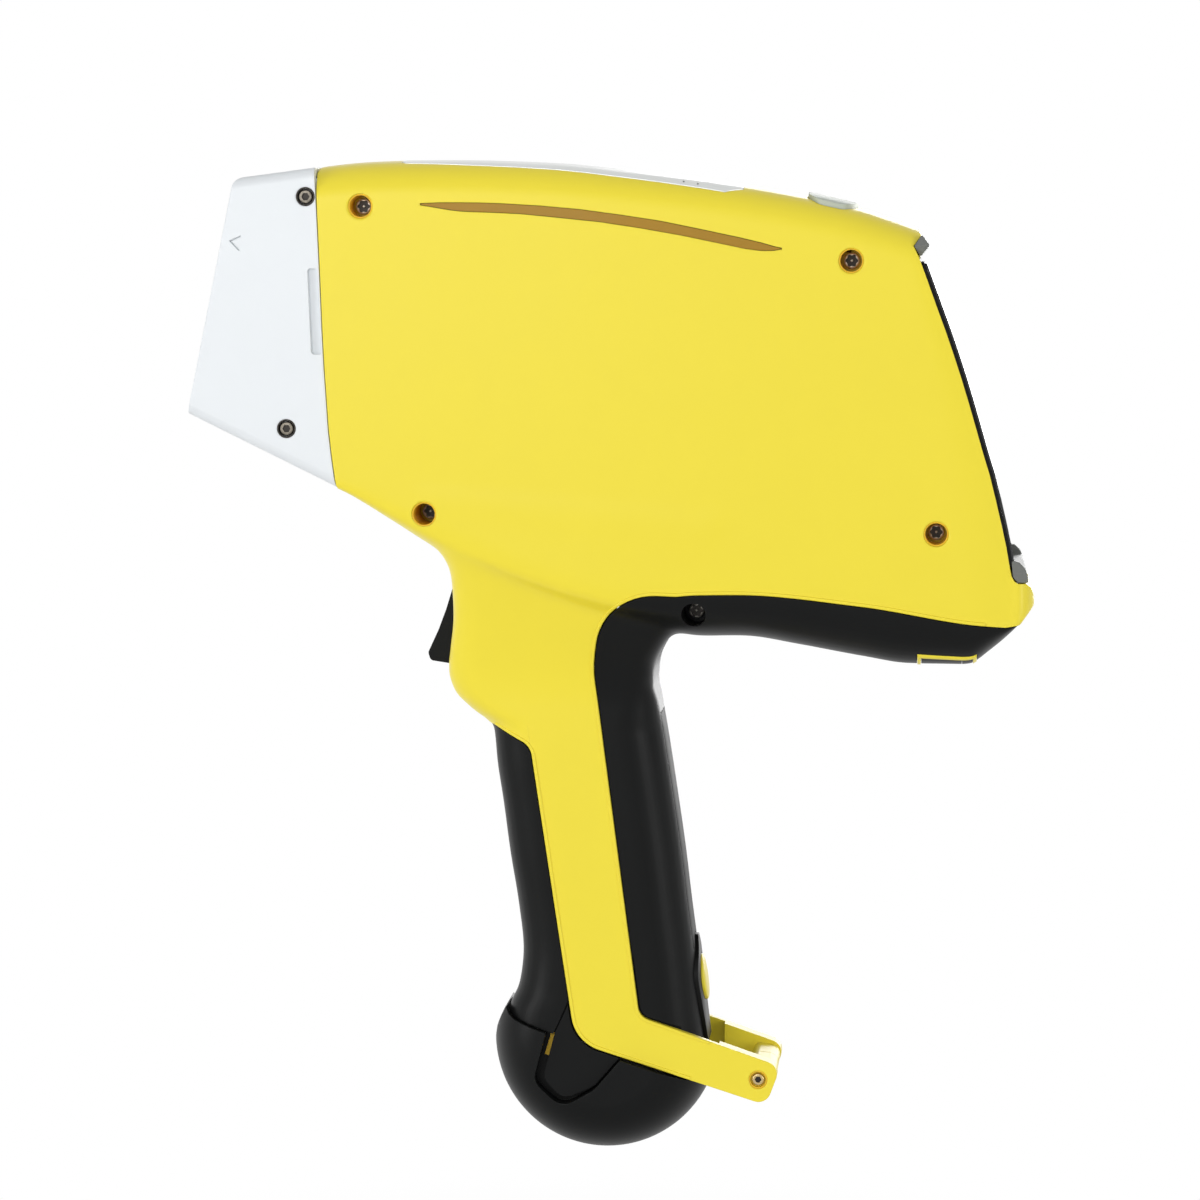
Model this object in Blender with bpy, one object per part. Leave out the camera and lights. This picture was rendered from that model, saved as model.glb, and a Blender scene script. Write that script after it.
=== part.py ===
"""Handheld X-ray fluorescence analyzer, modelled as an assembly of separate pieces.

Units are metres. +Z is up, the measuring nose points along -X, the display faces +X
and the left side of the instrument faces -Y. The origin lies in the middle of the grip.
"""

import math

import bmesh
import bpy
import numpy as np
from mathutils import Matrix, Vector

# General clearances and wall thicknesses
GAP = 0.0003
WALL = 0.0025
COVER_WALL = 0.0023
CORE_WALL = 0.0018
PANEL_LINE = 0.0004
REACH = 0.2
ARC_STEPS = 4
INNER_ARC_STEPS = 3

# Main body
BODY_HALF_WIDTH = 0.0435
TOP_EDGE_RADIUS = 0.011
TOP_CREST_X = -0.043
TOP_CREST_Z = 0.2196
TOP_ARC_RADIUS = 0.495
TOP_CROWN = 0.0010
BODY_STATIONS = (
    -0.095, -0.078, -0.062, -0.050, -0.030, -0.003, 0.024, 0.036, 0.050,
    0.068, 0.088, 0.104, 0.122, 0.130, 0.1365, 0.141, 0.1432,
)
SIDE_EDGE = (
    (-0.095, 0.1236), (0.019, 0.0800), (0.036, 0.0816), (0.050, 0.0818),
    (0.088, 0.0784), (0.1275, 0.0724), (0.1432, 0.0716),
)
BELLY_LINE = (
    (-0.095, 0.1202), (-0.079, 0.1148), (-0.061, 0.1034), (-0.0484, 0.0945), (-0.030, 0.0870),
    (0.024, 0.0690), (0.036, 0.0662), (0.050, 0.0665), (0.068, 0.0640), (0.088, 0.0606),
    (0.104, 0.0584), (0.122, 0.0584), (0.130, 0.0636), (0.1365, 0.0697), (0.1432, 0.0785),
)
BELLY_FLAT = (
    (-0.095, 0.0400), (-0.079, 0.0390), (-0.061, 0.0300), (-0.048, 0.0200),
    (0.036, 0.0200), (0.104, 0.0250), (0.130, 0.0270), (0.1432, 0.0340),
)

# Joint between the body and the nose, and the nose itself
JOINT_TOP_X = -0.0845
JOINT_BOTTOM_X = -0.0780
JOINT_TOP_Z = 0.2180
JOINT_BOTTOM_Z = 0.1140
NOSE_FRONT_TOP = (-0.1114, 0.2135)
NOSE_FRONT_BOTTOM = (-0.1270, 0.1385)
NOSE_TOP_SLOPE = 0.130
NOSE_BOTTOM_SLOPE = -0.484
NOSE_TAPER = 0.050
NOSE_EDGE_RADIUS = 0.0038
NOSE_WALL = 0.0030
NOSE_PLATE_THICKNESS = 0.0020
NOSE_FACE_THICKNESS = 0.0032
NOSE_RIM = 0.0012
NOSE_OVERLAP = 0.0200
WINDOW_RADIUS = 0.0090
WINDOW_FILM_THICKNESS = 0.0005
WINDOW_STEP = 0.0008
WINDOW_SEAT = 0.0030
WINDOW_RING_WIDTH = 0.0055
WINDOW_RING_THICKNESS = 0.0030
WINDOW_RING_LIP = 0.0010
WINDOW_CLEAR = 0.0060

# Handle: the front and rear lines of the neck and grip, from the body downwards
HANDLE_HALF_WIDTH = 0.0215
NECK_WIDE_Z = 0.104
NECK_NARROW_Z = 0.044
FRONT_LINE = (
    (-0.0600, 0.1160), (-0.0500, 0.0965), (-0.0462, 0.0860), (-0.0452, 0.0740),
    (-0.0452, 0.0640), (-0.0464, 0.0545), (-0.0448, 0.0475), (-0.0395, 0.0415),
    (-0.0328, 0.0352), (-0.0316, 0.0235), (-0.0296, 0.0103), (-0.0274, -0.0063),
    (-0.0247, -0.0229), (-0.0231, -0.0380), (-0.0244, -0.0496), (-0.0276, -0.0575),
    (-0.0290, -0.0700), (-0.0290, -0.0860),
)
REAR_LINE = (
    (0.0520, 0.1060), (0.0400, 0.0840), (0.0300, 0.0705), (0.0240, 0.0620),
    (0.0213, 0.0560), (0.0210, 0.0500), (0.0222, 0.0450), (0.0232, 0.0400),
    (0.0242, 0.0352), (0.0261, 0.0235), (0.0281, 0.0103), (0.0305, -0.0063),
    (0.0325, -0.0229), (0.0345, -0.0380), (0.0358, -0.0496), (0.0367, -0.0575),
    (0.0382, -0.0700), (0.0400, -0.0860),
)
NECK_CORNER_RADIUS = 0.0075
GRIP_CORNER_RADIUS = 0.0150
GRIP_TOP_Z = 0.0352
HANDLE_TILT = math.radians(8.2)

# Borders between the yellow shells and the black covers, as corners with a radius
STRIP_FRONT_TOP = (-0.0189, 0.0303)
STRIP_FRONT_BOTTOM = (-0.0043, -0.0660)
STRIP_REAR_TOP = (0.0016, 0.0560)
STRIP_REAR_BOTTOM = (0.0166, -0.0580)
COVER_FRONT_TIP = (-0.0310, 0.0364)
SEAM_TOP_Z = -0.0530
SEAM_END = (-0.0119, -0.0633)
COVER_CORNER = (0.0060, 0.0820)
COVER_CORNER_RADIUS = 0.020
COVER_LIP = (0.1275, 0.0724)
COVER_LIP_CORNER = (0.1400, 0.0665)
COVER_LIP_END_Z = 0.0640
BUMP_LEVEL = (-0.0600, 0.0455)
STRIP_JOIN_Z = 0.0300
STRIP_TOP_Z = 0.0370
HEEL_RADIUS = 0.0130
TIP_RADIUS = 0.0060
LOW_LEVEL = -0.1100

# Guard loop behind the battery foot
LOOP_END_TOP = (0.0622, -0.0732)
LOOP_END_BOTTOM = (0.0572, -0.0856)
LOOP_ARM_THICKNESS = 0.0065
LOOP_BAR_DEPTH = 0.0080
LOOP_BAR_LAP = 0.0010
LOOP_BAR_SINK = 0.0002
LOOP_BAR_RADIUS = 0.0034
LOOP_BAR_INNER_RADIUS = 0.0020
LOOP_CORNER_RADIUS = 0.0035
LOOP_INNER_RADIUS = 0.0050
LOOP_FRONT = 0.0425

# Battery pack and its foot
FOOT_CENTRE = (0.0045, -0.0680)
FOOT_RADIUS = 0.0373
FOOT_PROUD = 0.0025
FOOT_HALF_WIDTH = HANDLE_HALF_WIDTH + FOOT_PROUD
FOOT_STEPS = 5
FOOT_FLAT_RADIUS = 0.0170
FOOT_RIM = ((-0.0500, -0.0316), (-0.0129, -0.0623), (0.0097, -0.0718), (0.0600, -0.0872))
FOOT_NOTCH = (
    (-0.0129, -0.0623), (-0.0176, -0.0760), (-0.0096, -0.0856), (0.0010, -0.0812), (0.0097, -0.0718),
)
FOOT_NOTCH_RISE = (0.0040, 0.0120)
FOOT_NOTCH_FLOOR = HANDLE_HALF_WIDTH - 0.0047
TONGUE_OUTLINE = (
    (-0.0111, -0.0623), (-0.0152, -0.0758, 0.0040), (-0.0090, -0.0842, 0.0055), (0.0002, -0.0802, 0.0060),
    (0.0088, -0.0714), (0.0047, -0.0654),
)
TONGUE_SINK = 0.0008
WELL_FRONT_X = -0.0280
WELL_REAR_X = 0.0277
BATTERY_TOP_Z = 0.0180
BATTERY_PLAY = 0.0002
CONTACT_SIZE = (0.0180, 0.0140, 0.0020)

# Trigger
TRIGGER_PIVOT = (-0.0395, 0.0850)
TRIGGER_HALF_WIDTH = 0.0070
TRIGGER_PIN_RADIUS = 0.0015
TRIGGER_PIN_HALF_LENGTH = 0.0130
TRIGGER_BOSS_RADIUS = 0.0040
TRIGGER_OUTLINE = (
    (-0.0432, 0.0885, 0.0030), (-0.0460, 0.0800, 0.0), (-0.0480, 0.0735, 0.0), (-0.0505, 0.0668, 0.0),
    (-0.0540, 0.0592, 0.0015), (-0.0532, 0.0566, 0.0015), (-0.0380, 0.0543, 0.0015), (-0.0365, 0.0620, 0.0),
    (-0.0362, 0.0880, 0.0020),
)
TRIGGER_SLOT_X = (-0.0600, -0.0300)
TRIGGER_SLOT_BOTTOM = 0.0528
TRIGGER_SLOT_TOP = 0.0900

# Housing screws: place on the side, and how deep the head sits from the side face
SCREW_HOLE_RADIUS = 0.0041
SCREW_HEAD_RADIUS = 0.0025
SCREW_HEAD_LENGTH = 0.0030
SCREW_SHANK_RADIUS = 0.0015
SCREW_SOCKET_SHARE = 0.45
SCREW_TIP_Y = 0.0110
BOSS_RADIUS = 0.0062
BODY_SCREWS = {
    "upper_front": (-0.0707, 0.2046, 0.0120),
    "upper_rear": (0.0847, 0.1874, 0.0120),
    "lower_rear": (0.1119, 0.1015, 0.0140),
    "lower_front": (-0.0507, 0.1069, 0.0200),
}
COVER_SCREW = (0.0351, 0.0750)
COVER_SCREW_DEPTH = 0.0240
LOOP_SCREW = (0.0556, -0.0776)
LOOP_SCREW_HOLE_RADIUS = 0.0024
LOOP_SCREW_HEAD_RADIUS = 0.0020
LOOP_SCREW_DEPTH = 0.0020
LOOP_SCREW_HEAD_LENGTH = 0.0014
LOOP_SCREW_SHANK_RADIUS = 0.0010
LOOP_SCREW_TIP_Y = 0.0060
NOSE_SCREWS = {"upper": (-0.0882, 0.2076), "lower": (-0.0948, 0.1340)}
NOSE_SCREW_HOLE_RADIUS = 0.0030
NOSE_SCREW_HEAD_RADIUS = 0.0023
NOSE_SCREW_DEPTH = 0.0008
NOSE_SCREW_HEAD_LENGTH = 0.0014
NOSE_SCREW_SHANK_RADIUS = 0.0012
NOSE_SCREW_SHANK_LENGTH = 0.0050

# Top of the instrument
TOP_PLATE_FRONT = -0.0586
TOP_PLATE_REAR = 0.0504
TOP_PLATE_HALF_WIDTH = 0.0290
TOP_PLATE_POINT = 0.0120
TOP_PLATE_THICKNESS = 0.0010
LENS_FRONT = (-0.0513, 0.2049)
LENS_REAR = (0.0624, 0.1911)
LENS_RISE_ABOVE = 0.0042
LENS_RISE_BELOW = 0.0022
LENS_THICKNESS = 0.0026
LENS_TIP = 0.0004
LENS_BEVEL = 0.0040
LENS_BLUNT = 0.0004
LIGHT_BOARD_DROP = 0.0060
LIGHT_BOARD_WIDTH = 0.0085
BUTTON_FRONT = 0.0695
BUTTON_REAR = 0.0850
BUTTON_CORNER_RADIUS = 0.0030
BUTTON_HALF_WIDTH = 0.0075
BUTTON_PROUD = 0.0014
BUTTON_TRAVEL = 0.0008
BUTTON_BOARD_MARGIN = 0.0040

# Display on the rear face
DISPLAY_TOP = (0.1043, 0.1939)
DISPLAY_BOTTOM = (0.1349, 0.0933)
DISPLAY_LIP = (0.1371, 0.0848)
DISPLAY_FRAME_DEPTH = 0.0060
DISPLAY_CREST = (-0.0012, 0.0026)
GUARD_TOP = ((-0.0078, 0.0003), (-0.0038, 0.0040, 0.0006), (0.0002, 0.0030, 0.0012), (0.0019, 0.0003))
GUARD_LOW = (
    (-0.0012, 0.0003), (0.0004, 0.0030), (0.0068, 0.0045, 0.0006), (0.0092, 0.0034), (0.0083, 0.0003),
)
GUARD_ROOT = (-0.0040, 0.0010)
GUARD_ROOT_TOP = (-0.0072, -0.0010)
GUARD_ROOT_LOW = (-0.0014, 0.0030)
FRAME_SKIRT = 0.0040
FRAME_ROOT_INSET = 0.0020
BEZEL_TOP_GAP = 0.0082
BEZEL_LOW_GAP = 0.0022
BEZEL_INSET = 0.0006
SEAT_LIP = 0.0012
BEZEL_THICKNESS = 0.0017
GLASS_THICKNESS = 0.0007
SCREEN_MARGIN = 0.0080
OPENING_HALF_WIDTH = 0.0360
OPENING_LOW_MARGIN = 0.0080
OPENING_HIGH_MARGIN = 0.0120
PANEL_THICKNESS = 0.0032
DISPLAY_BOARD_LAP = 0.0020

# Port door under the belly
PORT_FRONT_X = 0.1062
PORT_REAR_X = 0.1216
PORT_HALF_WIDTH = 0.0190
PORT_DOOR_THICKNESS = 0.0016
PORT_TRIM_WIDTH = 0.0012
PORT_BLOCK_LAP = 0.0012
PORT_BLOCK_HEIGHT = 0.0087

# Latch at the back of the grip
LATCH_TOP_Z = -0.0339
LATCH_WIDE_Z = -0.0440
LATCH_BOTTOM_Z = -0.0680
LATCH_HALF_WIDTH = 0.0125
LATCH_TIP_HALF_WIDTH = 0.0045
LATCH_FOOT_HALF_WIDTH = 0.0085
LATCH_BLOCK_X = (0.0200, 0.0550)
LATCH_PROUD = 0.0018
LATCH_BUTTON_Z = -0.0468
LATCH_BUTTON_HALF_HEIGHT = 0.0073
LATCH_BUTTON_HALF_WIDTH = 0.0050
LATCH_BUTTON_PROUD = 0.0032
LATCH_TRAVEL = 0.0012
PALM_HALF_WIDTH = 0.0095
PALM_THICKNESS = 0.0011
PALM_TOP_Z = 0.0400

# Instrument inside
CHASSIS_Y = 0.0180
CHASSIS_THICKNESS = 0.0020
CHASSIS_OUTLINE = (
    (-0.0770, 0.1220), (-0.0620, 0.1120), (-0.0440, 0.1000), (0.0950, 0.1000), (0.0950, 0.1840),
    (0.0400, 0.2000), (-0.0770, 0.2000),
)
FRAME_RING_FRONT = 0.0180
FRAME_RING_WALL = 0.0050
HEAD_FRONT = 0.0058
HEAD_REAR = 0.0320
HEAD_HALF_WIDTH = 0.0240
HEAD_LOW = -0.0240
HEAD_HIGH = 0.0260
HEAD_FLANGE_FRONT = 0.0200
HEAD_FLANGE_THICKNESS = 0.0030
TUBE_TILT = math.radians(15.0)
TUBE_RADIUS = 0.0125
TUBE_COLLAR_RADIUS = 0.0145
TUBE_COLLAR_LENGTH = 0.0030
TUBE_START = 0.0260
TUBE_END = 0.0740
BEAM_RADIUS = 0.0050
CLAMP_START = 0.0500
CLAMP_LENGTH = 0.0100
CLAMP_HALF_HEIGHT = 0.0155
DETECTOR_TILT = math.radians(-33.0)
DETECTOR_RADIUS = 0.0080
DETECTOR_START = 0.0280
DETECTOR_END = 0.0560
WHEEL_DISTANCE = 0.0200
WHEEL_OFFSET = 0.0100
WHEEL_RADIUS = 0.0130
WHEEL_THICKNESS = 0.0012
WHEEL_HOLES = 6
WHEEL_HOLE_RADIUS = 0.0026
WHEEL_HOLE_REACH = 0.0090
MOTOR_RADIUS = 0.0060
MOTOR_LENGTH = 0.0035
CAMERA_SIZE = (0.0090, 0.0070, 0.0090)
CAMERA_SETBACK = 0.0010
HV_LOW = (-0.0360, -0.0200, 0.1580)
HV_HIGH = (0.0300, 0.1980)
BOARD_THICKNESS = 0.0016
MAIN_BOARD_X = (-0.0380, 0.0750)
MAIN_BOARD_Z = (0.1120, 0.1790)
CHIPS = (
    ((-0.0300, 0.1200), (-0.0120, 0.1380), 0.0026), ((0.0000, 0.1300), (0.0260, 0.1560), 0.0034),
    ((0.0420, 0.1160), (0.0640, 0.1240), 0.0060), ((0.0420, 0.1500), (0.0560, 0.1640), 0.0024),
    ((-0.0260, 0.1560), (-0.0060, 0.1700), 0.0050),
)
POWER_BOARD_X = (0.0000, 0.0800)
POWER_BOARD_Z = 0.1040
POWER_BOARD_Y = -0.0300
HEAT_SINK_X = (-0.0400, 0.0300)
HEAT_SINK_Z = 0.2050
HEAT_SINK_HALF_WIDTH = 0.0240
HEAT_SINK_SLOTS = 5
HEAT_SINK_FIN_HEIGHT = 0.0030
BUZZER_PLACE = (0.0600, -0.0120)
BUZZER_RADIUS = 0.0070
BUZZER_HEIGHT = 0.0060
SWITCH_PLACE = (-0.0280, 0.0660)
SWITCH_SIZE = (0.0070, 0.0080, 0.0130)
SWITCH_POST_RADIUS = 0.0028

COLOURS = {
    "yellow": ((0.90, 0.74, 0.07), 0.45, 0.0),
    "black": ((0.018, 0.019, 0.020), 0.50, 0.0),
    "silver_paint": ((0.80, 0.83, 0.85), 0.35, 0.25),
    "brushed_plate": ((0.62, 0.64, 0.66), 0.32, 0.9),
    "amber": ((0.42, 0.22, 0.05), 0.30, 0.0),
    "grey": ((0.34, 0.36, 0.35), 0.50, 0.0),
    "button_grey": ((0.55, 0.60, 0.55), 0.50, 0.0),
    "glass": ((0.010, 0.011, 0.012), 0.06, 0.0),
    "steel": ((0.45, 0.44, 0.42), 0.30, 1.0),
    "aluminium": ((0.70, 0.71, 0.72), 0.35, 1.0),
    "board_green": ((0.03, 0.16, 0.07), 0.50, 0.0),
    "film": ((0.55, 0.32, 0.08), 0.15, 0.0),
    "copper": ((0.75, 0.42, 0.20), 0.30, 1.0),
}


def clear_scene():
    """Empty the scene of its objects."""
    for item in list(bpy.data.objects):
        bpy.data.objects.remove(item, do_unlink=True)


def make_collections():
    """Make the collection of pieces and the collection of cutting shapes."""
    parts = bpy.data.collections.new("xrf_analyzer")
    cutters = bpy.data.collections.new("cutters")
    bpy.context.scene.collection.children.link(parts)
    bpy.context.scene.collection.children.link(cutters)
    return parts, cutters


def make_materials():
    """Make one Principled material for each finish."""
    materials = {}
    for name, (rgb, roughness, metallic) in COLOURS.items():
        made = bpy.data.materials.new(name)
        made.use_nodes = True
        shader = made.node_tree.nodes["Principled BSDF"]
        shader.inputs["Base Color"].default_value = (*rgb, 1.0)
        shader.inputs["Roughness"].default_value = roughness
        shader.inputs["Metallic"].default_value = metallic
        materials[name] = made
    return materials


clear_scene()
PARTS, CUTTERS = make_collections()
MATERIALS = make_materials()


def as_part(obj, name, material):
    """Name a piece, give it its material and put it with the pieces."""
    obj.name = name
    obj.data.name = name
    own = MATERIALS[material].copy()
    own.name = name
    obj.data.materials.clear()
    obj.data.materials.append(own)
    obj.hide_render = False
    obj.display_type = "TEXTURED"
    for collection in list(obj.users_collection):
        collection.objects.unlink(obj)
    PARTS.objects.link(obj)
    for polygon in obj.data.polygons:
        polygon.use_smooth = True
    obj.data.set_sharp_from_angle(angle=math.radians(35.0))
    return obj


def as_cutter(obj):
    """Put a shape with the cutters, which are not pieces of the instrument."""
    obj.hide_render = True
    obj.display_type = "WIRE"
    for collection in list(obj.users_collection):
        collection.objects.unlink(obj)
    CUTTERS.objects.link(obj)
    return obj


def mesh_object(bm, name="shape"):
    """Turn a bmesh into an object among the cutters."""
    bmesh.ops.recalc_face_normals(bm, faces=bm.faces)
    mesh = bpy.data.meshes.new(name)
    bm.to_mesh(mesh)
    bm.free()
    return as_cutter(bpy.data.objects.new(name, mesh))


def box(low, high):
    """A box between two corners."""
    bm = bmesh.new()
    bmesh.ops.create_cube(bm, size=1.0)
    size = [b - a for a, b in zip(low, high)]
    middle = [(a + b) / 2 for a, b in zip(low, high)]
    bmesh.ops.scale(bm, vec=size, verts=bm.verts)
    bmesh.ops.translate(bm, vec=middle, verts=bm.verts)
    return mesh_object(bm)


def rod(start, end, radius, sides=16, end_radius=None):
    """A cylinder, or a cone where the end has its own radius, between two points."""
    start = Vector(start)
    end = Vector(end)
    along = end - start
    turn = along.to_track_quat("Z", "Y").to_matrix().to_4x4()
    bm = bmesh.new()
    bmesh.ops.create_cone(
        bm, cap_ends=True, segments=sides, radius1=radius,
        radius2=radius if end_radius is None else end_radius, depth=along.length,
        matrix=Matrix.Translation((start + end) / 2) @ turn,
    )
    return mesh_object(bm)


def rod_y(place, radius, y_start, y_end, sides=16):
    """A cylinder along Y at a place given in the side view."""
    return rod((place[0], y_start, place[1]), (place[0], y_end, place[1]), radius, sides)


def rounded(corners, step=math.radians(24.0)):
    """Points of a closed outline whose corners are given as (u, v, radius)."""
    points = []
    count = len(corners)
    for index, corner in enumerate(corners):
        here = Vector(corner[:2])
        radius = corner[2] if len(corner) > 2 else 0.0
        if radius <= 0.0:
            points.append(tuple(here))
            continue
        before = (Vector(corners[index - 1][:2]) - here).normalized()
        after = (Vector(corners[(index + 1) % count][:2]) - here).normalized()
        opening = before.angle(after)
        turn = math.pi - opening
        reach = radius / math.tan(opening / 2)
        centre = here + (before + after).normalized() * (radius / math.sin(opening / 2))
        first = here + before * reach - centre
        steps = max(1, math.ceil(turn / step))
        side = 1.0 if before.x * after.y - before.y * after.x < 0 else -1.0
        for k in range(steps + 1):
            angle = side * turn * k / steps
            cos, sin = math.cos(angle), math.sin(angle)
            turned = (first.x * cos - first.y * sin, first.x * sin + first.y * cos)
            points.append((centre.x + turned[0], centre.y + turned[1]))
    return points


def prism(outline, y_low, y_high):
    """A flat outline of the side view, given a thickness along Y."""
    curve = bpy.data.curves.new("outline", "CURVE")
    curve.dimensions = "2D"
    curve.fill_mode = "BOTH"
    curve.extrude = (y_high - y_low) / 2
    spline = curve.splines.new("POLY")
    spline.points.add(len(outline) - 1)
    for point, (x, z) in zip(spline.points, outline):
        point.co = (x, z, 0.0, 1.0)
    spline.use_cyclic_u = True
    flat = bpy.data.objects.new("outline", curve)
    CUTTERS.objects.link(flat)
    middle = Matrix.Translation((0, (y_low + y_high) / 2, 0))
    flat.matrix_world = middle @ Matrix.Rotation(math.pi / 2, 4, "X")
    bpy.context.view_layer.update()
    solid = frozen(flat)
    bpy.data.objects.remove(flat, do_unlink=True)
    return solid


def frozen(source):
    """A plain mesh copy of an object as it stands, in world space, with its caps welded."""
    bpy.context.view_layer.update()
    graph = bpy.context.evaluated_depsgraph_get()
    mesh = bpy.data.meshes.new_from_object(source.evaluated_get(graph), depsgraph=graph)
    mesh.transform(source.matrix_world)
    bm = bmesh.new()
    bm.from_mesh(mesh)
    bmesh.ops.remove_doubles(bm, verts=bm.verts, dist=1e-6)
    return mesh_object(bm)


def loft(rings):
    """A closed solid through rings that have the same number of points."""
    bm = bmesh.new()
    rows = [[bm.verts.new(point) for point in ring] for ring in rings]
    count = len(rows[0])
    for low, high in zip(rows, rows[1:]):
        for k in range(count):
            bm.faces.new((low[k], low[(k + 1) % count], high[(k + 1) % count], high[k]))
    bm.faces.new(rows[0])
    bm.faces.new(rows[-1])
    return mesh_object(bm)


def boolean(target, other, operation):
    """Add a Boolean modifier to a shape and keep the other shape as its cutter."""
    modifier = target.modifiers.new(operation.lower(), "BOOLEAN")
    modifier.operation = operation
    modifier.solver = "EXACT"
    modifier.object = as_cutter(other)
    return target


def cut(target, *others):
    """Take the other shapes away from the target."""
    for other in others:
        boolean(target, other, "DIFFERENCE")
    return target


def join(target, *others):
    """Add the other shapes to the target as one solid."""
    for other in others:
        boolean(target, other, "UNION")
    return target


def keep(target, other):
    """Keep only what the target shares with the other shape."""
    return boolean(target, other, "INTERSECT")


def set_origin(obj, point):
    """Move an object's origin to a point and leave its shape where it is."""
    obj.data.transform(Matrix.Translation(-Vector(point)))
    obj.location = point
    return obj


def line_z(line, x):
    """Height of a broken line at x."""
    return float(np.interp(x, [p[0] for p in line], [p[1] for p in line]))


def top_z(x):
    """Height of the body's top line, a shallow arc."""
    return TOP_CREST_Z - (x - TOP_CREST_X) ** 2 / (2 * TOP_ARC_RADIUS)


def arc_steps(inset):
    """Steps of a rounded corner: fine on the outside, coarser on the surfaces inside the walls."""
    return ARC_STEPS if inset < WALL / 2 else INNER_ARC_STEPS


def half_outline_to_ring(half, x):
    """Mirror a half section (y, z) and stand it in the plane at x."""
    left = [(x, -y, z) for y, z in reversed(half[1:-1])]
    return [(x, y, z) for y, z in half] + left


def body_ring(x, inset):
    """Section of the main body at x, drawn inwards by inset."""
    top = top_z(x) - inset
    side = BODY_HALF_WIDTH - inset
    radius = TOP_EDGE_RADIUS - inset
    edge = line_z(SIDE_EDGE, x)
    low = line_z(BELLY_LINE, x) + inset
    edge = max(edge, low + 0.001)
    flat = line_z(BELLY_FLAT, x) - inset
    shoulder = side - radius
    steps = arc_steps(inset)
    half = [(0.0, top), (shoulder / 2, top - TOP_CROWN / 4)]
    for k in range(steps + 1):
        angle = math.pi / 2 * (1 - k / steps)
        drop = TOP_CROWN + radius * (1 - math.sin(angle))
        half.append((shoulder + radius * math.cos(angle), top - drop))
    for k in range(steps + 1):
        angle = math.pi / 2 * k / steps
        half.append((flat + (side - flat) * math.cos(angle), edge - (edge - low) * math.sin(angle)))
    half.append((0.0, low))
    return half_outline_to_ring(half, x)


def body_solid(inset):
    """The main body's envelope, drawn inwards by inset, ending at the joint and the display."""
    solid = loft([body_ring(x, inset) for x in BODY_STATIONS])
    cut(solid, prism(front_region(0.0), -REACH, REACH))
    cut(solid, prism(display_region(), -REACH, REACH))
    return frozen(solid)


def front_region(shift):
    """Outline of everything in front of the nose joint, moved back by shift."""
    slope = (JOINT_TOP_X - JOINT_BOTTOM_X) / (JOINT_TOP_Z - JOINT_BOTTOM_Z)
    high = JOINT_TOP_X + slope * (REACH * 1.5 - JOINT_TOP_Z) + shift
    low = JOINT_BOTTOM_X + slope * (0.0 - JOINT_BOTTOM_Z) + shift
    return [(-REACH, 0.0), (low, 0.0), (high, REACH * 1.5), (-REACH, REACH * 1.5)]


def display_region():
    """Outline of the space behind the display seat and above the rear lip."""
    back = DISPLAY_LIP[0]
    crest = DISPLAY_TOP[0] + DISPLAY_CREST[0]
    return [
        (crest, REACH * 1.5), (crest, DISPLAY_TOP[1] + DISPLAY_CREST[1]), DISPLAY_TOP, DISPLAY_BOTTOM,
        DISPLAY_LIP, (back + REACH, DISPLAY_LIP[1] + PANEL_LINE), (back + REACH, REACH * 1.5),
    ]


def handle_width(z):
    """Half width of the neck and grip at the height z of its rear line."""
    share = min(1.0, max(0.0, (z - NECK_NARROW_Z) / (NECK_WIDE_Z - NECK_NARROW_Z)))
    smooth = share * share * (3 - 2 * share)
    return HANDLE_HALF_WIDTH + (BODY_HALF_WIDTH - HANDLE_HALF_WIDTH) * smooth


def handle_ring(front, rear, inset):
    """Rounded rectangle between a front point and a rear point of the side view."""
    front = Vector((front[0], 0.0, front[1]))
    rear = Vector((rear[0], 0.0, rear[1]))
    along = rear - front
    length = along.length
    along.normalize()
    mean = (front.z + rear.z) / 2
    width = handle_width(mean) - inset
    blend = min(1.0, max(0.0, (mean - GRIP_TOP_Z) / (NECK_NARROW_Z - GRIP_TOP_Z + 0.012)))
    radius = GRIP_CORNER_RADIUS + (NECK_CORNER_RADIUS - GRIP_CORNER_RADIUS) * blend - inset
    ring = []
    corners = (
        (length - inset - radius, width - radius, 0.0), (inset + radius, width - radius, 90.0),
        (inset + radius, radius - width, 180.0), (length - inset - radius, radius - width, 270.0),
    )
    steps = arc_steps(inset)
    for s, y, start in corners:
        for k in range(steps + 1):
            angle = math.radians(start + 90.0 * k / steps)
            place = front + along * (s + radius * math.cos(angle))
            ring.append((place.x, y + radius * math.sin(angle), place.z))
    return ring


def handle_solid(inset, first=0):
    """The neck and grip from a section downwards, drawn inwards by inset."""
    pairs = list(zip(FRONT_LINE, REAR_LINE))[first:]
    return loft([handle_ring(front, rear, inset) for front, rear in pairs])


def envelope(inset):
    """Body, neck and grip as one solid."""
    return frozen(join(body_solid(inset), handle_solid(inset)))


def cavity(inset, clearance=0.0):
    """The hollow inside the envelope, which runs out through the nose joint, the display and the foot."""
    body = loft([body_ring(x, inset) for x in BODY_STATIONS])
    cut(body, box((DISPLAY_LIP[0] - SEAT_LIP - clearance, -REACH, 0.0), (REACH, REACH, REACH * 1.5)))
    rings = [handle_ring(front, rear, inset) for front, rear in zip(FRONT_LINE, REAR_LINE)]
    run_out = Vector((REAR_LINE[-1][0] - REAR_LINE[-2][0], 0.0, REAR_LINE[-1][1] - REAR_LINE[-2][1]))
    rings.append([tuple(Vector(point) + run_out) for point in rings[-1]])
    return frozen(join(body, loft(rings)))


def offset_line(points, shift):
    """Move a line of points by a shift."""
    return [(x + shift[0], z + shift[1]) for x, z in points]


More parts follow.
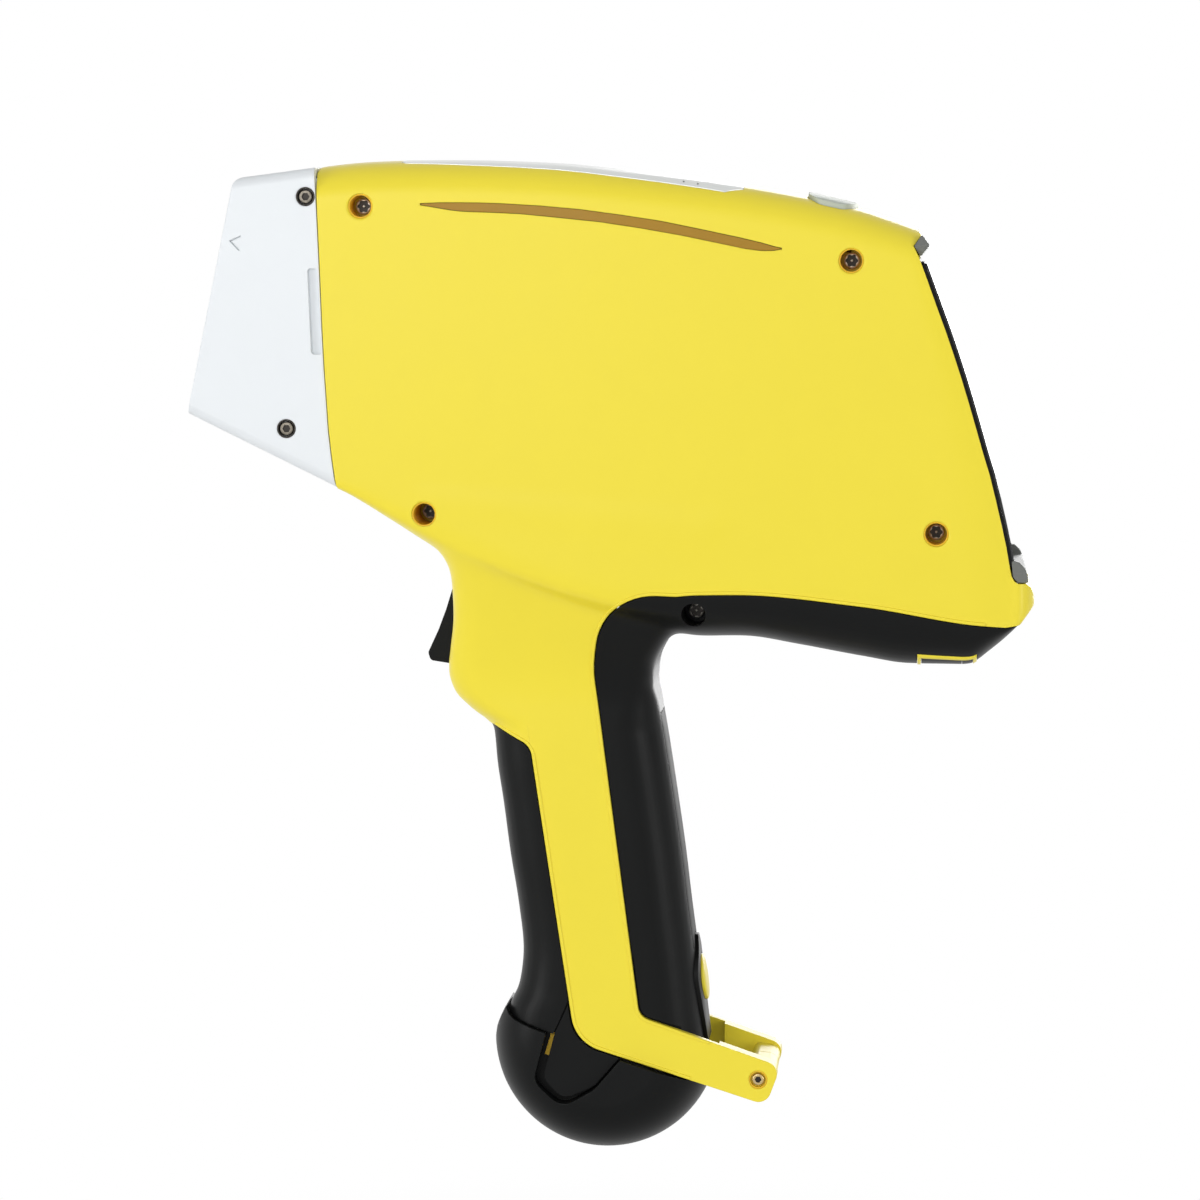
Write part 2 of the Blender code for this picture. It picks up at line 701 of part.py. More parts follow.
def shell_region():
    """Side outline that the yellow shells cover, down to the top of the side strips."""
    corners = [(-REACH, REACH * 1.5), (REACH, REACH * 1.5), (REACH, COVER_LIP_END_Z), COVER_LIP_CORNER]
    corners += cover_edge()[::-1]
    corners += [
        (*COVER_CORNER, COVER_CORNER_RADIUS), STRIP_REAR_TOP, (strip_rear_x(STRIP_JOIN_Z), STRIP_JOIN_Z),
        (STRIP_FRONT_TOP[0] + GAP, STRIP_JOIN_Z), (*STRIP_FRONT_TOP, TIP_RADIUS),
        COVER_FRONT_TIP, BUMP_LEVEL, (-REACH, BUMP_LEVEL[1]),
    ]
    return rounded(corners)


def cover_edge():
    """Points of the side's lower edge where the yellow shells meet the rear cover."""
    start = COVER_CORNER[0] + COVER_CORNER_RADIUS
    return [point for point in SIDE_EDGE if start < point[0] <= COVER_LIP[0]]


def strip_front_x(z):
    """Front edge of the side strip at a height."""
    return along_line(STRIP_FRONT_TOP, STRIP_FRONT_BOTTOM, z)


def strip_rear_x(z):
    """Rear edge of the side strip at a height."""
    return along_line(STRIP_REAR_TOP, STRIP_REAR_BOTTOM, z)


def along_line(high, low, z):
    """X at a height on the straight line through two points of the side view."""
    return high[0] + (low[0] - high[0]) * (z - high[1]) / (low[1] - high[1])


def strip_outline(grow=0.0):
    """Side strip of the handle with the arm of the guard loop, grown by grow."""
    return rounded([
        (strip_rear_x(STRIP_TOP_Z) + grow, STRIP_TOP_Z),
        (STRIP_REAR_BOTTOM[0] + grow, STRIP_REAR_BOTTOM[1] + grow, LOOP_INNER_RADIUS - grow),
        (LOOP_END_TOP[0] + grow, LOOP_END_TOP[1] + grow, LOOP_CORNER_RADIUS),
        (LOOP_END_BOTTOM[0] + grow, LOOP_END_BOTTOM[1] - grow, LOOP_CORNER_RADIUS),
        (STRIP_FRONT_BOTTOM[0] - grow, STRIP_FRONT_BOTTOM[1] - grow, HEEL_RADIUS),
        (strip_front_x(STRIP_TOP_Z) - grow, STRIP_TOP_Z),
    ])


def below_loop_region():
    """Side outline below the upper edge of the loop's arm and behind the strip's front edge."""
    high = SEAM_TOP_Z / 2
    play = 2 * GAP
    return rounded([
        (STRIP_FRONT_BOTTOM[0], high), (strip_rear_x(high) + play, high),
        (STRIP_REAR_BOTTOM[0] + play, STRIP_REAR_BOTTOM[1] + play, LOOP_INNER_RADIUS - play),
        (LOOP_END_TOP[0] + GAP, LOOP_END_TOP[1] + play), (LOOP_END_TOP[0], LOW_LEVEL),
        (STRIP_FRONT_BOTTOM[0], LOW_LEVEL),
    ])


def rim_region(lift):
    """Side outline of everything above the foot's rim, lifted by a clearance."""
    rim = offset_line(FOOT_RIM, (0.0, lift))
    return [rim[0], *rim[1:], (REACH, rim[-1][1]), (REACH, REACH), (-REACH, REACH), (-REACH, rim[0][1])]


def housing(side):
    """One yellow shell: side is -1 for the left half and +1 for the right half."""
    shell = frozen(OUTER)
    cut(shell, frozen(INNER))
    low, high = sorted((side * GAP / 2, side * REACH))
    keep(shell, prism(shell_region(), low, high))
    join(shell, side_strip(side))
    posts = [(place, BOSS_RADIUS, GAP / 2) for place in BODY_SCREWS.values()]
    posts.append((TRIGGER_PIVOT, TRIGGER_BOSS_RADIUS, TRIGGER_HALF_WIDTH + 2 * GAP))
    posts.append((SWITCH_PLACE, SWITCH_POST_RADIUS, SWITCH_SIZE[1] / 2 + GAP))
    for place, radius, start in posts:
        join(shell, post(place, radius, side * start, side * REACH, MIDWALL))
    pin_end = side * (TRIGGER_PIN_HALF_LENGTH + GAP)
    cut(shell, rod_y(TRIGGER_PIVOT, TRIGGER_PIN_RADIUS + GAP, 0.0, pin_end, 12))
    cut(shell, trigger_slot())
    cut_top_recesses(shell, side)
    drill_screw_holes(shell, side)
    return shell


def post(place, radius, y_start, y_end, limit):
    """Round post along Y that ends inside the wall, at the surface of the limiting solid."""
    return frozen(keep(rod_y(place, radius, y_start, y_end, 12), frozen(limit)))


def side_strip(side):
    """Strip on the side of the grip with the loop's thicker arm and half of the cross bar."""
    inner_face = side * (HANDLE_HALF_WIDTH - LOOP_ARM_THICKNESS)
    strip = prism(strip_outline(), *sorted((inner_face, side * HANDLE_HALF_WIDTH)))
    thin = side * (HANDLE_HALF_WIDTH - WALL)
    low, high = sorted((0.0, thin))
    cut(strip, box((-REACH, low, -REACH), (LOOP_FRONT, high, REACH)))
    bar = prism(bar_outline(), *sorted((side * GAP / 2, inner_face + side * LOOP_BAR_LAP)))
    return frozen(join(strip, bar))


def bar_outline():
    """Cross bar at the end of the loop, in the side view."""
    front_low = (LOOP_END_BOTTOM[0] - LOOP_BAR_DEPTH, LOOP_END_BOTTOM[1] + 2 * LOOP_BAR_LAP)
    front_top = (LOOP_END_TOP[0] - LOOP_BAR_DEPTH - 2 * LOOP_BAR_LAP, LOOP_END_TOP[1] + LOOP_BAR_LAP)
    sink = LOOP_BAR_SINK
    return rounded([
        (*front_top, LOOP_BAR_INNER_RADIUS),
        (LOOP_END_TOP[0] - sink, LOOP_END_TOP[1] - sink, LOOP_BAR_RADIUS),
        (LOOP_END_BOTTOM[0] - sink, LOOP_END_BOTTOM[1] + sink, LOOP_BAR_RADIUS),
        (*front_low, LOOP_BAR_INNER_RADIUS),
    ])


def trigger_slot():
    """Opening in the front of the neck for the trigger."""
    half = TRIGGER_HALF_WIDTH + 2 * GAP
    return box((TRIGGER_SLOT_X[0], -half, TRIGGER_SLOT_BOTTOM), (TRIGGER_SLOT_X[1], half, TRIGGER_SLOT_TOP))


def cut_top_recesses(shell, side):
    """Recesses for the top plate, the side light and the top button."""
    cut(shell, top_plate_solid(GAP))
    low, high = sorted((side * (BODY_HALF_WIDTH - 4 * WALL), side * (BODY_HALF_WIDTH + 4 * WALL)))
    cut(shell, prism(lens_outline(GAP), low, high))
    cut(shell, button_block(GAP, REACH, -4 * WALL))


def drill_screw_holes(shell, side):
    """Deep screw recesses on the left, threaded posts on the right."""
    if side < 0:
        for x, z, depth in BODY_SCREWS.values():
            head_seat = -(BODY_HALF_WIDTH - depth)
            cut(shell, rod_y((x, z), SCREW_HOLE_RADIUS, -REACH, head_seat, 16))
            cut(shell, rod_y((x, z), SCREW_SHANK_RADIUS + GAP, -REACH, REACH, 10))
        loop_seat = -(HANDLE_HALF_WIDTH - LOOP_SCREW_DEPTH)
        cut(shell, rod_y(LOOP_SCREW, LOOP_SCREW_HOLE_RADIUS, -REACH, loop_seat, 14))
        cut(shell, rod_y(LOOP_SCREW, LOOP_SCREW_SHANK_RADIUS + GAP, -REACH, REACH, 10))
    else:
        for place in BODY_SCREWS.values():
            cut(shell, rod_y(place, SCREW_SHANK_RADIUS + GAP, -WALL, SCREW_TIP_Y + GAP, 10))
        cut(shell, rod_y(LOOP_SCREW, LOOP_SCREW_SHANK_RADIUS + GAP, -WALL, LOOP_SCREW_TIP_Y + GAP, 10))


def socket_screw(place, head, shank, seat, tip_y):
    """Screw along Y: head is (radius, length), shank its radius, seat the Y under the head."""
    radius, length = head
    side = -1 if seat < 0 else 1
    screw = rod_y(place, radius, seat + side * length, seat + side * GAP, 14)
    join(screw, rod_y(place, shank, seat + side * length / 2, tip_y, 10))
    cut(screw, rod_y(place, radius * SCREW_SOCKET_SHARE, seat + side * length / 2, side * REACH, 6))
    return screw


def make_body_screws():
    """The screws that hold the two shells together."""
    head = (SCREW_HEAD_RADIUS, SCREW_HEAD_LENGTH)
    for name, (x, z, depth) in BODY_SCREWS.items():
        screw = socket_screw((x, z), head, SCREW_SHANK_RADIUS, -(BODY_HALF_WIDTH - depth), SCREW_TIP_Y)
        as_part(screw, f"housing_screw_{name}", "steel")
    seat = -(HANDLE_HALF_WIDTH - LOOP_SCREW_DEPTH)
    head = (LOOP_SCREW_HEAD_RADIUS, LOOP_SCREW_HEAD_LENGTH)
    screw = socket_screw(LOOP_SCREW, head, LOOP_SCREW_SHANK_RADIUS, seat, LOOP_SCREW_TIP_Y)
    as_part(screw, "loop_screw", "steel")


def black_shell():
    """The black cover's shell before it is trimmed to its region."""
    shell = envelope(PANEL_LINE)
    return frozen(cut(shell, cavity(PANEL_LINE + COVER_WALL)))


def rear_cover_region():
    """Side outline of the belly and the rear of the grip."""
    low = LOW_LEVEL
    corners = [(strip_rear_x(low) + GAP, low), (STRIP_REAR_TOP[0] + GAP, STRIP_REAR_TOP[1])]
    corners.append((COVER_CORNER[0] + GAP, COVER_CORNER[1] - GAP, COVER_CORNER_RADIUS))
    corners += offset_line([*cover_edge(), COVER_LIP_CORNER, (REACH, COVER_LIP_END_Z)], (0.0, -GAP))
    corners.append((REACH, low))
    return rounded(corners)


def rear_cover():
    """Belly and rear grip in one black moulding."""
    cover = black_shell()
    keep(cover, prism(rear_cover_region(), -REACH, REACH))
    keep(cover, prism(rim_region(GAP), -REACH, REACH))
    flank = HANDLE_HALF_WIDTH - WALL - GAP
    for low, high in ((-REACH, -flank), (flank, REACH)):
        cut(cover, prism(below_loop_region(), low, high))
    middle = envelope(PANEL_LINE + COVER_WALL / 2)
    for side in (-1, 1):
        join(cover, post(COVER_SCREW, BOSS_RADIUS, side * GAP / 2, side * REACH, middle))
    screw_seat = -(BODY_HALF_WIDTH - COVER_SCREW_DEPTH)
    cut(cover, rod_y(COVER_SCREW, SCREW_HOLE_RADIUS, -REACH, screw_seat, 16))
    cut(cover, rod_y(COVER_SCREW, SCREW_SHANK_RADIUS + GAP, -REACH, SCREW_TIP_Y + GAP, 10))
    cut(cover, port_block(GAP, -4 * WALL))
    half = PALM_HALF_WIDTH + GAP
    recess = box((0.0, -half, LATCH_TOP_Z - WALL), (REACH, half, PALM_TOP_Z + GAP))
    cut(recess, handle_solid(PANEL_LINE + PALM_THICKNESS + GAP))
    cut(cover, recess)
    cut(cover, latch_shield(GAP))
    return as_part(cover, "rear_cover", "black")


def cover_screw():
    """Screw that pulls the rear cover together behind the grip."""
    seat = -(BODY_HALF_WIDTH - COVER_SCREW_DEPTH)
    head = (SCREW_HEAD_RADIUS, SCREW_HEAD_LENGTH)
    screw = socket_screw(COVER_SCREW, head, SCREW_SHANK_RADIUS, seat, SCREW_TIP_Y)
    return as_part(screw, "cover_screw", "steel")


def palm_strip():
    """Soft strip down the middle of the rear grip."""
    strip = handle_solid(PANEL_LINE)
    cut(strip, handle_solid(PANEL_LINE + PALM_THICKNESS))
    keep(strip, box((0.0, -PALM_HALF_WIDTH, LATCH_TOP_Z), (REACH, PALM_HALF_WIDTH, PALM_TOP_Z)))
    cut(strip, latch_shield(GAP))
    return as_part(strip, "palm_strip", "black")


def latch_shield(grow):
    """Shield-shaped outline of the latch cover, as a block along X."""
    tip = LATCH_TIP_HALF_WIDTH + grow
    wide = LATCH_HALF_WIDTH + grow
    foot = LATCH_FOOT_HALF_WIDTH + grow
    top = LATCH_TOP_Z + grow
    low = LATCH_BOTTOM_Z - grow
    outline = rounded([
        (-tip, top, 0.0030), (tip, top, 0.0030), (wide, LATCH_WIDE_Z, 0.0100), (foot, low, 0.0020),
        (-foot, low, 0.0020), (-wide, LATCH_WIDE_Z, 0.0100),
    ])
    block = prism(outline, *LATCH_BLOCK_X)
    block.data.transform(Matrix.Rotation(math.pi / 2, 4, "Z").inverted())
    return block


def latch_axis():
    """Direction square to the rear of the grip, pointing outwards."""
    return Vector((math.cos(HANDLE_TILT), 0.0, math.sin(HANDLE_TILT)))


def latch_oval(grow, start, end):
    """Oval block of the latch button along its own axis, from start to end beyond the grip's rear."""
    rear_x = float(np.interp(-LATCH_BUTTON_Z, [-p[1] for p in REAR_LINE], [p[0] for p in REAR_LINE]))
    bm = bmesh.new()
    bmesh.ops.create_cone(bm, cap_ends=True, segments=24, radius1=1.0, radius2=1.0, depth=1.0)
    size = (LATCH_BUTTON_HALF_HEIGHT + grow, LATCH_BUTTON_HALF_WIDTH + grow, end - start)
    bmesh.ops.scale(bm, vec=size, verts=bm.verts)
    turn = Matrix.Rotation(math.pi / 2 - HANDLE_TILT, 4, "Y")
    centre = Vector((rear_x, 0.0, LATCH_BUTTON_Z)) + latch_axis() * (start + end) / 2
    bmesh.ops.transform(bm, matrix=Matrix.Translation(centre) @ turn, verts=bm.verts)
    return mesh_object(bm)


def latch_cover():
    """Black latch housing, proud of the grip's rear."""
    cover = handle_solid(-LATCH_PROUD)
    cut(cover, handle_solid(WALL))
    keep(cover, latch_shield(0.0))
    keep(cover, prism(rim_region(GAP), -REACH, REACH))
    cut(cover, latch_oval(GAP, -4 * WALL, 4 * WALL))
    return as_part(cover, "latch_cover", "black")


def latch_button():
    """Yellow oval that frees the battery."""
    button = latch_oval(0.0, -WALL + LATCH_TRAVEL + GAP, LATCH_BUTTON_PROUD)
    return as_part(button, "latch_button", "yellow")


def front_grip():
    """Black cover around the front of the grip."""
    grip = frozen(handle_solid(PANEL_LINE))
    cut(grip, handle_solid(PANEL_LINE + COVER_WALL))
    seam_top = (strip_front_x(SEAM_TOP_Z) - GAP, SEAM_TOP_Z)
    region = rounded([
        (BUMP_LEVEL[0], BUMP_LEVEL[1] - GAP), (COVER_FRONT_TIP[0], COVER_FRONT_TIP[1] - GAP),
        (STRIP_FRONT_TOP[0] - GAP, STRIP_FRONT_TOP[1] - GAP, TIP_RADIUS), seam_top, SEAM_END,
        (SEAM_END[0], LOW_LEVEL), (BUMP_LEVEL[0], LOW_LEVEL),
    ])
    keep(grip, prism(region, -REACH, REACH))
    keep(grip, prism(rim_region(GAP), -REACH, REACH))
    return as_part(grip, "front_grip", "black")


def handle_core():
    """Battery well inside the grip."""
    core = frozen(handle_solid(WALL + GAP, first=8))
    keep(core, prism(rim_region(GAP), -REACH, REACH))
    cut(core, handle_solid(WALL + GAP + CORE_WALL, first=9))
    return as_part(core, "handle_core", "black")


def foot_body():
    """Rounded body of the foot, turned about Y."""
    profile = [(0.0, FOOT_HALF_WIDTH)]
    for k in range(FOOT_STEPS + 1):
        angle = math.pi / 2 * k / FOOT_STEPS
        reach = FOOT_FLAT_RADIUS + (FOOT_RADIUS - FOOT_FLAT_RADIUS) * math.sin(angle)
        profile.append((reach, FOOT_HALF_WIDTH * math.cos(angle)))
    profile += [(r, -y) for r, y in reversed(profile[:-1])]
    bm = bmesh.new()
    points = [bm.verts.new((r, y, 0.0)) for r, y in profile]
    edges = [bm.edges.new(pair) for pair in zip(points, points[1:])]
    bmesh.ops.spin(
        bm, geom=points + edges, cent=(0, 0, 0), axis=(0, 1, 0), angle=2 * math.pi,
        steps=6 * FOOT_STEPS, use_merge=True,
    )
    bmesh.ops.remove_doubles(bm, verts=bm.verts, dist=1e-6)
    bmesh.ops.translate(bm, vec=(FOOT_CENTRE[0], 0.0, FOOT_CENTRE[1]), verts=bm.verts)
    return mesh_object(bm)


def foot_tongue(side):
    """Tongue that fills most of the notch and runs up under the cover's seam."""
    outer = side * (HANDLE_HALF_WIDTH - TONGUE_SINK)
    inner = side * (HANDLE_HALF_WIDTH - WALL)
    top = (strip_front_x(SEAM_TOP_Z) + GAP, SEAM_TOP_Z - GAP)
    outline = rounded([top, *TONGUE_OUTLINE])
    tongue = prism(outline, *sorted((side * (FOOT_NOTCH_FLOOR - WALL), outer)))
    cut(tongue, prism(rim_region(-GAP), *sorted((0.0, inner))))
    return frozen(cut(tongue, prism(strip_outline(2 * GAP), *sorted((0.0, side * REACH)))))


def battery_foot():
    """Foot of the battery, cut to its rim, with a notch and a tongue on each side."""
    foot = foot_body()
    keep(foot, prism(foot_region(), -REACH, REACH))
    front, low_front, low, low_rear, rear = FOOT_NOTCH
    notch = rounded([
        (front[0], front[1] + FOOT_NOTCH_RISE[0]), (*low_front, 0.0040), (*low, 0.0060), (*low_rear, 0.0070),
        rear, (rear[0], rear[1] + FOOT_NOTCH_RISE[1]),
    ])
    for side in (-1, 1):
        cut(foot, prism(notch, *sorted((side * FOOT_NOTCH_FLOOR, side * REACH))))
    foot = frozen(foot)
    for side in (-1, 1):
        join(foot, foot_tongue(side))
    return as_part(foot, "battery_foot", "black")


def foot_region():
    """Side outline of everything below the foot's rim."""
    return [*FOOT_RIM, (REACH, FOOT_RIM[-1][1]), (REACH, -REACH), (-REACH, -REACH), (-REACH, FOOT_RIM[0][1])]


def battery_pack():
    """Straight battery block that slides in the well above the foot."""
    inset = WALL + 2 * GAP + CORE_WALL + BATTERY_PLAY
    rings = []
    for z in (BATTERY_TOP_Z, LOW_LEVEL):
        drift = z * math.tan(HANDLE_TILT)
        rings.append(handle_ring((WELL_FRONT_X - drift, z), (WELL_REAR_X - drift, z), inset))
    pack = loft(rings)
    keep(pack, prism(rim_region(GAP), -REACH, REACH))
    return as_part(pack, "battery_pack", "black")


def nose_top_z(x):
    """Top line of the nose."""
    return NOSE_FRONT_TOP[1] + NOSE_TOP_SLOPE * (x - NOSE_FRONT_TOP[0])


def nose_bottom_z(x):
    """Bottom line of the nose."""
    return NOSE_FRONT_BOTTOM[1] + NOSE_BOTTOM_SLOPE * (x - NOSE_FRONT_BOTTOM[0])


def nose_ring(x, inset):
    """Section of the nose at x, drawn inwards by inset."""
    top = nose_top_z(x) - inset
    low = nose_bottom_z(x) + inset
    side = BODY_HALF_WIDTH - inset - NOSE_TAPER * max(0.0, JOINT_BOTTOM_X - x)
    radius = max(0.0008, NOSE_EDGE_RADIUS - inset)
    half = [(0.0, top)]
    steps = arc_steps(inset)
    for k in range(steps + 1):
        angle = math.pi / 2 * (1 - k / steps)
        half.append((side - radius + radius * math.cos(angle), top - radius * (1 - math.sin(angle))))
    for k in range(steps + 1):
        angle = math.pi / 2 * k / steps
        half.append((side - radius + radius * math.cos(angle), low + radius * (1 - math.sin(angle))))
    half.append((0.0, low))
    return half_outline_to_ring(half, x)


def nose_front_region(back):
    """Side outline of everything in front of the nose's front face, moved back by a distance."""
    slope = (NOSE_FRONT_TOP[0] - NOSE_FRONT_BOTTOM[0]) / (NOSE_FRONT_TOP[1] - NOSE_FRONT_BOTTOM[1])
    tilt = math.atan(slope)
    shift = back / math.cos(tilt)
    low = NOSE_FRONT_BOTTOM[0] - slope * NOSE_FRONT_BOTTOM[1] + shift
    high = NOSE_FRONT_TOP[0] + slope * (REACH * 1.5 - NOSE_FRONT_TOP[1]) + shift
    return [(-REACH, 0.0), (low, 0.0), (high, REACH * 1.5), (-REACH, REACH * 1.5)]


def behind_joint_region(shift):
    """Side outline of everything behind the nose joint."""
    front = front_region(shift)
    return [front[1], (REACH, 0.0), (REACH, REACH * 1.5), front[2]]


def nose_envelope(inset, front, rear):
    """Block of the nose between its front face moved back by front and the joint moved by rear."""
    solid = loft([nose_ring(x, inset) for x in (-0.1400, -0.1100, -0.0700)])
    cut(solid, prism(nose_front_region(front), -REACH, REACH))
    cut(solid, prism(behind_joint_region(rear), -REACH, REACH))
    return frozen(solid)


def nose_axis():
    """Direction square to the front face, pointing out of the nose."""
    tilt = math.atan2(NOSE_FRONT_TOP[0] - NOSE_FRONT_BOTTOM[0], NOSE_FRONT_TOP[1] - NOSE_FRONT_BOTTOM[1])
    return Vector((-math.cos(tilt), 0.0, math.sin(tilt)))


def window_centre():
    """Middle of the front face."""
    return Vector((
        (NOSE_FRONT_TOP[0] + NOSE_FRONT_BOTTOM[0]) / 2, 0.0, (NOSE_FRONT_TOP[1] + NOSE_FRONT_BOTTOM[1]) / 2,
    ))


def nose_rod(radius, start, end, sides=24):
    """A round shape on the window's axis, from start to end behind the front face."""
    centre = window_centre()
    axis = nose_axis()
    return rod(centre - axis * start, centre - axis * end, radius, sides)


def nose_pieces():
    """Nose housing, its front plate and the measuring window."""
    plate_back = NOSE_PLATE_THICKNESS + GAP
    shell = nose_envelope(0.0, 0.0, -GAP)
    recess = nose_envelope(NOSE_RIM, -NOSE_OVERLAP, 0.0)
    cut(shell, frozen(keep(recess, prism(nose_front_region(plate_back), -REACH, REACH))))
    cut(shell, nose_envelope(NOSE_WALL, plate_back + NOSE_FACE_THICKNESS, NOSE_OVERLAP))
    cut(shell, nose_rod(WINDOW_RADIUS + WINDOW_CLEAR, -NOSE_OVERLAP, plate_back + 2 * NOSE_FACE_THICKNESS))
    for x, z in NOSE_SCREWS.values():
        for side in (-1, 1):
            seat = side * nose_screw_seat(x)
            cut(shell, rod_y((x, z), NOSE_SCREW_HOLE_RADIUS, seat, side * REACH, 14))
            cut(shell, rod_y((x, z), NOSE_SCREW_SHANK_RADIUS + GAP, seat / 2, side * REACH, 10))
    as_part(shell, "nose_housing", "silver_paint")
    nose_window_pieces(plate_back)


def nose_window_pieces(plate_back):
    """Front plate, the film behind its opening and the ring that holds the film."""
    plate = nose_envelope(NOSE_RIM + GAP, 0.0, 0.0)
    keep(plate, prism(nose_front_region(NOSE_PLATE_THICKNESS), -REACH, REACH))
    cut(plate, nose_rod(WINDOW_RADIUS, -NOSE_OVERLAP, NOSE_OVERLAP))
    step = NOSE_PLATE_THICKNESS - WINDOW_STEP
    cut(plate, nose_rod(WINDOW_RADIUS + WINDOW_SEAT, step, NOSE_OVERLAP))
    as_part(plate, "nose_plate", "silver_paint")
    film_front = step + GAP
    film = nose_rod(WINDOW_RADIUS + WINDOW_SEAT - GAP, film_front, film_front + WINDOW_FILM_THICKNESS)
    as_part(film, "window_film", "film")
    ring_front = film_front + WINDOW_FILM_THICKNESS + GAP
    ring = nose_rod(WINDOW_RADIUS + WINDOW_RING_WIDTH, ring_front, ring_front + WINDOW_RING_THICKNESS)
    cut(ring, nose_rod(WINDOW_RADIUS - WINDOW_RING_LIP, -NOSE_OVERLAP, NOSE_OVERLAP))
    cut(ring, prism(nose_front_region(plate_back), -REACH, REACH))
    as_part(ring, "window_ring", "aluminium")


def nose_side_y(x):
    """Half width of the nose at x."""
    return BODY_HALF_WIDTH - NOSE_TAPER * max(0.0, JOINT_BOTTOM_X - x)


def nose_screw_seat(x):
    """Distance from the middle plane to the face under a nose screw's head."""
    return nose_side_y(x) - NOSE_SCREW_DEPTH - NOSE_SCREW_HEAD_LENGTH


def nose_screws():
    """Four screws that hold the nose to the ring frame inside it."""
    for name, (x, z) in NOSE_SCREWS.items():
        for side, label in ((-1, "left"), (1, "right")):
            seat = side * nose_screw_seat(x)
            tip = seat - side * NOSE_SCREW_SHANK_LENGTH
            head = (NOSE_SCREW_HEAD_RADIUS, NOSE_SCREW_HEAD_LENGTH)
            screw = socket_screw((x, z), head, NOSE_SCREW_SHANK_RADIUS, seat, tip)
            as_part(screw, f"nose_screw_{name}_{label}", "steel")


def top_plate_half_width(x, grow):
    """Half width of the top plate, which narrows to blunt points at its ends."""
    ends = min(x - (TOP_PLATE_FRONT - grow), (TOP_PLATE_REAR + grow) - x)
    share = min(1.0, max(0.0, ends / TOP_PLATE_POINT))
    return (TOP_PLATE_HALF_WIDTH + grow) * (0.55 + 0.45 * share)


def top_plate_solid(grow):
    """Silver plate set into the top of the body, following its arc and crown."""
    rings = []
    stations = [TOP_PLATE_FRONT - grow, TOP_PLATE_FRONT + TOP_PLATE_POINT]
    count = 6
    span = TOP_PLATE_REAR - TOP_PLATE_FRONT - 2 * TOP_PLATE_POINT
    stations += [TOP_PLATE_FRONT + TOP_PLATE_POINT + span * k / count for k in range(1, count + 1)]
    stations += [TOP_PLATE_REAR + grow]
    for x in stations:
        width = top_plate_half_width(x, grow)
        upper = top_z(x) + GAP + (0.004 if grow else 0.0)
        lower = top_z(x) - TOP_PLATE_THICKNESS - grow
        shoulder = BODY_HALF_WIDTH - TOP_EDGE_RADIUS
        half = []
        for y in (0.0, width / 2, width):
            half.append((y, upper - TOP_CROWN * (y / shoulder) ** 2))
        for y in (width, width / 2, 0.0):
            half.append((y, lower - TOP_CROWN * (y / shoulder) ** 2))
        rings.append(half_outline_to_ring(half, x))
    return loft(rings)


def arc_between(first, last, rise, count):
    """Points of a shallow arc from first to last, bulging up by rise."""
    first = Vector(first)
    last = Vector(last)
    normal = Vector((first.y - last.y, last.x - first.x)).normalized()
    points = []
    for k in range(count + 1):
        share = k / count
        lift = rise * 4 * share * (1 - share)
        points.append(tuple(first.lerp(last, share) + normal * lift))
    return points


def lens_outline(grow):
    """Slender crescent of the side light."""
    front = LENS_FRONT[0] - 2 * grow
    rear = LENS_REAR[0] + 2 * grow
    heel = LENS_REAR[0] - LENS_BEVEL + grow
    upper = arc_between((front, LENS_FRONT[1] + grow), (rear, LENS_REAR[1] + grow), LENS_RISE_ABOVE, 10)
    upper.append((rear, LENS_REAR[1] - LENS_BLUNT - grow))
    low_front = (front, LENS_FRONT[1] - LENS_TIP - grow)
    low_rear = (heel, LENS_REAR[1] - LENS_TIP - LENS_BLUNT - grow)
    return upper + arc_between(low_front, low_rear, LENS_RISE_BELOW, 10)[::-1]


def side_lights():
    """A crescent light and its circuit strip on each side."""
    outer = BODY_HALF_WIDTH - PANEL_LINE / 2
    back = outer - LENS_THICKNESS - GAP
    ends = offset_line((LENS_FRONT, LENS_REAR), (0.0, -LIGHT_BOARD_DROP))
    arc = arc_between(ends[0], ends[1], LENS_RISE_ABOVE, 4)
    board_outline = ends + offset_line(arc[::-1], (0.0, LIGHT_BOARD_WIDTH))
    for side, label in ((-1, "left"), (1, "right")):
        lens = prism(lens_outline(0.0), *sorted((side * (outer - LENS_THICKNESS), side * outer)))
        as_part(lens, f"light_lens_{label}", "amber")
        board = prism(board_outline, *sorted((side * (back - BOARD_THICKNESS), side * back)))
        as_part(board, f"light_board_{label}", "board_green")


def button_angle():
    """Slope of the body's top line at the button."""
    middle = (BUTTON_FRONT + BUTTON_REAR) / 2
    return math.atan((middle - TOP_CREST_X) / TOP_ARC_RADIUS)


def button_block(grow, up, down):
    """Rounded block on the top button's axis, from down to up measured from the top surface."""
    end = (BUTTON_REAR - BUTTON_FRONT) / 2 + grow
    half = BUTTON_HALF_WIDTH + grow
    corners = ((-end, -half), (end, -half), (end, half), (-end, half))
    outline = rounded([(*corner, BUTTON_CORNER_RADIUS) for corner in corners])
    block = prism(outline, down, up)
    block.data.transform(Matrix.Rotation(-math.pi / 2, 4, "X"))
    block.data.transform(Matrix.Rotation(math.pi, 4, "X"))
    middle = (BUTTON_FRONT + BUTTON_REAR) / 2
    place = Matrix.Translation((middle, 0.0, top_z(middle))) @ Matrix.Rotation(button_angle(), 4, "Y")
    block.data.transform(place)
    return block


def button_axis():
    """Outward direction of the top button."""
    angle = button_angle()
    return Vector((math.sin(angle), 0.0, math.cos(angle)))


def top_button():
    """Grey button on the top, with a seat below it for its switch."""
    button = button_block(0.0, BUTTON_PROUD, BUTTON_TRAVEL - WALL)
    return as_part(button, "top_button", "button_grey")


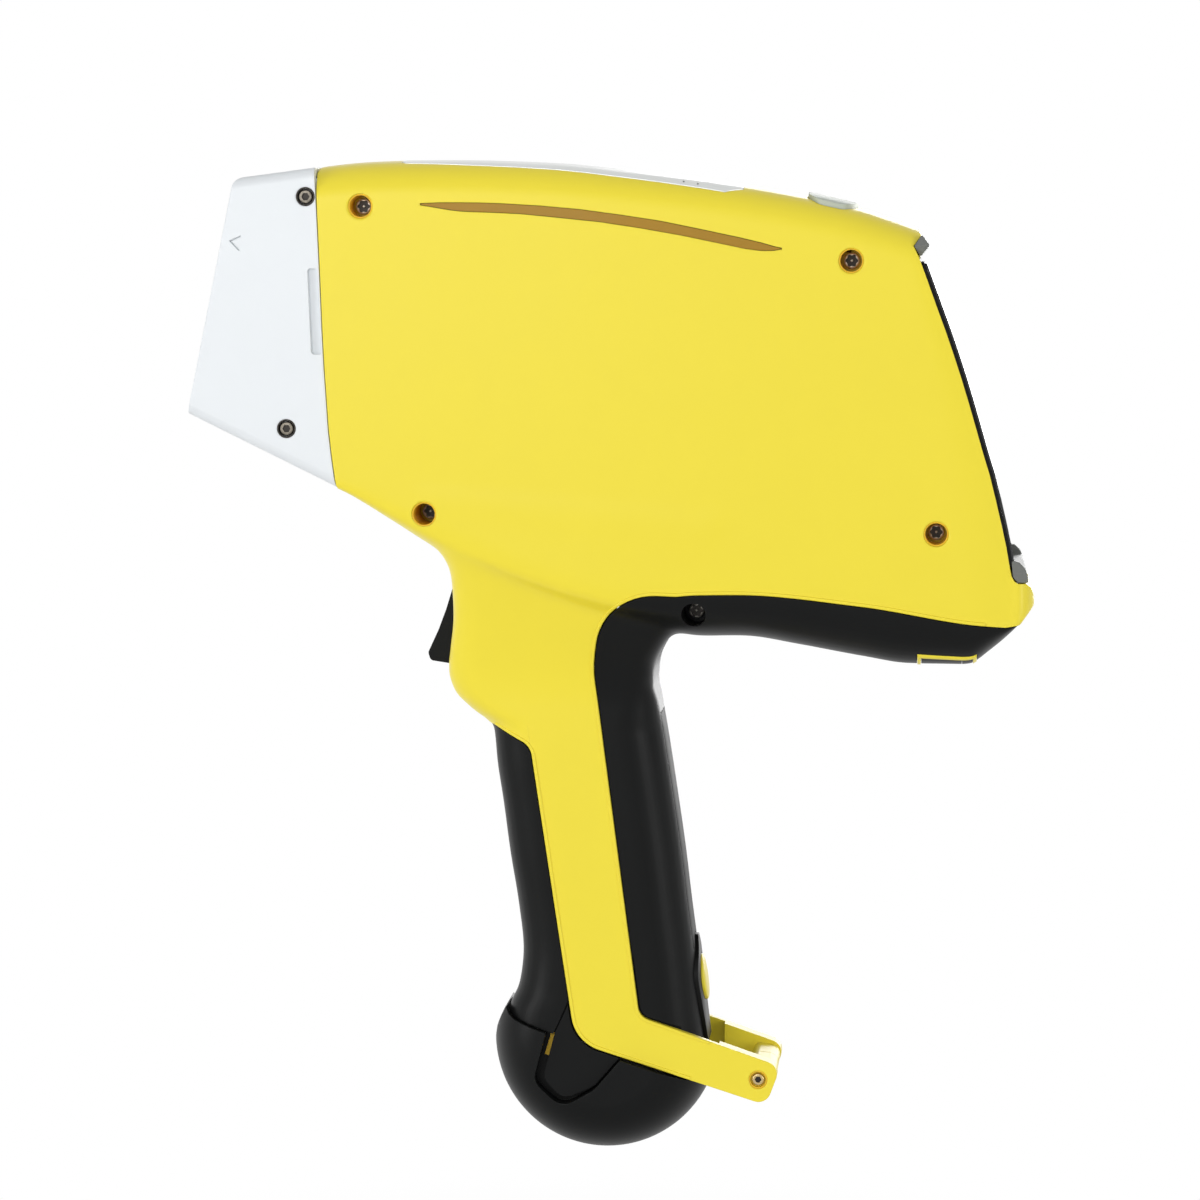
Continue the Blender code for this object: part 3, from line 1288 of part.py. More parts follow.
def button_board():
    """Small circuit board with the dome switch below the top button."""
    top = -WALL - 2 * GAP
    board = button_block(BUTTON_BOARD_MARGIN, top, top - BOARD_THICKNESS)
    return as_part(board, "button_board", "board_green")


def display_matrix():
    """Frame of the display: local X points out of the screen, local Z up its slope."""
    high = Vector((DISPLAY_TOP[0], 0.0, DISPLAY_TOP[1]))
    low = Vector((DISPLAY_BOTTOM[0], 0.0, DISPLAY_BOTTOM[1]))
    run = low - high
    angle = math.atan2(run.x, -run.z)
    return Matrix.Translation((high + low) / 2) @ Matrix.Rotation(-angle, 4, "Y"), run.length / 2


def display_slab(x, half_width, z):
    """Box in the display's own frame between two depths and two heights."""
    return box((x[0], -half_width, z[0]), (x[1], half_width, z[1]))


def place_display_piece(obj, name, material):
    """Stand a piece of the display's own frame in its place on the rear."""
    obj.data.transform(display_matrix()[0])
    return as_part(obj, name, material)


def display_opening():
    """Lower and upper end of the opening in the display's frame."""
    half = display_matrix()[1]
    return OPENING_LOW_MARGIN - half, half - OPENING_HIGH_MARGIN


def display_frame():
    """Grey frame with a guard above and below the glass."""
    matrix, half = display_matrix()
    width = BODY_HALF_WIDTH - WALL - GAP
    frame = display_slab((-DISPLAY_FRAME_DEPTH, -GAP), width, (-half - FRAME_SKIRT, half))
    root = width - FRAME_ROOT_INSET
    join(frame, display_slab(GUARD_ROOT, root, (half + GUARD_ROOT_TOP[0], half + GUARD_ROOT_TOP[1])))
    join(frame, display_slab(GUARD_ROOT, root, (-half - GUARD_ROOT_LOW[1], -half - GUARD_ROOT_LOW[0])))
    frame = frozen(cut(frame, display_slab((-REACH, REACH), OPENING_HALF_WIDTH, display_opening())))
    inside = cavity(WALL + GAP, GAP)
    inside.data.transform(matrix.inverted())
    frame = frozen(keep(frame, inside))
    top_guard = rounded([(depth, half + z, *radius) for z, depth, *radius in GUARD_TOP])
    low_guard = rounded([(depth, -half - z, *radius) for z, depth, *radius in GUARD_LOW])
    for outline in (top_guard, low_guard):
        join(frame, prism(outline, -BODY_HALF_WIDTH, BODY_HALF_WIDTH))
    return place_display_piece(frozen(frame), "display_frame", "grey")


def display_glass():
    """Black bezel and the cover glass on it."""
    half = display_matrix()[1]
    low, high = BEZEL_LOW_GAP - half, half - BEZEL_TOP_GAP
    width = BODY_HALF_WIDTH - BEZEL_INSET
    bezel = display_slab((GAP, GAP + BEZEL_THICKNESS), width, (low, high))
    margin = SCREEN_MARGIN
    cut(bezel, display_slab((-REACH, REACH), width - margin, (low + margin, high - margin)))
    place_display_piece(frozen(bezel), "display_bezel", "black")
    front = BEZEL_THICKNESS + 2 * GAP
    glass_ends = (low + BEZEL_INSET, high - BEZEL_INSET)
    glass = display_slab((front, front + GLASS_THICKNESS), width - BEZEL_INSET, glass_ends)
    return place_display_piece(glass, "display_glass", "glass")


def screen_and_board():
    """Screen panel in the frame's opening and the board behind it."""
    low, high = display_opening()
    panel = display_slab((-PANEL_THICKNESS - GAP, -GAP), OPENING_HALF_WIDTH - GAP, (low + GAP, high - GAP))
    place_display_piece(panel, "screen_panel", "glass")
    front = -DISPLAY_FRAME_DEPTH - GAP
    lap = DISPLAY_BOARD_LAP
    board = display_slab((front - BOARD_THICKNESS, front), OPENING_HALF_WIDTH + lap, (low - lap, high + lap))
    return place_display_piece(board, "display_board", "board_green")


def port_block(grow, lower):
    """Rectangular block of the port door, with its lower end at a height below the belly."""
    belly = line_z(BELLY_LINE, (PORT_FRONT_X + PORT_REAR_X) / 2)
    return box(
        (PORT_FRONT_X - grow, -PORT_HALF_WIDTH - grow, belly + lower),
        (PORT_REAR_X + grow, PORT_HALF_WIDTH + grow, belly + 2 * COVER_WALL),
    )


def port_pieces():
    """Port door under the belly with its trim, and the socket block behind it."""
    belly = line_z(BELLY_LINE, (PORT_FRONT_X + PORT_REAR_X) / 2) + PANEL_LINE
    trim_low = belly - PANEL_LINE
    trim_high = (PORT_REAR_X, PORT_HALF_WIDTH, trim_low + COVER_WALL)
    trim = box((PORT_FRONT_X, -PORT_HALF_WIDTH, trim_low), trim_high)
    inside = box(
        (PORT_FRONT_X + PORT_TRIM_WIDTH, -PORT_HALF_WIDTH + PORT_TRIM_WIDTH, -REACH),
        (PORT_REAR_X - PORT_TRIM_WIDTH, PORT_HALF_WIDTH - PORT_TRIM_WIDTH, REACH),
    )
    as_part(cut(trim, inside), "port_trim", "yellow")
    low = (PORT_FRONT_X + PORT_TRIM_WIDTH + GAP, -PORT_HALF_WIDTH + PORT_TRIM_WIDTH + GAP, trim_low)
    high = (PORT_REAR_X - PORT_TRIM_WIDTH - GAP, -low[1], trim_low + PORT_DOOR_THICKNESS)
    door = box(low, high)
    set_origin(door, (high[0], 0.0, low[2]))
    as_part(door, "port_door", "black")
    half = PORT_HALF_WIDTH + PORT_BLOCK_LAP
    bottom = belly + COVER_WALL + GAP
    low = (PORT_FRONT_X - PORT_BLOCK_LAP, -half, bottom)
    socket = box(low, (PORT_REAR_X + GAP, half, bottom + PORT_BLOCK_HEIGHT))
    as_part(socket, "port_block", "black")


def trigger_pieces():
    """Trigger, its pin and the switch behind it."""
    body = prism(rounded(TRIGGER_OUTLINE), -TRIGGER_HALF_WIDTH, TRIGGER_HALF_WIDTH)
    cut(body, rod_y(TRIGGER_PIVOT, TRIGGER_PIN_RADIUS + GAP, -REACH, REACH, 14))
    set_origin(body, (TRIGGER_PIVOT[0], 0.0, TRIGGER_PIVOT[1]))
    as_part(body, "trigger", "black")
    pin = rod_y(TRIGGER_PIVOT, TRIGGER_PIN_RADIUS, -TRIGGER_PIN_HALF_LENGTH, TRIGGER_PIN_HALF_LENGTH, 12)
    as_part(pin, "trigger_pin", "steel")


def trigger_switch():
    """Switch behind the trigger, held between a post of each shell, with its plunger towards the trigger."""
    x, z = SWITCH_PLACE
    length, width, height = SWITCH_SIZE
    switch = box((x - length / 2, -width / 2, z - height / 2), (x + length / 2, width / 2, z + height / 2))
    return as_part(switch, "trigger_switch", "black")


def nose_frame():
    """Frame at the middle of the front face: local X points into the instrument, local Z up the face."""
    axis = nose_axis()
    return Matrix.Translation(window_centre()) @ Matrix.Rotation(math.asin(axis.z), 4, "Y")


def head_point(tilt, distance, offset=0.0):
    """A point seen from the window along a tilted line, moved square to it by an offset."""
    along = Vector((math.cos(tilt), 0.0, math.sin(tilt)))
    across = Vector((-math.sin(tilt), 0.0, math.cos(tilt)))
    return nose_frame() @ (along * distance + across * offset)


def head_rod(tilt, start, end, radius, sides, offset=0.0):
    """A round shape on a tilted line through the window."""
    return rod(head_point(tilt, start, offset), head_point(tilt, end, offset), radius, sides)


def nose_box(low, high):
    """A box in the frame of the front face."""
    block = box(low, high)
    block.data.transform(nose_frame())
    return block


def front_frame():
    """Ring inside the joint that the nose is screwed to."""
    ring = nose_envelope(NOSE_WALL + GAP, FRAME_RING_FRONT, -GAP)
    cut(ring, nose_envelope(NOSE_WALL + GAP + FRAME_RING_WALL, 0.0, 0.020))
    for x, z in NOSE_SCREWS.values():
        for side in (-1, 1):
            tip = nose_screw_seat(x) - NOSE_SCREW_SHANK_LENGTH - GAP
            cut(ring, rod_y((x, z), NOSE_SCREW_SHANK_RADIUS + GAP, side * tip, side * REACH, 10))
    return as_part(ring, "front_frame", "aluminium")


def wheel_rod(start, end, radius, sides=22):
    """A round shape on the filter wheel's axis, measured from the wheel's front face."""
    return head_rod(TUBE_TILT, WHEEL_DISTANCE + start, WHEEL_DISTANCE + end, radius, sides, WHEEL_OFFSET)


def measuring_head():
    """Block behind the window with seats for the tube, the detector and the filter wheel."""
    head = nose_box((HEAD_FRONT, -HEAD_HALF_WIDTH, HEAD_LOW), (HEAD_REAR, HEAD_HALF_WIDTH, HEAD_HIGH))
    flange = nose_box(
        (HEAD_FLANGE_FRONT, -BODY_HALF_WIDTH, -BODY_HALF_WIDTH),
        (HEAD_FLANGE_FRONT + HEAD_FLANGE_THICKNESS, BODY_HALF_WIDTH, BODY_HALF_WIDTH),
    )
    keep(flange, nose_envelope(NOSE_WALL + FRAME_RING_WALL + 2 * GAP, 0.0, 0.0))
    join(head, frozen(flange))
    cut(head, head_rod(TUBE_TILT, 0.0, TUBE_START, BEAM_RADIUS, 10))
    cut(head, head_rod(TUBE_TILT, TUBE_START - GAP, TUBE_END, TUBE_RADIUS + GAP, 20))
    cut(head, head_rod(DETECTOR_TILT, 0.0, DETECTOR_START, BEAM_RADIUS, 14))
    cut(head, head_rod(DETECTOR_TILT, DETECTOR_START - GAP, DETECTOR_END, DETECTOR_RADIUS + GAP, 18))
    pocket = wheel_rod(-GAP, WHEEL_THICKNESS + GAP, WHEEL_RADIUS + 2 * GAP, 22)
    motor_end = WHEEL_THICKNESS + MOTOR_LENGTH + 2 * GAP
    join(pocket, wheel_rod(WHEEL_THICKNESS / 2, motor_end, MOTOR_RADIUS + GAP, 14))
    cut(head, frozen(pocket))
    return as_part(head, "measuring_head", "aluminium")


def filter_wheel():
    """Wheel of beam filters and the flat motor that turns it."""
    wheel = wheel_rod(0.0, WHEEL_THICKNESS, WHEEL_RADIUS)
    for k in range(WHEEL_HOLES):
        angle = 2 * math.pi * (k + 0.5) / WHEEL_HOLES
        centre = head_point(TUBE_TILT, WHEEL_DISTANCE, WHEEL_OFFSET + WHEEL_HOLE_REACH * math.cos(angle))
        centre.y += WHEEL_HOLE_REACH * math.sin(angle)
        along = (head_point(TUBE_TILT, 1.0) - head_point(TUBE_TILT, 0.0)) * WHEEL_THICKNESS
        cut(wheel, rod(centre - along, centre + along * 2, WHEEL_HOLE_RADIUS, 8))
    hub = head_point(TUBE_TILT, WHEEL_DISTANCE, WHEEL_OFFSET)
    wheel = frozen(wheel)
    set_origin(wheel, hub)
    as_part(wheel, "filter_wheel", "copper")
    start = WHEEL_THICKNESS + GAP
    as_part(wheel_rod(start, start + MOTOR_LENGTH, MOTOR_RADIUS, 16), "filter_motor", "steel")


def tube_and_detector():
    """The tube with its collar and clamp, and the detector."""
    tube = head_rod(TUBE_TILT, TUBE_START, TUBE_END, TUBE_RADIUS, 20)
    collar_start = CLAMP_START + CLAMP_LENGTH + GAP
    collar_end = collar_start + TUBE_COLLAR_LENGTH
    join(tube, head_rod(TUBE_TILT, collar_start, collar_end, TUBE_COLLAR_RADIUS, 20))
    as_part(tube, "xray_tube", "steel")
    middle = nose_frame() @ Matrix.Rotation(-TUBE_TILT, 4, "Y")
    clamp = box(
        (CLAMP_START, -CLAMP_HALF_HEIGHT, -CLAMP_HALF_HEIGHT),
        (CLAMP_START + CLAMP_LENGTH, CHASSIS_Y - GAP, CLAMP_HALF_HEIGHT),
    )
    clamp.data.transform(middle)
    cut(clamp, head_rod(TUBE_TILT, TUBE_START, TUBE_END, TUBE_RADIUS + GAP, 20))
    as_part(clamp, "tube_clamp", "aluminium")
    detector = head_rod(DETECTOR_TILT, DETECTOR_START, DETECTOR_END, DETECTOR_RADIUS, 18)
    as_part(detector, "detector", "steel")


def camera_module():
    """Small camera on the flank of the measuring head."""
    depth, width, height = CAMERA_SIZE
    front = HEAD_FRONT + CAMERA_SETBACK
    low = (front, -HEAD_HALF_WIDTH - GAP - width, -height / 2)
    high = (front + depth, -HEAD_HALF_WIDTH - GAP, height / 2)
    return as_part(nose_box(low, high), "camera_module", "black")


def chassis():
    """Plate on the right side that the electronics hang on, with clearance for the shells' posts."""
    plate = prism(list(CHASSIS_OUTLINE), CHASSIS_Y, CHASSIS_Y + CHASSIS_THICKNESS)
    for place in BODY_SCREWS.values():
        cut(plate, rod_y(place, BOSS_RADIUS + GAP, 0.0, REACH, 14))
    return as_part(plate, "chassis", "aluminium")


def electronics():
    """High voltage supply, boards, buzzer and heat sink."""
    near = CHASSIS_Y - GAP
    supply = box(HV_LOW, (HV_HIGH[0], near, HV_HIGH[1]))
    as_part(supply, "hv_supply", "grey")
    far = CHASSIS_Y + CHASSIS_THICKNESS + GAP
    back = far + BOARD_THICKNESS
    board = box((MAIN_BOARD_X[0], far, MAIN_BOARD_Z[0]), (MAIN_BOARD_X[1], back, MAIN_BOARD_Z[1]))
    face = far + BOARD_THICKNESS / 2
    for (x0, z0), (x1, z1), height in CHIPS:
        join(board, box((x0, face, z0), (x1, face + height, z1)))
    as_part(board, "main_board", "board_green")
    power_top = POWER_BOARD_Z + BOARD_THICKNESS
    power = box((POWER_BOARD_X[0], POWER_BOARD_Y, POWER_BOARD_Z), (POWER_BOARD_X[1], near, power_top))
    as_part(power, "power_board", "board_green")
    low = power_top + GAP
    buzzer = rod((*BUZZER_PLACE, low), (*BUZZER_PLACE, low + BUZZER_HEIGHT), BUZZER_RADIUS, 16)
    as_part(buzzer, "buzzer", "black")
    heat_sink()


def heat_sink():
    """Finned heat sink under the top wall."""
    sink = cavity(WALL + GAP)
    half = HEAT_SINK_HALF_WIDTH
    keep(sink, box((HEAT_SINK_X[0], -half, HEAT_SINK_Z), (HEAT_SINK_X[1], half, REACH * 1.5)))
    pitch = 2 * half / HEAT_SINK_SLOTS
    fin_top = HEAT_SINK_Z + HEAT_SINK_FIN_HEIGHT
    for k in range(HEAT_SINK_SLOTS):
        y = -half + pitch * (k + 0.5)
        cut(sink, box((-REACH, y - pitch / 4, 0.0), (REACH, y + pitch / 4, fin_top)))
    as_part(sink, "heat_sink", "aluminium")


def battery_terminals():
    """Terminal block at the top of the battery well, and the contact bar on the battery."""
    length, width, height = CONTACT_SIZE
    low = BATTERY_TOP_Z + GAP
    block = frozen(handle_solid(WALL + 2 * GAP + CORE_WALL, first=9))
    keep(block, box((-REACH, -REACH, low), (REACH, REACH, FRONT_LINE[9][1] - GAP)))
    half_x, half_y = length / 2, width / 2
    pocket_top = low + height + GAP
    cut(block, box((-half_x - GAP, -half_y - GAP, -REACH), (half_x + GAP, half_y + GAP, pocket_top)))
    as_part(block, "terminal_block", "black")
    contacts = box((-half_x, -half_y, low), (half_x, half_y, low + height))
    as_part(contacts, "battery_contacts", "copper")


def build():
    """Make every piece."""
    as_part(housing(-1), "housing_left", "yellow")
    as_part(housing(1), "housing_right", "yellow")
    make_body_screws()
    rear_cover()
    cover_screw()
    palm_strip()
    latch_cover()
    latch_button()
    front_grip()
    handle_core()
    battery_foot()
    battery_pack()
    nose_pieces()
    nose_screws()
    as_part(top_plate_solid(0.0), "top_plate", "brushed_plate")
    side_lights()
    top_button()
    button_board()
    display_frame()
    display_glass()
    screen_and_board()
    port_pieces()
    trigger_pieces()
    trigger_switch()
    front_frame()
    measuring_head()
    filter_wheel()
    tube_and_detector()
    camera_module()
    chassis()
    electronics()
    battery_terminals()


OUTER = envelope(0.0)
INNER = cavity(WALL)
MIDWALL = envelope(WALL / 2)
build()
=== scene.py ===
"""Looks for the handheld X-ray fluorescence analyzer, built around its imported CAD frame.

Units are metres in the frame's own axes: the measuring nose points along -X, the display
faces +X, +Z is up and the left side of the instrument faces -Y.
"""

import logging
import math
from dataclasses import dataclass, field
from enum import Enum
from typing import Callable, Optional, Sequence

import bmesh
import bpy
import numpy as np
from mathutils import Matrix, Vector
from mathutils.bvhtree import BVHTree


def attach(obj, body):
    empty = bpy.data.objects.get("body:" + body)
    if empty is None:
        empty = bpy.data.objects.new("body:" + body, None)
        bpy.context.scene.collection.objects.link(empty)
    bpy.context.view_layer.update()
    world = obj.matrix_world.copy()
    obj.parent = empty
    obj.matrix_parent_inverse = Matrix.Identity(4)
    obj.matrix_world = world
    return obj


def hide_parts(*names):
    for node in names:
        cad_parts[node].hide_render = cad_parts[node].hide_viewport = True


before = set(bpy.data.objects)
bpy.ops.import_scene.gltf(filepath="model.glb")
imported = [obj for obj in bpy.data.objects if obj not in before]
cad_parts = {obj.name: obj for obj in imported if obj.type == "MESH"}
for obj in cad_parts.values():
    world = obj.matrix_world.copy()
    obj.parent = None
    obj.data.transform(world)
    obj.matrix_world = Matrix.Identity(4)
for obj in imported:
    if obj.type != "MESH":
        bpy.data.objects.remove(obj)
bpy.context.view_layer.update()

LOG = logging.getLogger("xrf_analyzer")

# Farther out than the instrument reaches, and the play between neighbouring pieces
FAR = 0.4
GAP = 0.0003

Point = tuple[float, float]
Triple = tuple[float, float, float]
Corners = Sequence[tuple[float, ...]]
Mesh = bpy.types.Object
Tree = bpy.types.NodeTree
Node = bpy.types.Node
Socket = bpy.types.NodeSocket


class Side(Enum):
    """The two sides of the instrument, as the sign of their Y."""

    LEFT = -1
    RIGHT = 1

    @property
    def label(self) -> str:
        """The side as it is written in a piece's name."""
        return self.name.lower()


class Body(Enum):
    """The bodies of the frame that pieces ride on."""

    INSTRUMENT = "instrument"
    TRIGGER = "trigger"
    LATCH = "latch"
    BATTERY = "battery"
    TOP_BUTTON = "top_button"
    PORT_DOOR = "port_door"


class Slot(Enum):
    """Material slots of the record."""

    YELLOW = "yellow"
    BLACK = "black"
    SILVER_PAINT = "silver_paint"
    BRUSHED_PLATE = "brushed_plate"
    AMBER = "amber"
    GREY = "grey"
    BUTTON_GREY = "button_grey"
    GLASS = "glass"
    STEEL = "steel"


# Mesh tools


class Profile:
    """Smooth line through given stations that never swings beyond them."""

    def __init__(self, stations: Sequence[float], values: Sequence[float]) -> None:
        """Work out the slope at each station.

        Args:
            stations: Rising positions along the line.
            values: The value at each position.
        """
        self.stations = np.asarray(stations, float)
        self.values = np.asarray(values, float)
        step = np.diff(self.stations)
        rise = np.diff(self.values) / step
        slope = np.zeros_like(self.values)
        slope[0], slope[-1] = rise[0], rise[-1]
        for k in range(1, len(rise)):
            if rise[k - 1] * rise[k] > 0.0:
                before = 2 * step[k] + step[k - 1]
                after = step[k] + 2 * step[k - 1]
                slope[k] = (before + after) / (before / rise[k - 1] + after / rise[k])
        self.slope = slope

    def at(self, place: float) -> float:
        """Value of the line at a place, held at its ends.

        Args:
            place: Position along the line.

        Returns:
            The smooth value there.
        """
        place = float(np.clip(place, self.stations[0], self.stations[-1]))
        k = int(np.clip(np.searchsorted(self.stations, place) - 1, 0, len(self.stations) - 2))
        step = self.stations[k + 1] - self.stations[k]
        t = (place - self.stations[k]) / step
        low, high = self.values[k], self.values[k + 1]
        return float(
            low * (1 + 2 * t) * (1 - t) ** 2 + high * t * t * (3 - 2 * t)
            + step * (self.slope[k] * t * (1 - t) ** 2 + self.slope[k + 1] * t * t * (t - 1))
        )


def line_profile(points: Sequence[Point]) -> Profile:
    """Profile through points given as (place, value)."""
    return Profile([p[0] for p in points], [p[1] for p in points])


def to_object(bm: bmesh.types.BMesh, name: str = "shape") -> Mesh:
    """Turn a bmesh into a linked object with outward normals.

    Args:
        bm: The mesh to hand over; it is freed.
        name: Name of the object.

    Returns:
        The new object.
    """
    bmesh.ops.recalc_face_normals(bm, faces=bm.faces)
    mesh = bpy.data.meshes.new(name)
    bm.to_mesh(mesh)
    bm.free()
    made = bpy.data.objects.new(name, mesh)
    bpy.context.scene.collection.objects.link(made)
    return made


def copied(source: Mesh) -> Mesh:
    """Second object with its own copy of a mesh.

    Args:
        source: The object that is copied.

    Returns:
        The copy.
    """
    made = source.copy()
    made.data = source.data.copy()
    bpy.context.scene.collection.objects.link(made)
    return made


def drop(*objects: Mesh) -> None:
    """Remove working shapes that are no longer needed."""
    for item in objects:
        bpy.data.objects.remove(item, do_unlink=True)


def applied(target: Mesh) -> Mesh:
    """Bake an object's modifiers into its mesh.

    Args:
        target: Object whose modifiers are ready.

    Returns:
        The same object with a plain mesh.
    """
    bpy.context.view_layer.update()
    graph = bpy.context.evaluated_depsgraph_get()
    mesh = bpy.data.meshes.new_from_object(target.evaluated_get(graph), depsgraph=graph)
    target.modifiers.clear()
    target.data = mesh
    return target


def combine(target: Mesh, others: Sequence[Mesh], operation: str) -> Mesh:
    """Combine shapes at once and remove the other shapes.

    Args:
        target: Shape that is kept.
        others: Shapes that act on it.
        operation: UNION, DIFFERENCE or INTERSECT.

    Returns:
        The target with the result as its mesh.
    """
    for other in others:
        modifier = target.modifiers.new("combine", "BOOLEAN")
        modifier.operation = operation
        modifier.solver = "MANIFOLD"
        modifier.object = other
        applied(target)
        drop(other)
    return target


def cut(target: Mesh, *others: Mesh) -> Mesh:
    """Take the other shapes away from the target."""
    return combine(target, others, "DIFFERENCE")


def join(target: Mesh, *others: Mesh) -> Mesh:
    """Add the other shapes to the target."""
    return combine(target, others, "UNION")


def keep(target: Mesh, *others: Mesh) -> Mesh:
    """Keep what the target shares with the other shapes."""
    return combine(target, others, "INTERSECT")


def loft(rings: Sequence[Sequence[Triple]]) -> Mesh:
    """Closed solid through rings that have the same number of points.

    Args:
        rings: Sections in order, each a closed list of points.

    Returns:
        The solid.
    """
    bm = bmesh.new()
    rows = [[bm.verts.new(point) for point in ring] for ring in rings]
    count = len(rows[0])
    for low, high in zip(rows, rows[1:]):
        for k in range(count):
            bm.faces.new((low[k], low[(k + 1) % count], high[(k + 1) % count], high[k]))
    ends = [bm.faces.new(rows[0]), bm.faces.new(rows[-1])]
    for end in ends:
        end.normal_update()
    bmesh.ops.triangulate(bm, faces=ends, ngon_method="EAR_CLIP")
    return to_object(bm)


def prism(outline: Sequence[Point], y_one: float, y_two: float) -> Mesh:
    """Solid of a closed (x, z) outline between two places along Y."""
    low, high = sorted((y_one, y_two))
    return loft([[(x, low, z) for x, z in outline], [(x, high, z) for x, z in outline]])


def block(low: Sequence[float], high: Sequence[float]) -> Mesh:
    """Box between two corners, used to cut and to trim."""
    outline = [(low[0], low[2]), (high[0], low[2]), (high[0], high[2]), (low[0], high[2])]
    return prism(outline, low[1], high[1])


def through(outline: Sequence[Point]) -> Mesh:
    """Outline of the side view as a block right through the instrument."""
    return prism(outline, -FAR, FAR)


def along_x(outline: Sequence[Point], start: float, end: float) -> Mesh:
    """Outline of the rear view, given as (y, z), as a block along X."""
    return loft([[(x, y, z) for y, z in outline] for x in (start, end)])


def lathe(profile: Sequence[Point], place: Vector, axis: Vector, steps: int = 48) -> Mesh:
    """Solid turned round an axis.

    Args:
        profile: (radius, height) points from one end to the other; the ends close on the axis.
        place: Where height zero lies.
        axis: Direction of rising height.
        steps: Points round the axis.

    Returns:
        The turned solid.
    """
    rings = []
    turn = axis.normalized().to_track_quat("Z", "Y").to_matrix().to_4x4()
    whole = Matrix.Translation(place) @ turn
    for radius, height in profile:
        ring = []
        for k in range(steps):
            angle = 2 * math.pi * k / steps
            ring.append(tuple(whole @ Vector((radius * math.cos(angle), radius * math.sin(angle), height))))
        rings.append(ring)
    return loft(rings)


def turned_y(profile: Sequence[Point], place: Point, y: float, out: float = -1.0, steps: int = 40) -> Mesh:
    """Solid turned round an (x, z) axis along Y, rising from y by the sign of out."""
    return lathe(profile, Vector((place[0], y, place[1])), Vector((0.0, out, 0.0)), steps)


def hole_y(place: Point, radius: float, surface: float, seat: float, lip: float = 0.0005) -> Mesh:
    """Cutter for a round hole along Y with a softened mouth.

    Args:
        place: (x, z) of the axis.
        radius: Radius of the hole.
        surface: Y of the surface that it opens in.
        seat: Y of its floor.
        lip: Radius of the softened mouth.

    Returns:
        The cutter.
    """
    out = 1.0 if surface > seat else -1.0
    depth = abs(surface - seat)
    profile = [(radius, 0.0)]
    for k in range(5):
        angle = math.pi / 2 * k / 4
        profile.append((radius + lip * (1 - math.cos(angle)), depth - lip + lip * math.sin(angle)))
    profile.append((radius + lip, depth + 0.004))
    return turned_y(profile, place, seat, out)


def rounded(corners: Corners, step: float = math.radians(7.5)) -> list[Point]:
    """Closed outline whose corners are given as (u, v) or (u, v, radius).

    Args:
        corners: The corners in order.
        step: Turn between two points of a rounded corner.

    Returns:
        The outline's points.
    """
    points: list[Point] = []
    count = len(corners)
    for index, corner in enumerate(corners):
        here = Vector(corner[:2])
        radius = corner[2] if len(corner) > 2 else 0.0
        if radius <= 0.0:
            points.append((here.x, here.y))
            continue
        before = (Vector(corners[index - 1][:2]) - here).normalized()
        after = (Vector(corners[(index + 1) % count][:2]) - here).normalized()
        opening = before.angle(after)
        turn = math.pi - opening
        centre = here + (before + after).normalized() * (radius / math.sin(opening / 2))
        first = here + before * (radius / math.tan(opening / 2)) - centre
        steps = max(2, math.ceil(turn / step))
        side = 1.0 if before.x * after.y - before.y * after.x < 0 else -1.0
        for k in range(steps + 1):
            angle = side * turn * k / steps
            cos, sin = math.cos(angle), math.sin(angle)
            points.append((
                centre.x + first.x * cos - first.y * sin, centre.y + first.x * sin + first.y * cos,
            ))
    return points


def softened(target: Mesh, width: float, segments: int = 3, angle: float = 30.0) -> Mesh:
    """Round off the edges of a piece.

    Args:
        target: The piece.
        width: Width of the rounding.
        segments: Facets across it.
        angle: Smallest edge angle that is rounded, in degrees.

    Returns:
        The piece with its rounded mesh.
    """
    modifier = target.modifiers.new("edges", "BEVEL")
    modifier.width = width
    modifier.segments = segments
    modifier.limit_method = "ANGLE"
    modifier.angle_limit = math.radians(angle)
    return applied(target)


def grown(source: Mesh, distance: float) -> Mesh:
    """Copy of a dense shape moved along its normals.

    Args:
        source: Shape with even, dense faces.
        distance: How far out; negative is inwards.

    Returns:
        The moved copy.
    """
    made = copied(source)
    mesh = made.data
    count = len(mesh.vertices)
    places = np.empty(count * 3)
    normals = np.empty(count * 3)
    mesh.vertices.foreach_get("co", places)
    mesh.vertices.foreach_get("normal", normals)
    mesh.vertices.foreach_set("co", places + normals * distance)
    mesh.update()
    return made


def swept(path: Sequence[Vector], normals: Sequence[Vector], width: float, height: float) -> Mesh:
    """Low rounded bead along a path on a surface.

    Args:
        path: Points on the surface.
        normals: Surface normal at each point.
        width: Width of the bead.
        height: How far its crown stands out.

    Returns:
        The bead, half sunk in the surface.
    """
    rings = []
    for k, place in enumerate(path):
        ahead = path[min(k + 1, len(path) - 1)] - path[max(k - 1, 0)]
        across = ahead.cross(normals[k]).normalized()
        up = across.cross(ahead).normalized()
        if up.dot(normals[k]) < 0:
            up = -up
        ring = []
        for j in range(12):
            angle = 2 * math.pi * j / 12
            flat = abs(math.cos(angle)) ** 0.6 * math.copysign(1.0, math.cos(angle))
            ring.append(tuple(place + across * (width / 2 * flat) + up * (height * math.sin(angle))))
        rings.append(ring)
    return loft(rings)


# Finishes


def srgb(*channels: int) -> Triple:
    """Linear colour of a display colour whose channels run from 0 to 255."""
    shares = (value / 255.0 for value in channels)
    return tuple(s / 12.92 if s <= 0.04045 else ((s + 0.055) / 1.055) ** 2.4 for s in shares)


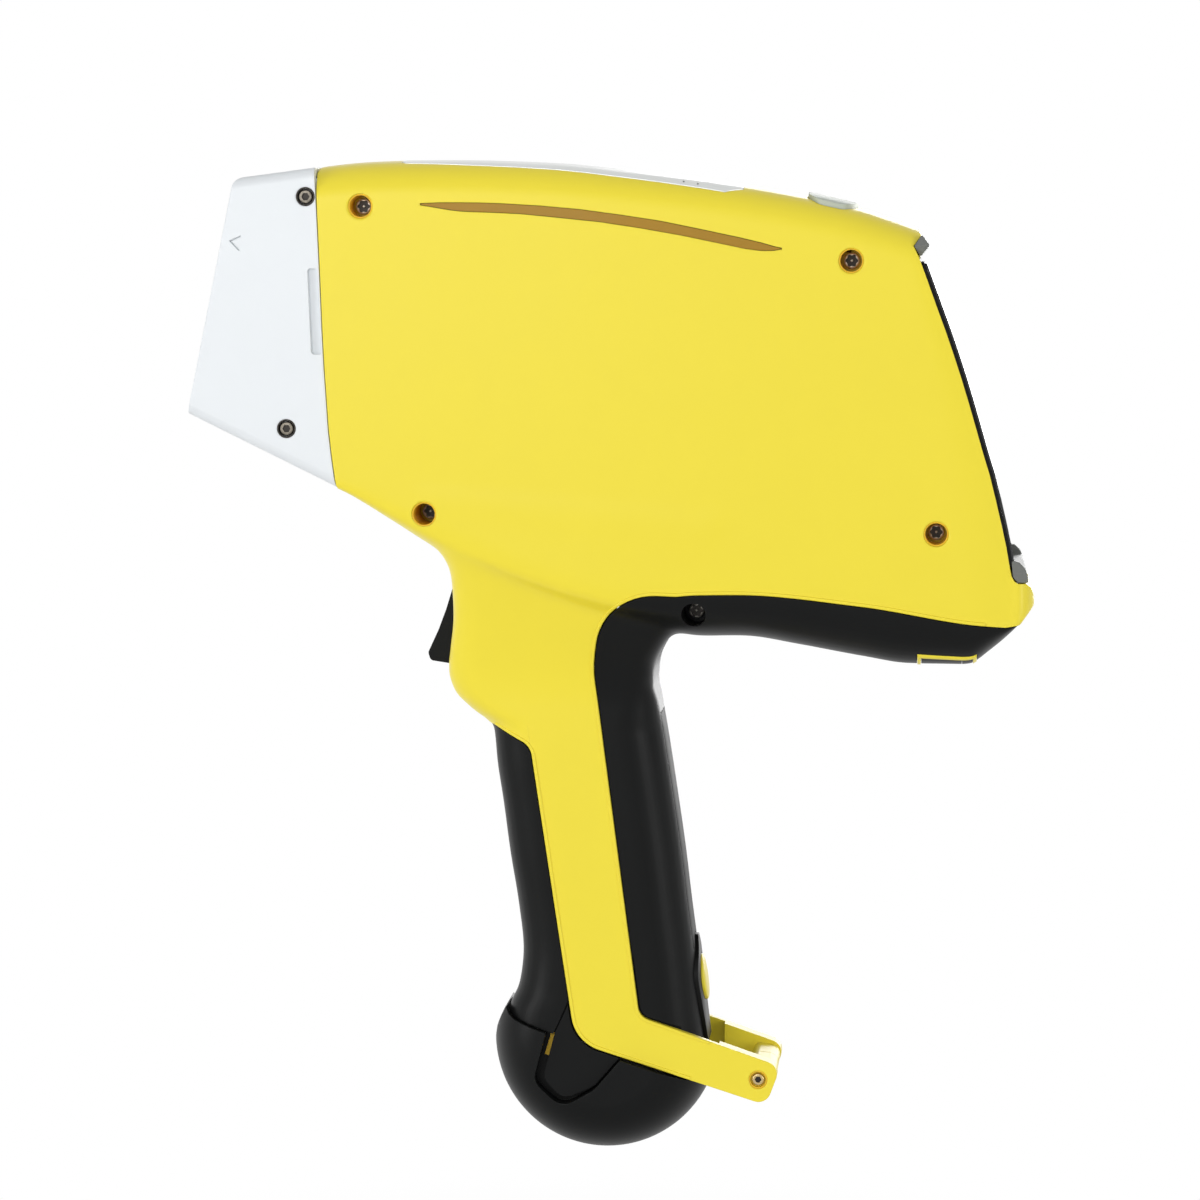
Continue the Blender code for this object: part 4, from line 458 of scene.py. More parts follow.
def feed(tree: Tree, node: Node, inputs: dict[str | int, object]) -> Node:
    """Fill a node's inputs with plain values and with links.

    Args:
        tree: Tree of the node.
        node: The node.
        inputs: Value or output socket for each input, by its name or number.

    Returns:
        The node.
    """
    for key, value in inputs.items():
        if isinstance(value, Socket):
            tree.links.new(value, node.inputs[key])
        else:
            node.inputs[key].default_value = value
    return node


def add_node(tree: Tree, kind: str, inputs: dict[str | int, object], operation: str = "") -> Node:
    """Add a shader node and fill its inputs.

    Args:
        tree: Tree to build in.
        kind: Type of the node.
        inputs: Value or output socket for each input.
        operation: Operation of a math node.

    Returns:
        The node.
    """
    node = tree.nodes.new(kind)
    if operation:
        node.operation = operation
    return feed(tree, node, inputs)


def soft_normal(tree: Tree, radius: float | Socket, samples: int) -> Socket:
    """Normal that is rounded near the edges.

    Args:
        tree: Tree to build in.
        radius: Reach of the rounding.
        samples: Rays for each point.

    Returns:
        The socket with the normal.
    """
    bevel = add_node(tree, "ShaderNodeBevel", {"Radius": radius})
    bevel.samples = samples
    return bevel.outputs[0]


def own_place(tree: Tree) -> Socket:
    """Place on the piece, in the piece's own axes."""
    return add_node(tree, "ShaderNodeTexCoord", {}).outputs["Object"]


def noise(tree: Tree, vector: Socket, scale: float | Socket, detail: float) -> Socket:
    """Noise of a scale, in waves per metre, and of some octaves."""
    inputs = {"Vector": vector, "Scale": scale, "Detail": detail}
    return add_node(tree, "ShaderNodeTexNoise", inputs).outputs[0]


class Effects:
    """Shader node groups that several finishes share, each built once."""

    @staticmethod
    def group(name: str, inputs: dict[str, float], outputs: Sequence[str], wire: Callable) -> Tree:
        """Find a node group, or build it the first time it is asked for.

        Args:
            name: Name of the group.
            inputs: Number inputs with their defaults.
            outputs: Number outputs.
            wire: Adds the nodes to the tree and gives the sockets for the outputs.

        Returns:
            The group.
        """
        found = bpy.data.node_groups.get(name)
        if found:
            return found
        tree = bpy.data.node_groups.new(name, "ShaderNodeTree")
        for label, value in inputs.items():
            socket = tree.interface.new_socket(label, in_out="INPUT", socket_type="NodeSocketFloat")
            socket.default_value = value
        for label in outputs:
            tree.interface.new_socket(label, in_out="OUTPUT", socket_type="NodeSocketFloat")
        given = tree.nodes.new("NodeGroupInput").outputs
        add_node(tree, "NodeGroupOutput", dict(zip(outputs, wire(tree, given))))
        return tree

    @staticmethod
    def placed(tree: Tree, group: Tree, inputs: dict[str, float]) -> Node:
        """Place a node group in a material.

        Args:
            tree: The material's nodes.
            group: The group.
            inputs: Its values there.

        Returns:
            The node of the group.
        """
        node = tree.nodes.new("ShaderNodeGroup")
        node.node_tree = group
        return feed(tree, node, inputs)

    @staticmethod
    def wire_grain(tree: Tree, given: bpy.types.NodeOutputs) -> tuple[Socket, ...]:
        """Nodes of the moulding grain, which give its fine height and slow shade."""
        place = own_place(tree)
        return noise(tree, place, given["Scale"], 2.0), noise(tree, place, given["Mottle Scale"], 3.0)

    @staticmethod
    def wire_wear(tree: Tree, given: bpy.types.NodeOutputs) -> tuple[Socket, ...]:
        """Nodes of the edge wear: the turn of the normal at an edge, broken up by noise.

        Args:
            tree: Tree of the group.
            given: The group's inputs.

        Returns:
            The mask.
        """
        soft = soft_normal(tree, given["Radius"], 4)
        flat = add_node(tree, "ShaderNodeNewGeometry", {}).outputs["True Normal"]
        dot = add_node(tree, "ShaderNodeVectorMath", {0: soft, 1: flat}, "DOT_PRODUCT").outputs["Value"]
        turned = add_node(tree, "ShaderNodeMapRange", {"Value": dot, "From Min": 0.99, "From Max": 0.80})
        broken = noise(tree, own_place(tree), given["Breakup"], 4.0)
        sharper = add_node(tree, "ShaderNodeMapRange", {"Value": broken, "From Min": 0.45, "From Max": 0.70})
        product = add_node(tree, "ShaderNodeMath", {0: turned.outputs[0], 1: sharper.outputs[0]}, "MULTIPLY")
        return (product.outputs[0],)

    @classmethod
    def grain(cls) -> Tree:
        """Moulding grain: a fine height, and a slow shade from 0 to 1."""
        inputs = {"Scale": 2600.0, "Mottle Scale": 40.0}
        return cls.group("moulding_grain", inputs, ("Height", "Shade"), cls.wire_grain)

    @classmethod
    def edge_wear(cls) -> Tree:
        """Mask that is 1 on worn edges, broken up by noise."""
        return cls.group("edge_wear", {"Radius": 0.0006, "Breakup": 900.0}, ("Mask",), cls.wire_wear)


@dataclass(frozen=True)
class Finish:
    """Moulded or painted surface with grain, slow shade changes, soft edges and edge wear."""

    name: str
    colour: Triple
    roughness: float
    metallic: float = 0.0
    specular: float = 0.5
    shade: float = 0.04
    roughness_spread: float = 0.05
    grain_scale: float = 2600.0
    grain_depth: float = 0.000008
    worn: Triple = (0.5, 0.5, 0.5)
    wear: float = 0.15
    edge: float = 0.00035
    coat: float = 0.0
    ior: float = 1.46
    stretch: Triple = (1.0, 1.0, 1.0)

    def material(self) -> bpy.types.Material:
        """The material of this finish, built the first time it is asked for.

        Returns:
            The material.
        """
        made = bpy.data.materials.get(self.name)
        if not made:
            made = bpy.data.materials.new(self.name)
            made.use_nodes = True
            self.dress(made.node_tree, made.node_tree.nodes["Principled BSDF"])
        return made

    def dress(self, tree: Tree, shader: Node) -> None:
        """Wire colour, roughness and normal.

        Args:
            tree: The material's nodes.
            shader: Its Principled shader.
        """
        grain = Effects.placed(tree, Effects.grain(), {"Scale": self.grain_scale})
        wear = Effects.placed(tree, Effects.edge_wear(), {})
        shade = grain.outputs["Shade"]
        base = self.mixed(tree, shade, self.shaded(1 - self.shade), self.shaded(1 + self.shade))
        mask = add_node(tree, "ShaderNodeMath", {0: wear.outputs["Mask"], 1: self.wear}, "MULTIPLY")
        rough = add_node(tree, "ShaderNodeMapRange", {
            "Value": shade, "To Min": max(0.02, self.roughness - self.roughness_spread),
            "To Max": self.roughness + self.roughness_spread,
        })
        bump = add_node(tree, "ShaderNodeBump", {
            "Distance": self.grain_depth, "Height": self.height(tree, grain),
            "Normal": soft_normal(tree, self.edge, 6),
        })
        feed(tree, shader, {
            "Base Color": self.mixed(tree, mask.outputs[0], base, (*self.worn, 1.0)),
            "Metallic": self.metallic, "Roughness": rough.outputs[0], "IOR": self.ior,
            "Specular IOR Level": self.specular, "Coat Weight": self.coat, "Normal": bump.outputs[0],
        })

    def height(self, tree: Tree, grain: Node) -> Socket:
        """Height that the bump follows; here the moulding grain."""
        return grain.outputs["Height"]

    def shaded(self, share: float) -> tuple[float, ...]:
        """The colour made lighter or darker by a share."""
        return (*(min(1.0, c * share) for c in self.colour), 1.0)

    @staticmethod
    def mixed(tree: Tree, share: Socket, low: object, high: object) -> Socket:
        """Colour mix steered by a varying share.

        Args:
            tree: Tree to build in.
            share: Socket with the share of the second colour.
            low: First colour or socket.
            high: Second colour or socket.

        Returns:
            The socket with the mixed colour.
        """
        node = tree.nodes.new("ShaderNodeMix")
        node.data_type = "RGBA"
        return feed(tree, node, {"Factor": share, 6: low, 7: high}).outputs[2]


@dataclass(frozen=True)
class BrushedFinish(Finish):
    """Metal with fine brush lines along one axis."""

    def height(self, tree: Tree, grain: Node) -> Socket:
        """Height of the brush lines, a noise stretched along one axis."""
        mapping = add_node(tree, "ShaderNodeMapping", {"Vector": own_place(tree), "Scale": self.stretch})
        return noise(tree, mapping.outputs[0], self.grain_scale, 3.0)


@dataclass(frozen=True)
class BoardFinish(Finish):
    """Circuit board lacquer over a pattern of copper tracks."""

    def height(self, tree: Tree, grain: Node) -> Socket:
        """Height of the tracks, from brick rows turned on end.

        Args:
            tree: The material's nodes.
            grain: The moulding grain; not used, as the tracks replace it.

        Returns:
            The socket with the height.
        """
        upright = (math.pi / 2, 0.0, 0.0)
        turned = add_node(tree, "ShaderNodeMapping", {"Vector": own_place(tree), "Rotation": upright})
        tracks = {"Vector": turned.outputs[0], "Scale": 180.0, "Mortar Size": 0.03}
        return add_node(tree, "ShaderNodeTexBrick", tracks).outputs["Fac"]


YELLOW = Finish(
    "yellow_moulding", srgb(243, 224, 60), 0.33, specular=0.4, shade=0.012, roughness_spread=0.03,
    grain_scale=3200.0, grain_depth=0.000004, worn=srgb(250, 236, 110), wear=0.25, edge=0.0004,
)
BLACK = Finish(
    "black_moulding", srgb(15, 16, 16), 0.38, specular=0.14, shade=0.10,
    grain_scale=2400.0, grain_depth=0.000010, worn=srgb(70, 72, 74), wear=0.35, edge=0.0004,
)
SOFT_BLACK = Finish(
    "soft_black", srgb(18, 19, 19), 0.52, specular=0.12, shade=0.12, grain_scale=1500.0,
    grain_depth=0.000020, worn=srgb(60, 61, 62), wear=0.3, edge=0.0004,
)
SILVER = Finish(
    "silver_coat", srgb(229, 233, 236), 0.40, metallic=0.08, specular=0.3, shade=0.015, grain_scale=5200.0,
    grain_depth=0.000010, worn=srgb(190, 194, 198), wear=0.35, edge=0.0004,
)
BRUSHED = BrushedFinish(
    "brushed_metal", srgb(212, 214, 212), 0.30, metallic=0.8, grain_scale=1800.0,
    grain_depth=0.000012, worn=srgb(235, 236, 238), wear=0.4, stretch=(0.02, 1.0, 1.0),
)
AMBER = Finish(
    "amber_lens", srgb(168, 128, 40), 0.30, specular=0.2, shade=0.06, grain_depth=0.000003,
    worn=srgb(205, 160, 90), wear=0.2, coat=0.05, edge=0.0003,
)
GREY = Finish(
    "grey_moulding", srgb(112, 114, 110), 0.42, specular=0.4, shade=0.05, grain_scale=2200.0,
    grain_depth=0.000010, worn=srgb(165, 170, 166), wear=0.3,
)
BUTTON_GREY = Finish(
    "button_moulding", srgb(188, 196, 184), 0.45, specular=0.4, shade=0.03,
    worn=srgb(225, 230, 224), wear=0.3,
)
GLASS = Finish(
    "cover_glass", srgb(12, 13, 15), 0.06, shade=0.05, roughness_spread=0.02,
    grain_scale=60.0, grain_depth=0.000001, worn=srgb(60, 62, 66), wear=0.2, coat=0.3, edge=0.0003,
)
SCREEN = Finish(
    "screen_area", srgb(24, 28, 33), 0.12, shade=0.06, roughness_spread=0.02,
    grain_scale=80.0, grain_depth=0.000001, worn=srgb(60, 62, 66), wear=0.1, coat=0.3, edge=0.0002,
)
STEEL = Finish(
    "screw_steel", srgb(214, 208, 198), 0.30, metallic=0.6, shade=0.10, grain_scale=1800.0,
    grain_depth=0.000010, worn=srgb(220, 218, 212), wear=0.6, edge=0.0002,
)
DARK_STEEL = Finish(
    "dark_steel", srgb(112, 106, 96), 0.32, metallic=0.9, shade=0.12, grain_scale=1800.0,
    grain_depth=0.000010, worn=srgb(190, 184, 172), wear=0.6, edge=0.0002,
)
# Painted light: a warm orange-yellow that stands in for shade and light bouncing inside yellow recesses, used
# in the screw recesses and for a glint in the foot's notch.
BOUNCE_YELLOW = Finish(
    "bounce_yellow", srgb(246, 200, 52), 0.40, specular=0.3, grain_depth=0.000004,
    worn=srgb(240, 190, 60), wear=0.2, edge=0.0002,
)
# Painted shade: a dark finish for discs and cups put in screw sockets and nose screw holes, where only shade
# darkens them.
SHADE_BLACK = Finish(
    "shade_black", srgb(44, 40, 36), 0.34, metallic=0.6, shade=0.10, grain_depth=0.000006,
    worn=srgb(120, 112, 100), wear=0.5, edge=0.0002,
)
BRASS_TINT = Finish(
    "plated_screw", srgb(190, 168, 120), 0.25, metallic=1.0, shade=0.10, grain_depth=0.000006,
    worn=srgb(240, 232, 210), wear=0.5, edge=0.0002,
)
ALUMINIUM = BrushedFinish(
    "machined_aluminium", srgb(190, 192, 194), 0.34, metallic=1.0, shade=0.06, grain_scale=2600.0,
    grain_depth=0.000010, worn=srgb(225, 226, 228), wear=0.4, stretch=(1.0, 1.0, 0.03),
)
BOARD = BoardFinish(
    "board_lacquer", srgb(38, 104, 62), 0.35, shade=0.10, grain_depth=0.000030,
    worn=srgb(120, 170, 130), wear=0.2,
)
FILM = Finish(
    "window_film", srgb(176, 128, 52), 0.12, shade=0.08, grain_scale=400.0,
    grain_depth=0.000004, worn=srgb(200, 160, 90), wear=0.1, coat=0.3,
)
COPPER = Finish(
    "copper_contact", srgb(206, 150, 104), 0.26, metallic=1.0, shade=0.10,
    worn=srgb(240, 205, 170), wear=0.5, edge=0.0002,
)


def place_piece(
    piece: Mesh, name: str, finish: Finish, replaces: Sequence[str] = (), sharp: float = 32.0,
    body: Body = Body.INSTRUMENT,
) -> None:
    """Name a finished piece, dress it and tie it to the frame.

    Args:
        piece: The mesh object in its place.
        name: Name of the piece.
        finish: Its finish.
        replaces: CAD nodes that it stands for.
        sharp: Angle in degrees from which an edge shades sharp.
        body: Body that it rides on.
    """
    piece.name = name
    piece.data.materials.clear()
    piece.data.materials.append(finish.material())
    piece.data.shade_smooth()
    piece.data.set_sharp_from_angle(angle=math.radians(sharp))
    even = piece.modifiers.new("even_normals", "WEIGHTED_NORMAL")
    even.keep_sharp = True
    applied(piece).data.name = name
    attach(piece, body.value)
    if replaces:
        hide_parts(*replaces)
    LOG.info("%s: %d faces, rides on %s", name, len(piece.data.polygons), body.value)


# Outer form


JOINT_LINE: tuple[Point, ...] = (
    (-0.0852, 0.2180), (-0.0843, 0.2000), (-0.0835, 0.1818), (-0.0829, 0.1657), (-0.0823, 0.1535),
    (-0.0810, 0.1334), (-0.0801, 0.1253), (-0.0790, 0.1172), (-0.0785, 0.1140),
)


def joint_points(shift: float) -> list[Point]:
    """Line between the nose and the shells from below upwards, carried on past both ends.

    Args:
        shift: How far it is moved along X.

    Returns:
        The line as (x, z).
    """
    past = 0.06
    (tx, tz), (sx, sz) = JOINT_LINE[0], JOINT_LINE[1]
    (bx, bz), (ax, az) = JOINT_LINE[-1], JOINT_LINE[-2]
    low = (bx + (bx - ax) / (bz - az) * -past, bz - past)
    high = (tx + (tx - sx) / (tz - sz) * past, tz + past)
    return [(x + shift, z) for x, z in [low, *JOINT_LINE[::-1], high]]


@dataclass
class OuterForm:
    """Body, neck and grip of the instrument as one smooth form that the mouldings are cut from."""

    half_width: float = 0.0432
    side_bow: float = 0.0005
    edge_radius: float = 0.011
    top_line: tuple[Point, ...] = (
        (-0.0950, 0.2167), (-0.0852, 0.2179), (-0.0720, 0.2192), (-0.0600, 0.21962), (-0.0430, 0.21968),
        (-0.0134, 0.2188), (0.0148, 0.2162), (0.0494, 0.2117), (0.0670, 0.2086), (0.0874, 0.2040),
        (0.0964, 0.2011), (0.1040, 0.1984), (0.1432, 0.1835),
    )
    crown: float = 0.0010
    body_front: float = -0.095
    body_rear: float = 0.1432
    voxel: float = 0.0010
    grip_half_width: float = 0.0215
    neck_wide: float = 0.104
    neck_narrow: float = 0.044
    grip_top: float = 0.0352
    neck_corner: float = 0.0075
    grip_corner: float = 0.015
    side_edge: tuple[Point, ...] = (
        (-0.095, 0.1236), (0.019, 0.0800), (0.036, 0.0816), (0.050, 0.0818),
        (0.088, 0.0784), (0.1275, 0.0724), (0.1432, 0.0716),
    )
    belly: tuple[Point, ...] = (
        (-0.095, 0.1202), (-0.079, 0.1148), (-0.061, 0.1034), (-0.0484, 0.0945), (-0.030, 0.0870),
        (0.024, 0.0690), (0.036, 0.0662), (0.050, 0.0665), (0.068, 0.0640), (0.088, 0.0606),
        (0.104, 0.0584), (0.122, 0.0584), (0.130, 0.0636), (0.1365, 0.0697), (0.1432, 0.0785),
    )
    belly_flat: tuple[Point, ...] = (
        (-0.095, 0.0400), (-0.079, 0.0390), (-0.061, 0.0300), (-0.048, 0.0200),
        (0.036, 0.0200), (0.104, 0.0250), (0.130, 0.0270), (0.1432, 0.0340),
    )
    front_line: tuple[Point, ...] = (
        (-0.0600, 0.1160), (-0.0482, 0.0965), (-0.0440, 0.0860), (-0.0440, 0.0740),
        (-0.0452, 0.0640), (-0.0464, 0.0545), (-0.0448, 0.0475), (-0.0395, 0.0415),
        (-0.0328, 0.0352), (-0.0316, 0.0235), (-0.0296, 0.0103), (-0.0274, -0.0063),
        (-0.0247, -0.0229), (-0.0231, -0.0380), (-0.0244, -0.0496), (-0.0276, -0.0575),
        (-0.0290, -0.0700), (-0.0290, -0.0860),
    )
    rear_line: tuple[Point, ...] = (
        (0.0520, 0.1060), (0.0400, 0.0840), (0.0300, 0.0705), (0.0240, 0.0620),
        (0.0213, 0.0560), (0.0210, 0.0500), (0.0222, 0.0450), (0.0232, 0.0400),
        (0.0242, 0.0352), (0.0261, 0.0235), (0.0281, 0.0103), (0.0305, -0.0063),
        (0.0325, -0.0229), (0.0345, -0.0380), (0.0358, -0.0496), (0.0367, -0.0575),
        (0.0382, -0.0700), (0.0400, -0.0860),
    )
    display_edge: tuple[Point, ...] = (
        (0.1061, 0.1880), (0.1090, 0.1802), (0.1117, 0.1727), (0.1145, 0.1652), (0.1171, 0.1577),
        (0.1196, 0.1501), (0.1219, 0.1426), (0.1241, 0.1351), (0.1263, 0.1275), (0.1286, 0.1200),
        (0.1305, 0.1125), (0.1323, 0.1049), (0.1340, 0.0973), (0.1352, 0.0905),
    )
    lip_radius: float = 0.0100
    lip_top: float = 0.100
    bow_middle: float = 0.145
    bow_reach: float = 0.060
    turn_share: float = 0.10
    turn_least: float = 0.0030
    turn_more: float = 0.0130
    turn_span: float = 0.097
    turn_floor: float = 0.056
    turned_from: float = 0.080
    still_band: float = 0.004
    neck_fade: float = 0.012
    blend_z: Point = (0.085, 0.034)
    blend_x: Point = (0.075, 0.030)
    base: Optional[Mesh] = field(default=None, repr=False)

    def narrowed(self, x: float, z: float) -> float:
        """How far the side turns in towards the display's edge and the rear lip.

        Args:
            x: Place along the body.
            z: Height.

        Returns:
            The distance that the side moves inwards there.
        """
        if z < self.turn_floor:
            return 0.0
        high = self.display_edge[0][1]
        edge_z = min(max(z, self.display_edge[-1][1]), high)
        ahead = self.display_at.at(-edge_z) - x
        width = self.turn_least + self.turn_more * (high - edge_z) / self.turn_span
        inward = self.turn_share * width * max(0.0, 1.0 - max(ahead, 0.0) / width) ** 2
        past = max(0.0, x - (self.body_rear - self.lip_radius))
        if past and z < self.lip_top:
            inward = max(inward, self.lip_radius - math.sqrt(max(0.0, self.lip_radius ** 2 - past ** 2)))
        return inward

    def bow(self, z: float) -> float:
        """How far the body's gently bowed side lies inwards at a height."""
        return self.side_bow * ((z - self.bow_middle) / self.bow_reach) ** 2

    def body_ring(self, x: float, inset: float, steps: int) -> list[Triple]:
        """Section of the body at x.

        Args:
            x: Place along the body.
            inset: How far the section lies inside the skin.
            steps: Points on each rounded corner.

        Returns:
            The closed section.
        """
        top = self.top_at.at(x) - inset
        side = self.half_width - inset
        radius = self.edge_radius - inset
        low = self.belly_at.at(x) + inset
        edge = max(self.edge_at.at(x), low + 0.001)
        flat = self.flat_at.at(x) - inset
        shoulder = side - radius
        half = [(shoulder * k / 6, top - self.crown * (k / 6) ** 2) for k in range(6)]
        for k in range(steps + 1):
            angle = math.pi / 2 * (1 - k / steps)
            drop_z = radius * (1 - math.sin(angle))
            half.append((shoulder + radius * math.cos(angle), top - self.crown - drop_z))
        half += [(side, float(z)) for z in np.linspace(top - self.crown - radius, edge, 9)[1:-1]]
        for k in range(steps + 1):
            angle = math.pi / 2 * k / steps
            half.append((flat + (side - flat) * math.cos(angle), edge - (edge - low) * math.sin(angle)))
        half.append((0.0, low))
        bowed = [(max(0.0, y - self.bow(z) * (y / side)), z) for y, z in half]
        return [(x, y, z) for y, z in bowed] + [(x, -y, z) for y, z in reversed(bowed[1:-1])]

    def handle_ring(self, front: Point, rear: Point, inset: float, steps: int) -> list[Triple]:
        """Rounded section between a front and a rear point of the side view.

        Args:
            front: Point of the front line.
            rear: Point of the rear line.
            inset: How far the section lies inside the skin.
            steps: Points on each rounded corner.

        Returns:
            The closed section.
        """
        start = Vector((front[0], 0.0, front[1]))
        along = Vector((rear[0], 0.0, rear[1])) - start
        length = along.length
        along.normalize()
        mean = (front[1] + rear[1]) / 2
        share = min(1.0, max(0.0, (mean - self.neck_narrow) / (self.neck_wide - self.neck_narrow)))
        smooth = share * share * (3 - 2 * share)
        width = self.grip_half_width + (self.half_width - self.grip_half_width) * smooth - inset
        fade = (mean - self.grip_top) / (self.neck_narrow - self.grip_top + self.neck_fade)
        fade = min(1.0, max(0.0, fade))
        radius = self.grip_corner + (self.neck_corner - self.grip_corner) * fade - inset
        ring = []
        corners = (
            (length - inset - radius, width - radius, 0.0), (inset + radius, width - radius, 90.0),
            (inset + radius, radius - width, 180.0), (length - inset - radius, radius - width, 270.0),
        )
        for s, y, first in corners:
            for k in range(steps + 1):
                angle = math.radians(first + 90.0 * k / steps)
                place = start + along * (s + radius * math.cos(angle))
                ring.append((place.x, y + radius * math.sin(angle), place.z))
        return ring

    def handle_rings(self, inset: float, steps: int, between: int) -> list[list[Triple]]:
        """Sections of neck and grip from the body downwards.

        Args:
            inset: How far they lie inside the skin.
            steps: Points on each rounded corner.
            between: Sections from one given point to the next.

        Returns:
            The sections in order.
        """
        index = list(range(len(self.front_line)))
        lines = [
            Profile(index, [p[k] for p in line]) for line in (self.front_line, self.rear_line) for k in (0, 1)
        ]
        rings = []
        for t in np.linspace(0, index[-1], index[-1] * between + 1):
            fx, fz, rx, rz = (line.at(float(t)) for line in lines)
            rings.append(self.handle_ring((fx, fz), (rx, rz), inset, steps))
        return rings

    def build(self) -> Mesh:
        """Make the smooth form: loft, blend body and neck together, and relax the blend.

        Returns:
            The form.
        """
        self.top_at = line_profile(self.top_line)
        self.display_at = line_profile([(-z, x) for x, z in self.display_edge])
        self.edge_at = line_profile(self.side_edge)
        self.belly_at = line_profile(self.belly)
        self.flat_at = line_profile(self.belly_flat)
        stations = np.linspace(self.body_front, self.body_rear, 100)
        form = loft([self.body_ring(float(x), 0.0, 10) for x in stations])
        join(form, loft(self.handle_rings(0.0, 8, 4)))
        remesh = form.modifiers.new("even", "REMESH")
        remesh.mode = "VOXEL"
        remesh.voxel_size = self.voxel
        applied(form)
        everywhere = form.vertex_groups.new(name="everywhere")
        blend = form.vertex_groups.new(name="blend")
        for vertex in form.data.vertices:
            everywhere.add([vertex.index], 1.0, "REPLACE")
            x, y, z = vertex.co
            if abs(y) <= self.still_band:
                continue
            if x > self.turned_from:
                share = self.narrowed(x, z) / self.half_width
                vertex.co.y *= 1.0 - share
            near = max(0.0, 1.0 - abs(z - self.blend_z[0]) / self.blend_z[1])
            near *= min(1.0, max(0.0, (self.blend_x[0] - x) / self.blend_x[1]))
            if near > 0.0:
                blend.add([vertex.index], min(1.0, near * 1.5), "REPLACE")
        for group, times in ((everywhere, 4), (blend, 70)):
            relax = form.modifiers.new("relax", "SMOOTH")
            relax.factor = 0.5
            relax.iterations = times
            relax.vertex_group = group.name
        self.base = applied(form)
        self.base.vertex_groups.clear()
        return self.base

    def skin(self, offset: float = 0.0) -> Mesh:
        """Working copy of the form, moved out or in by a small offset."""
        return grown(self.base, offset) if offset else copied(self.base)

    def cavity(self, inset: float) -> Mesh:
        """Hollow inside the form, open through the joint, the display and the foot.

        Args:
            inset: Thickness of the wall around it.

        Returns:
            The hollow as a solid.
        """
        hollow = loft([self.body_ring(float(x), inset, 5) for x in np.linspace(self.body_front, 0.1359, 40)])
        rings = self.handle_rings(inset, 5, 2)
        rings.append([(x + 0.0015, y, z - 0.012) for x, y, z in rings[-1]])
        return join(hollow, loft(rings))


# Borders


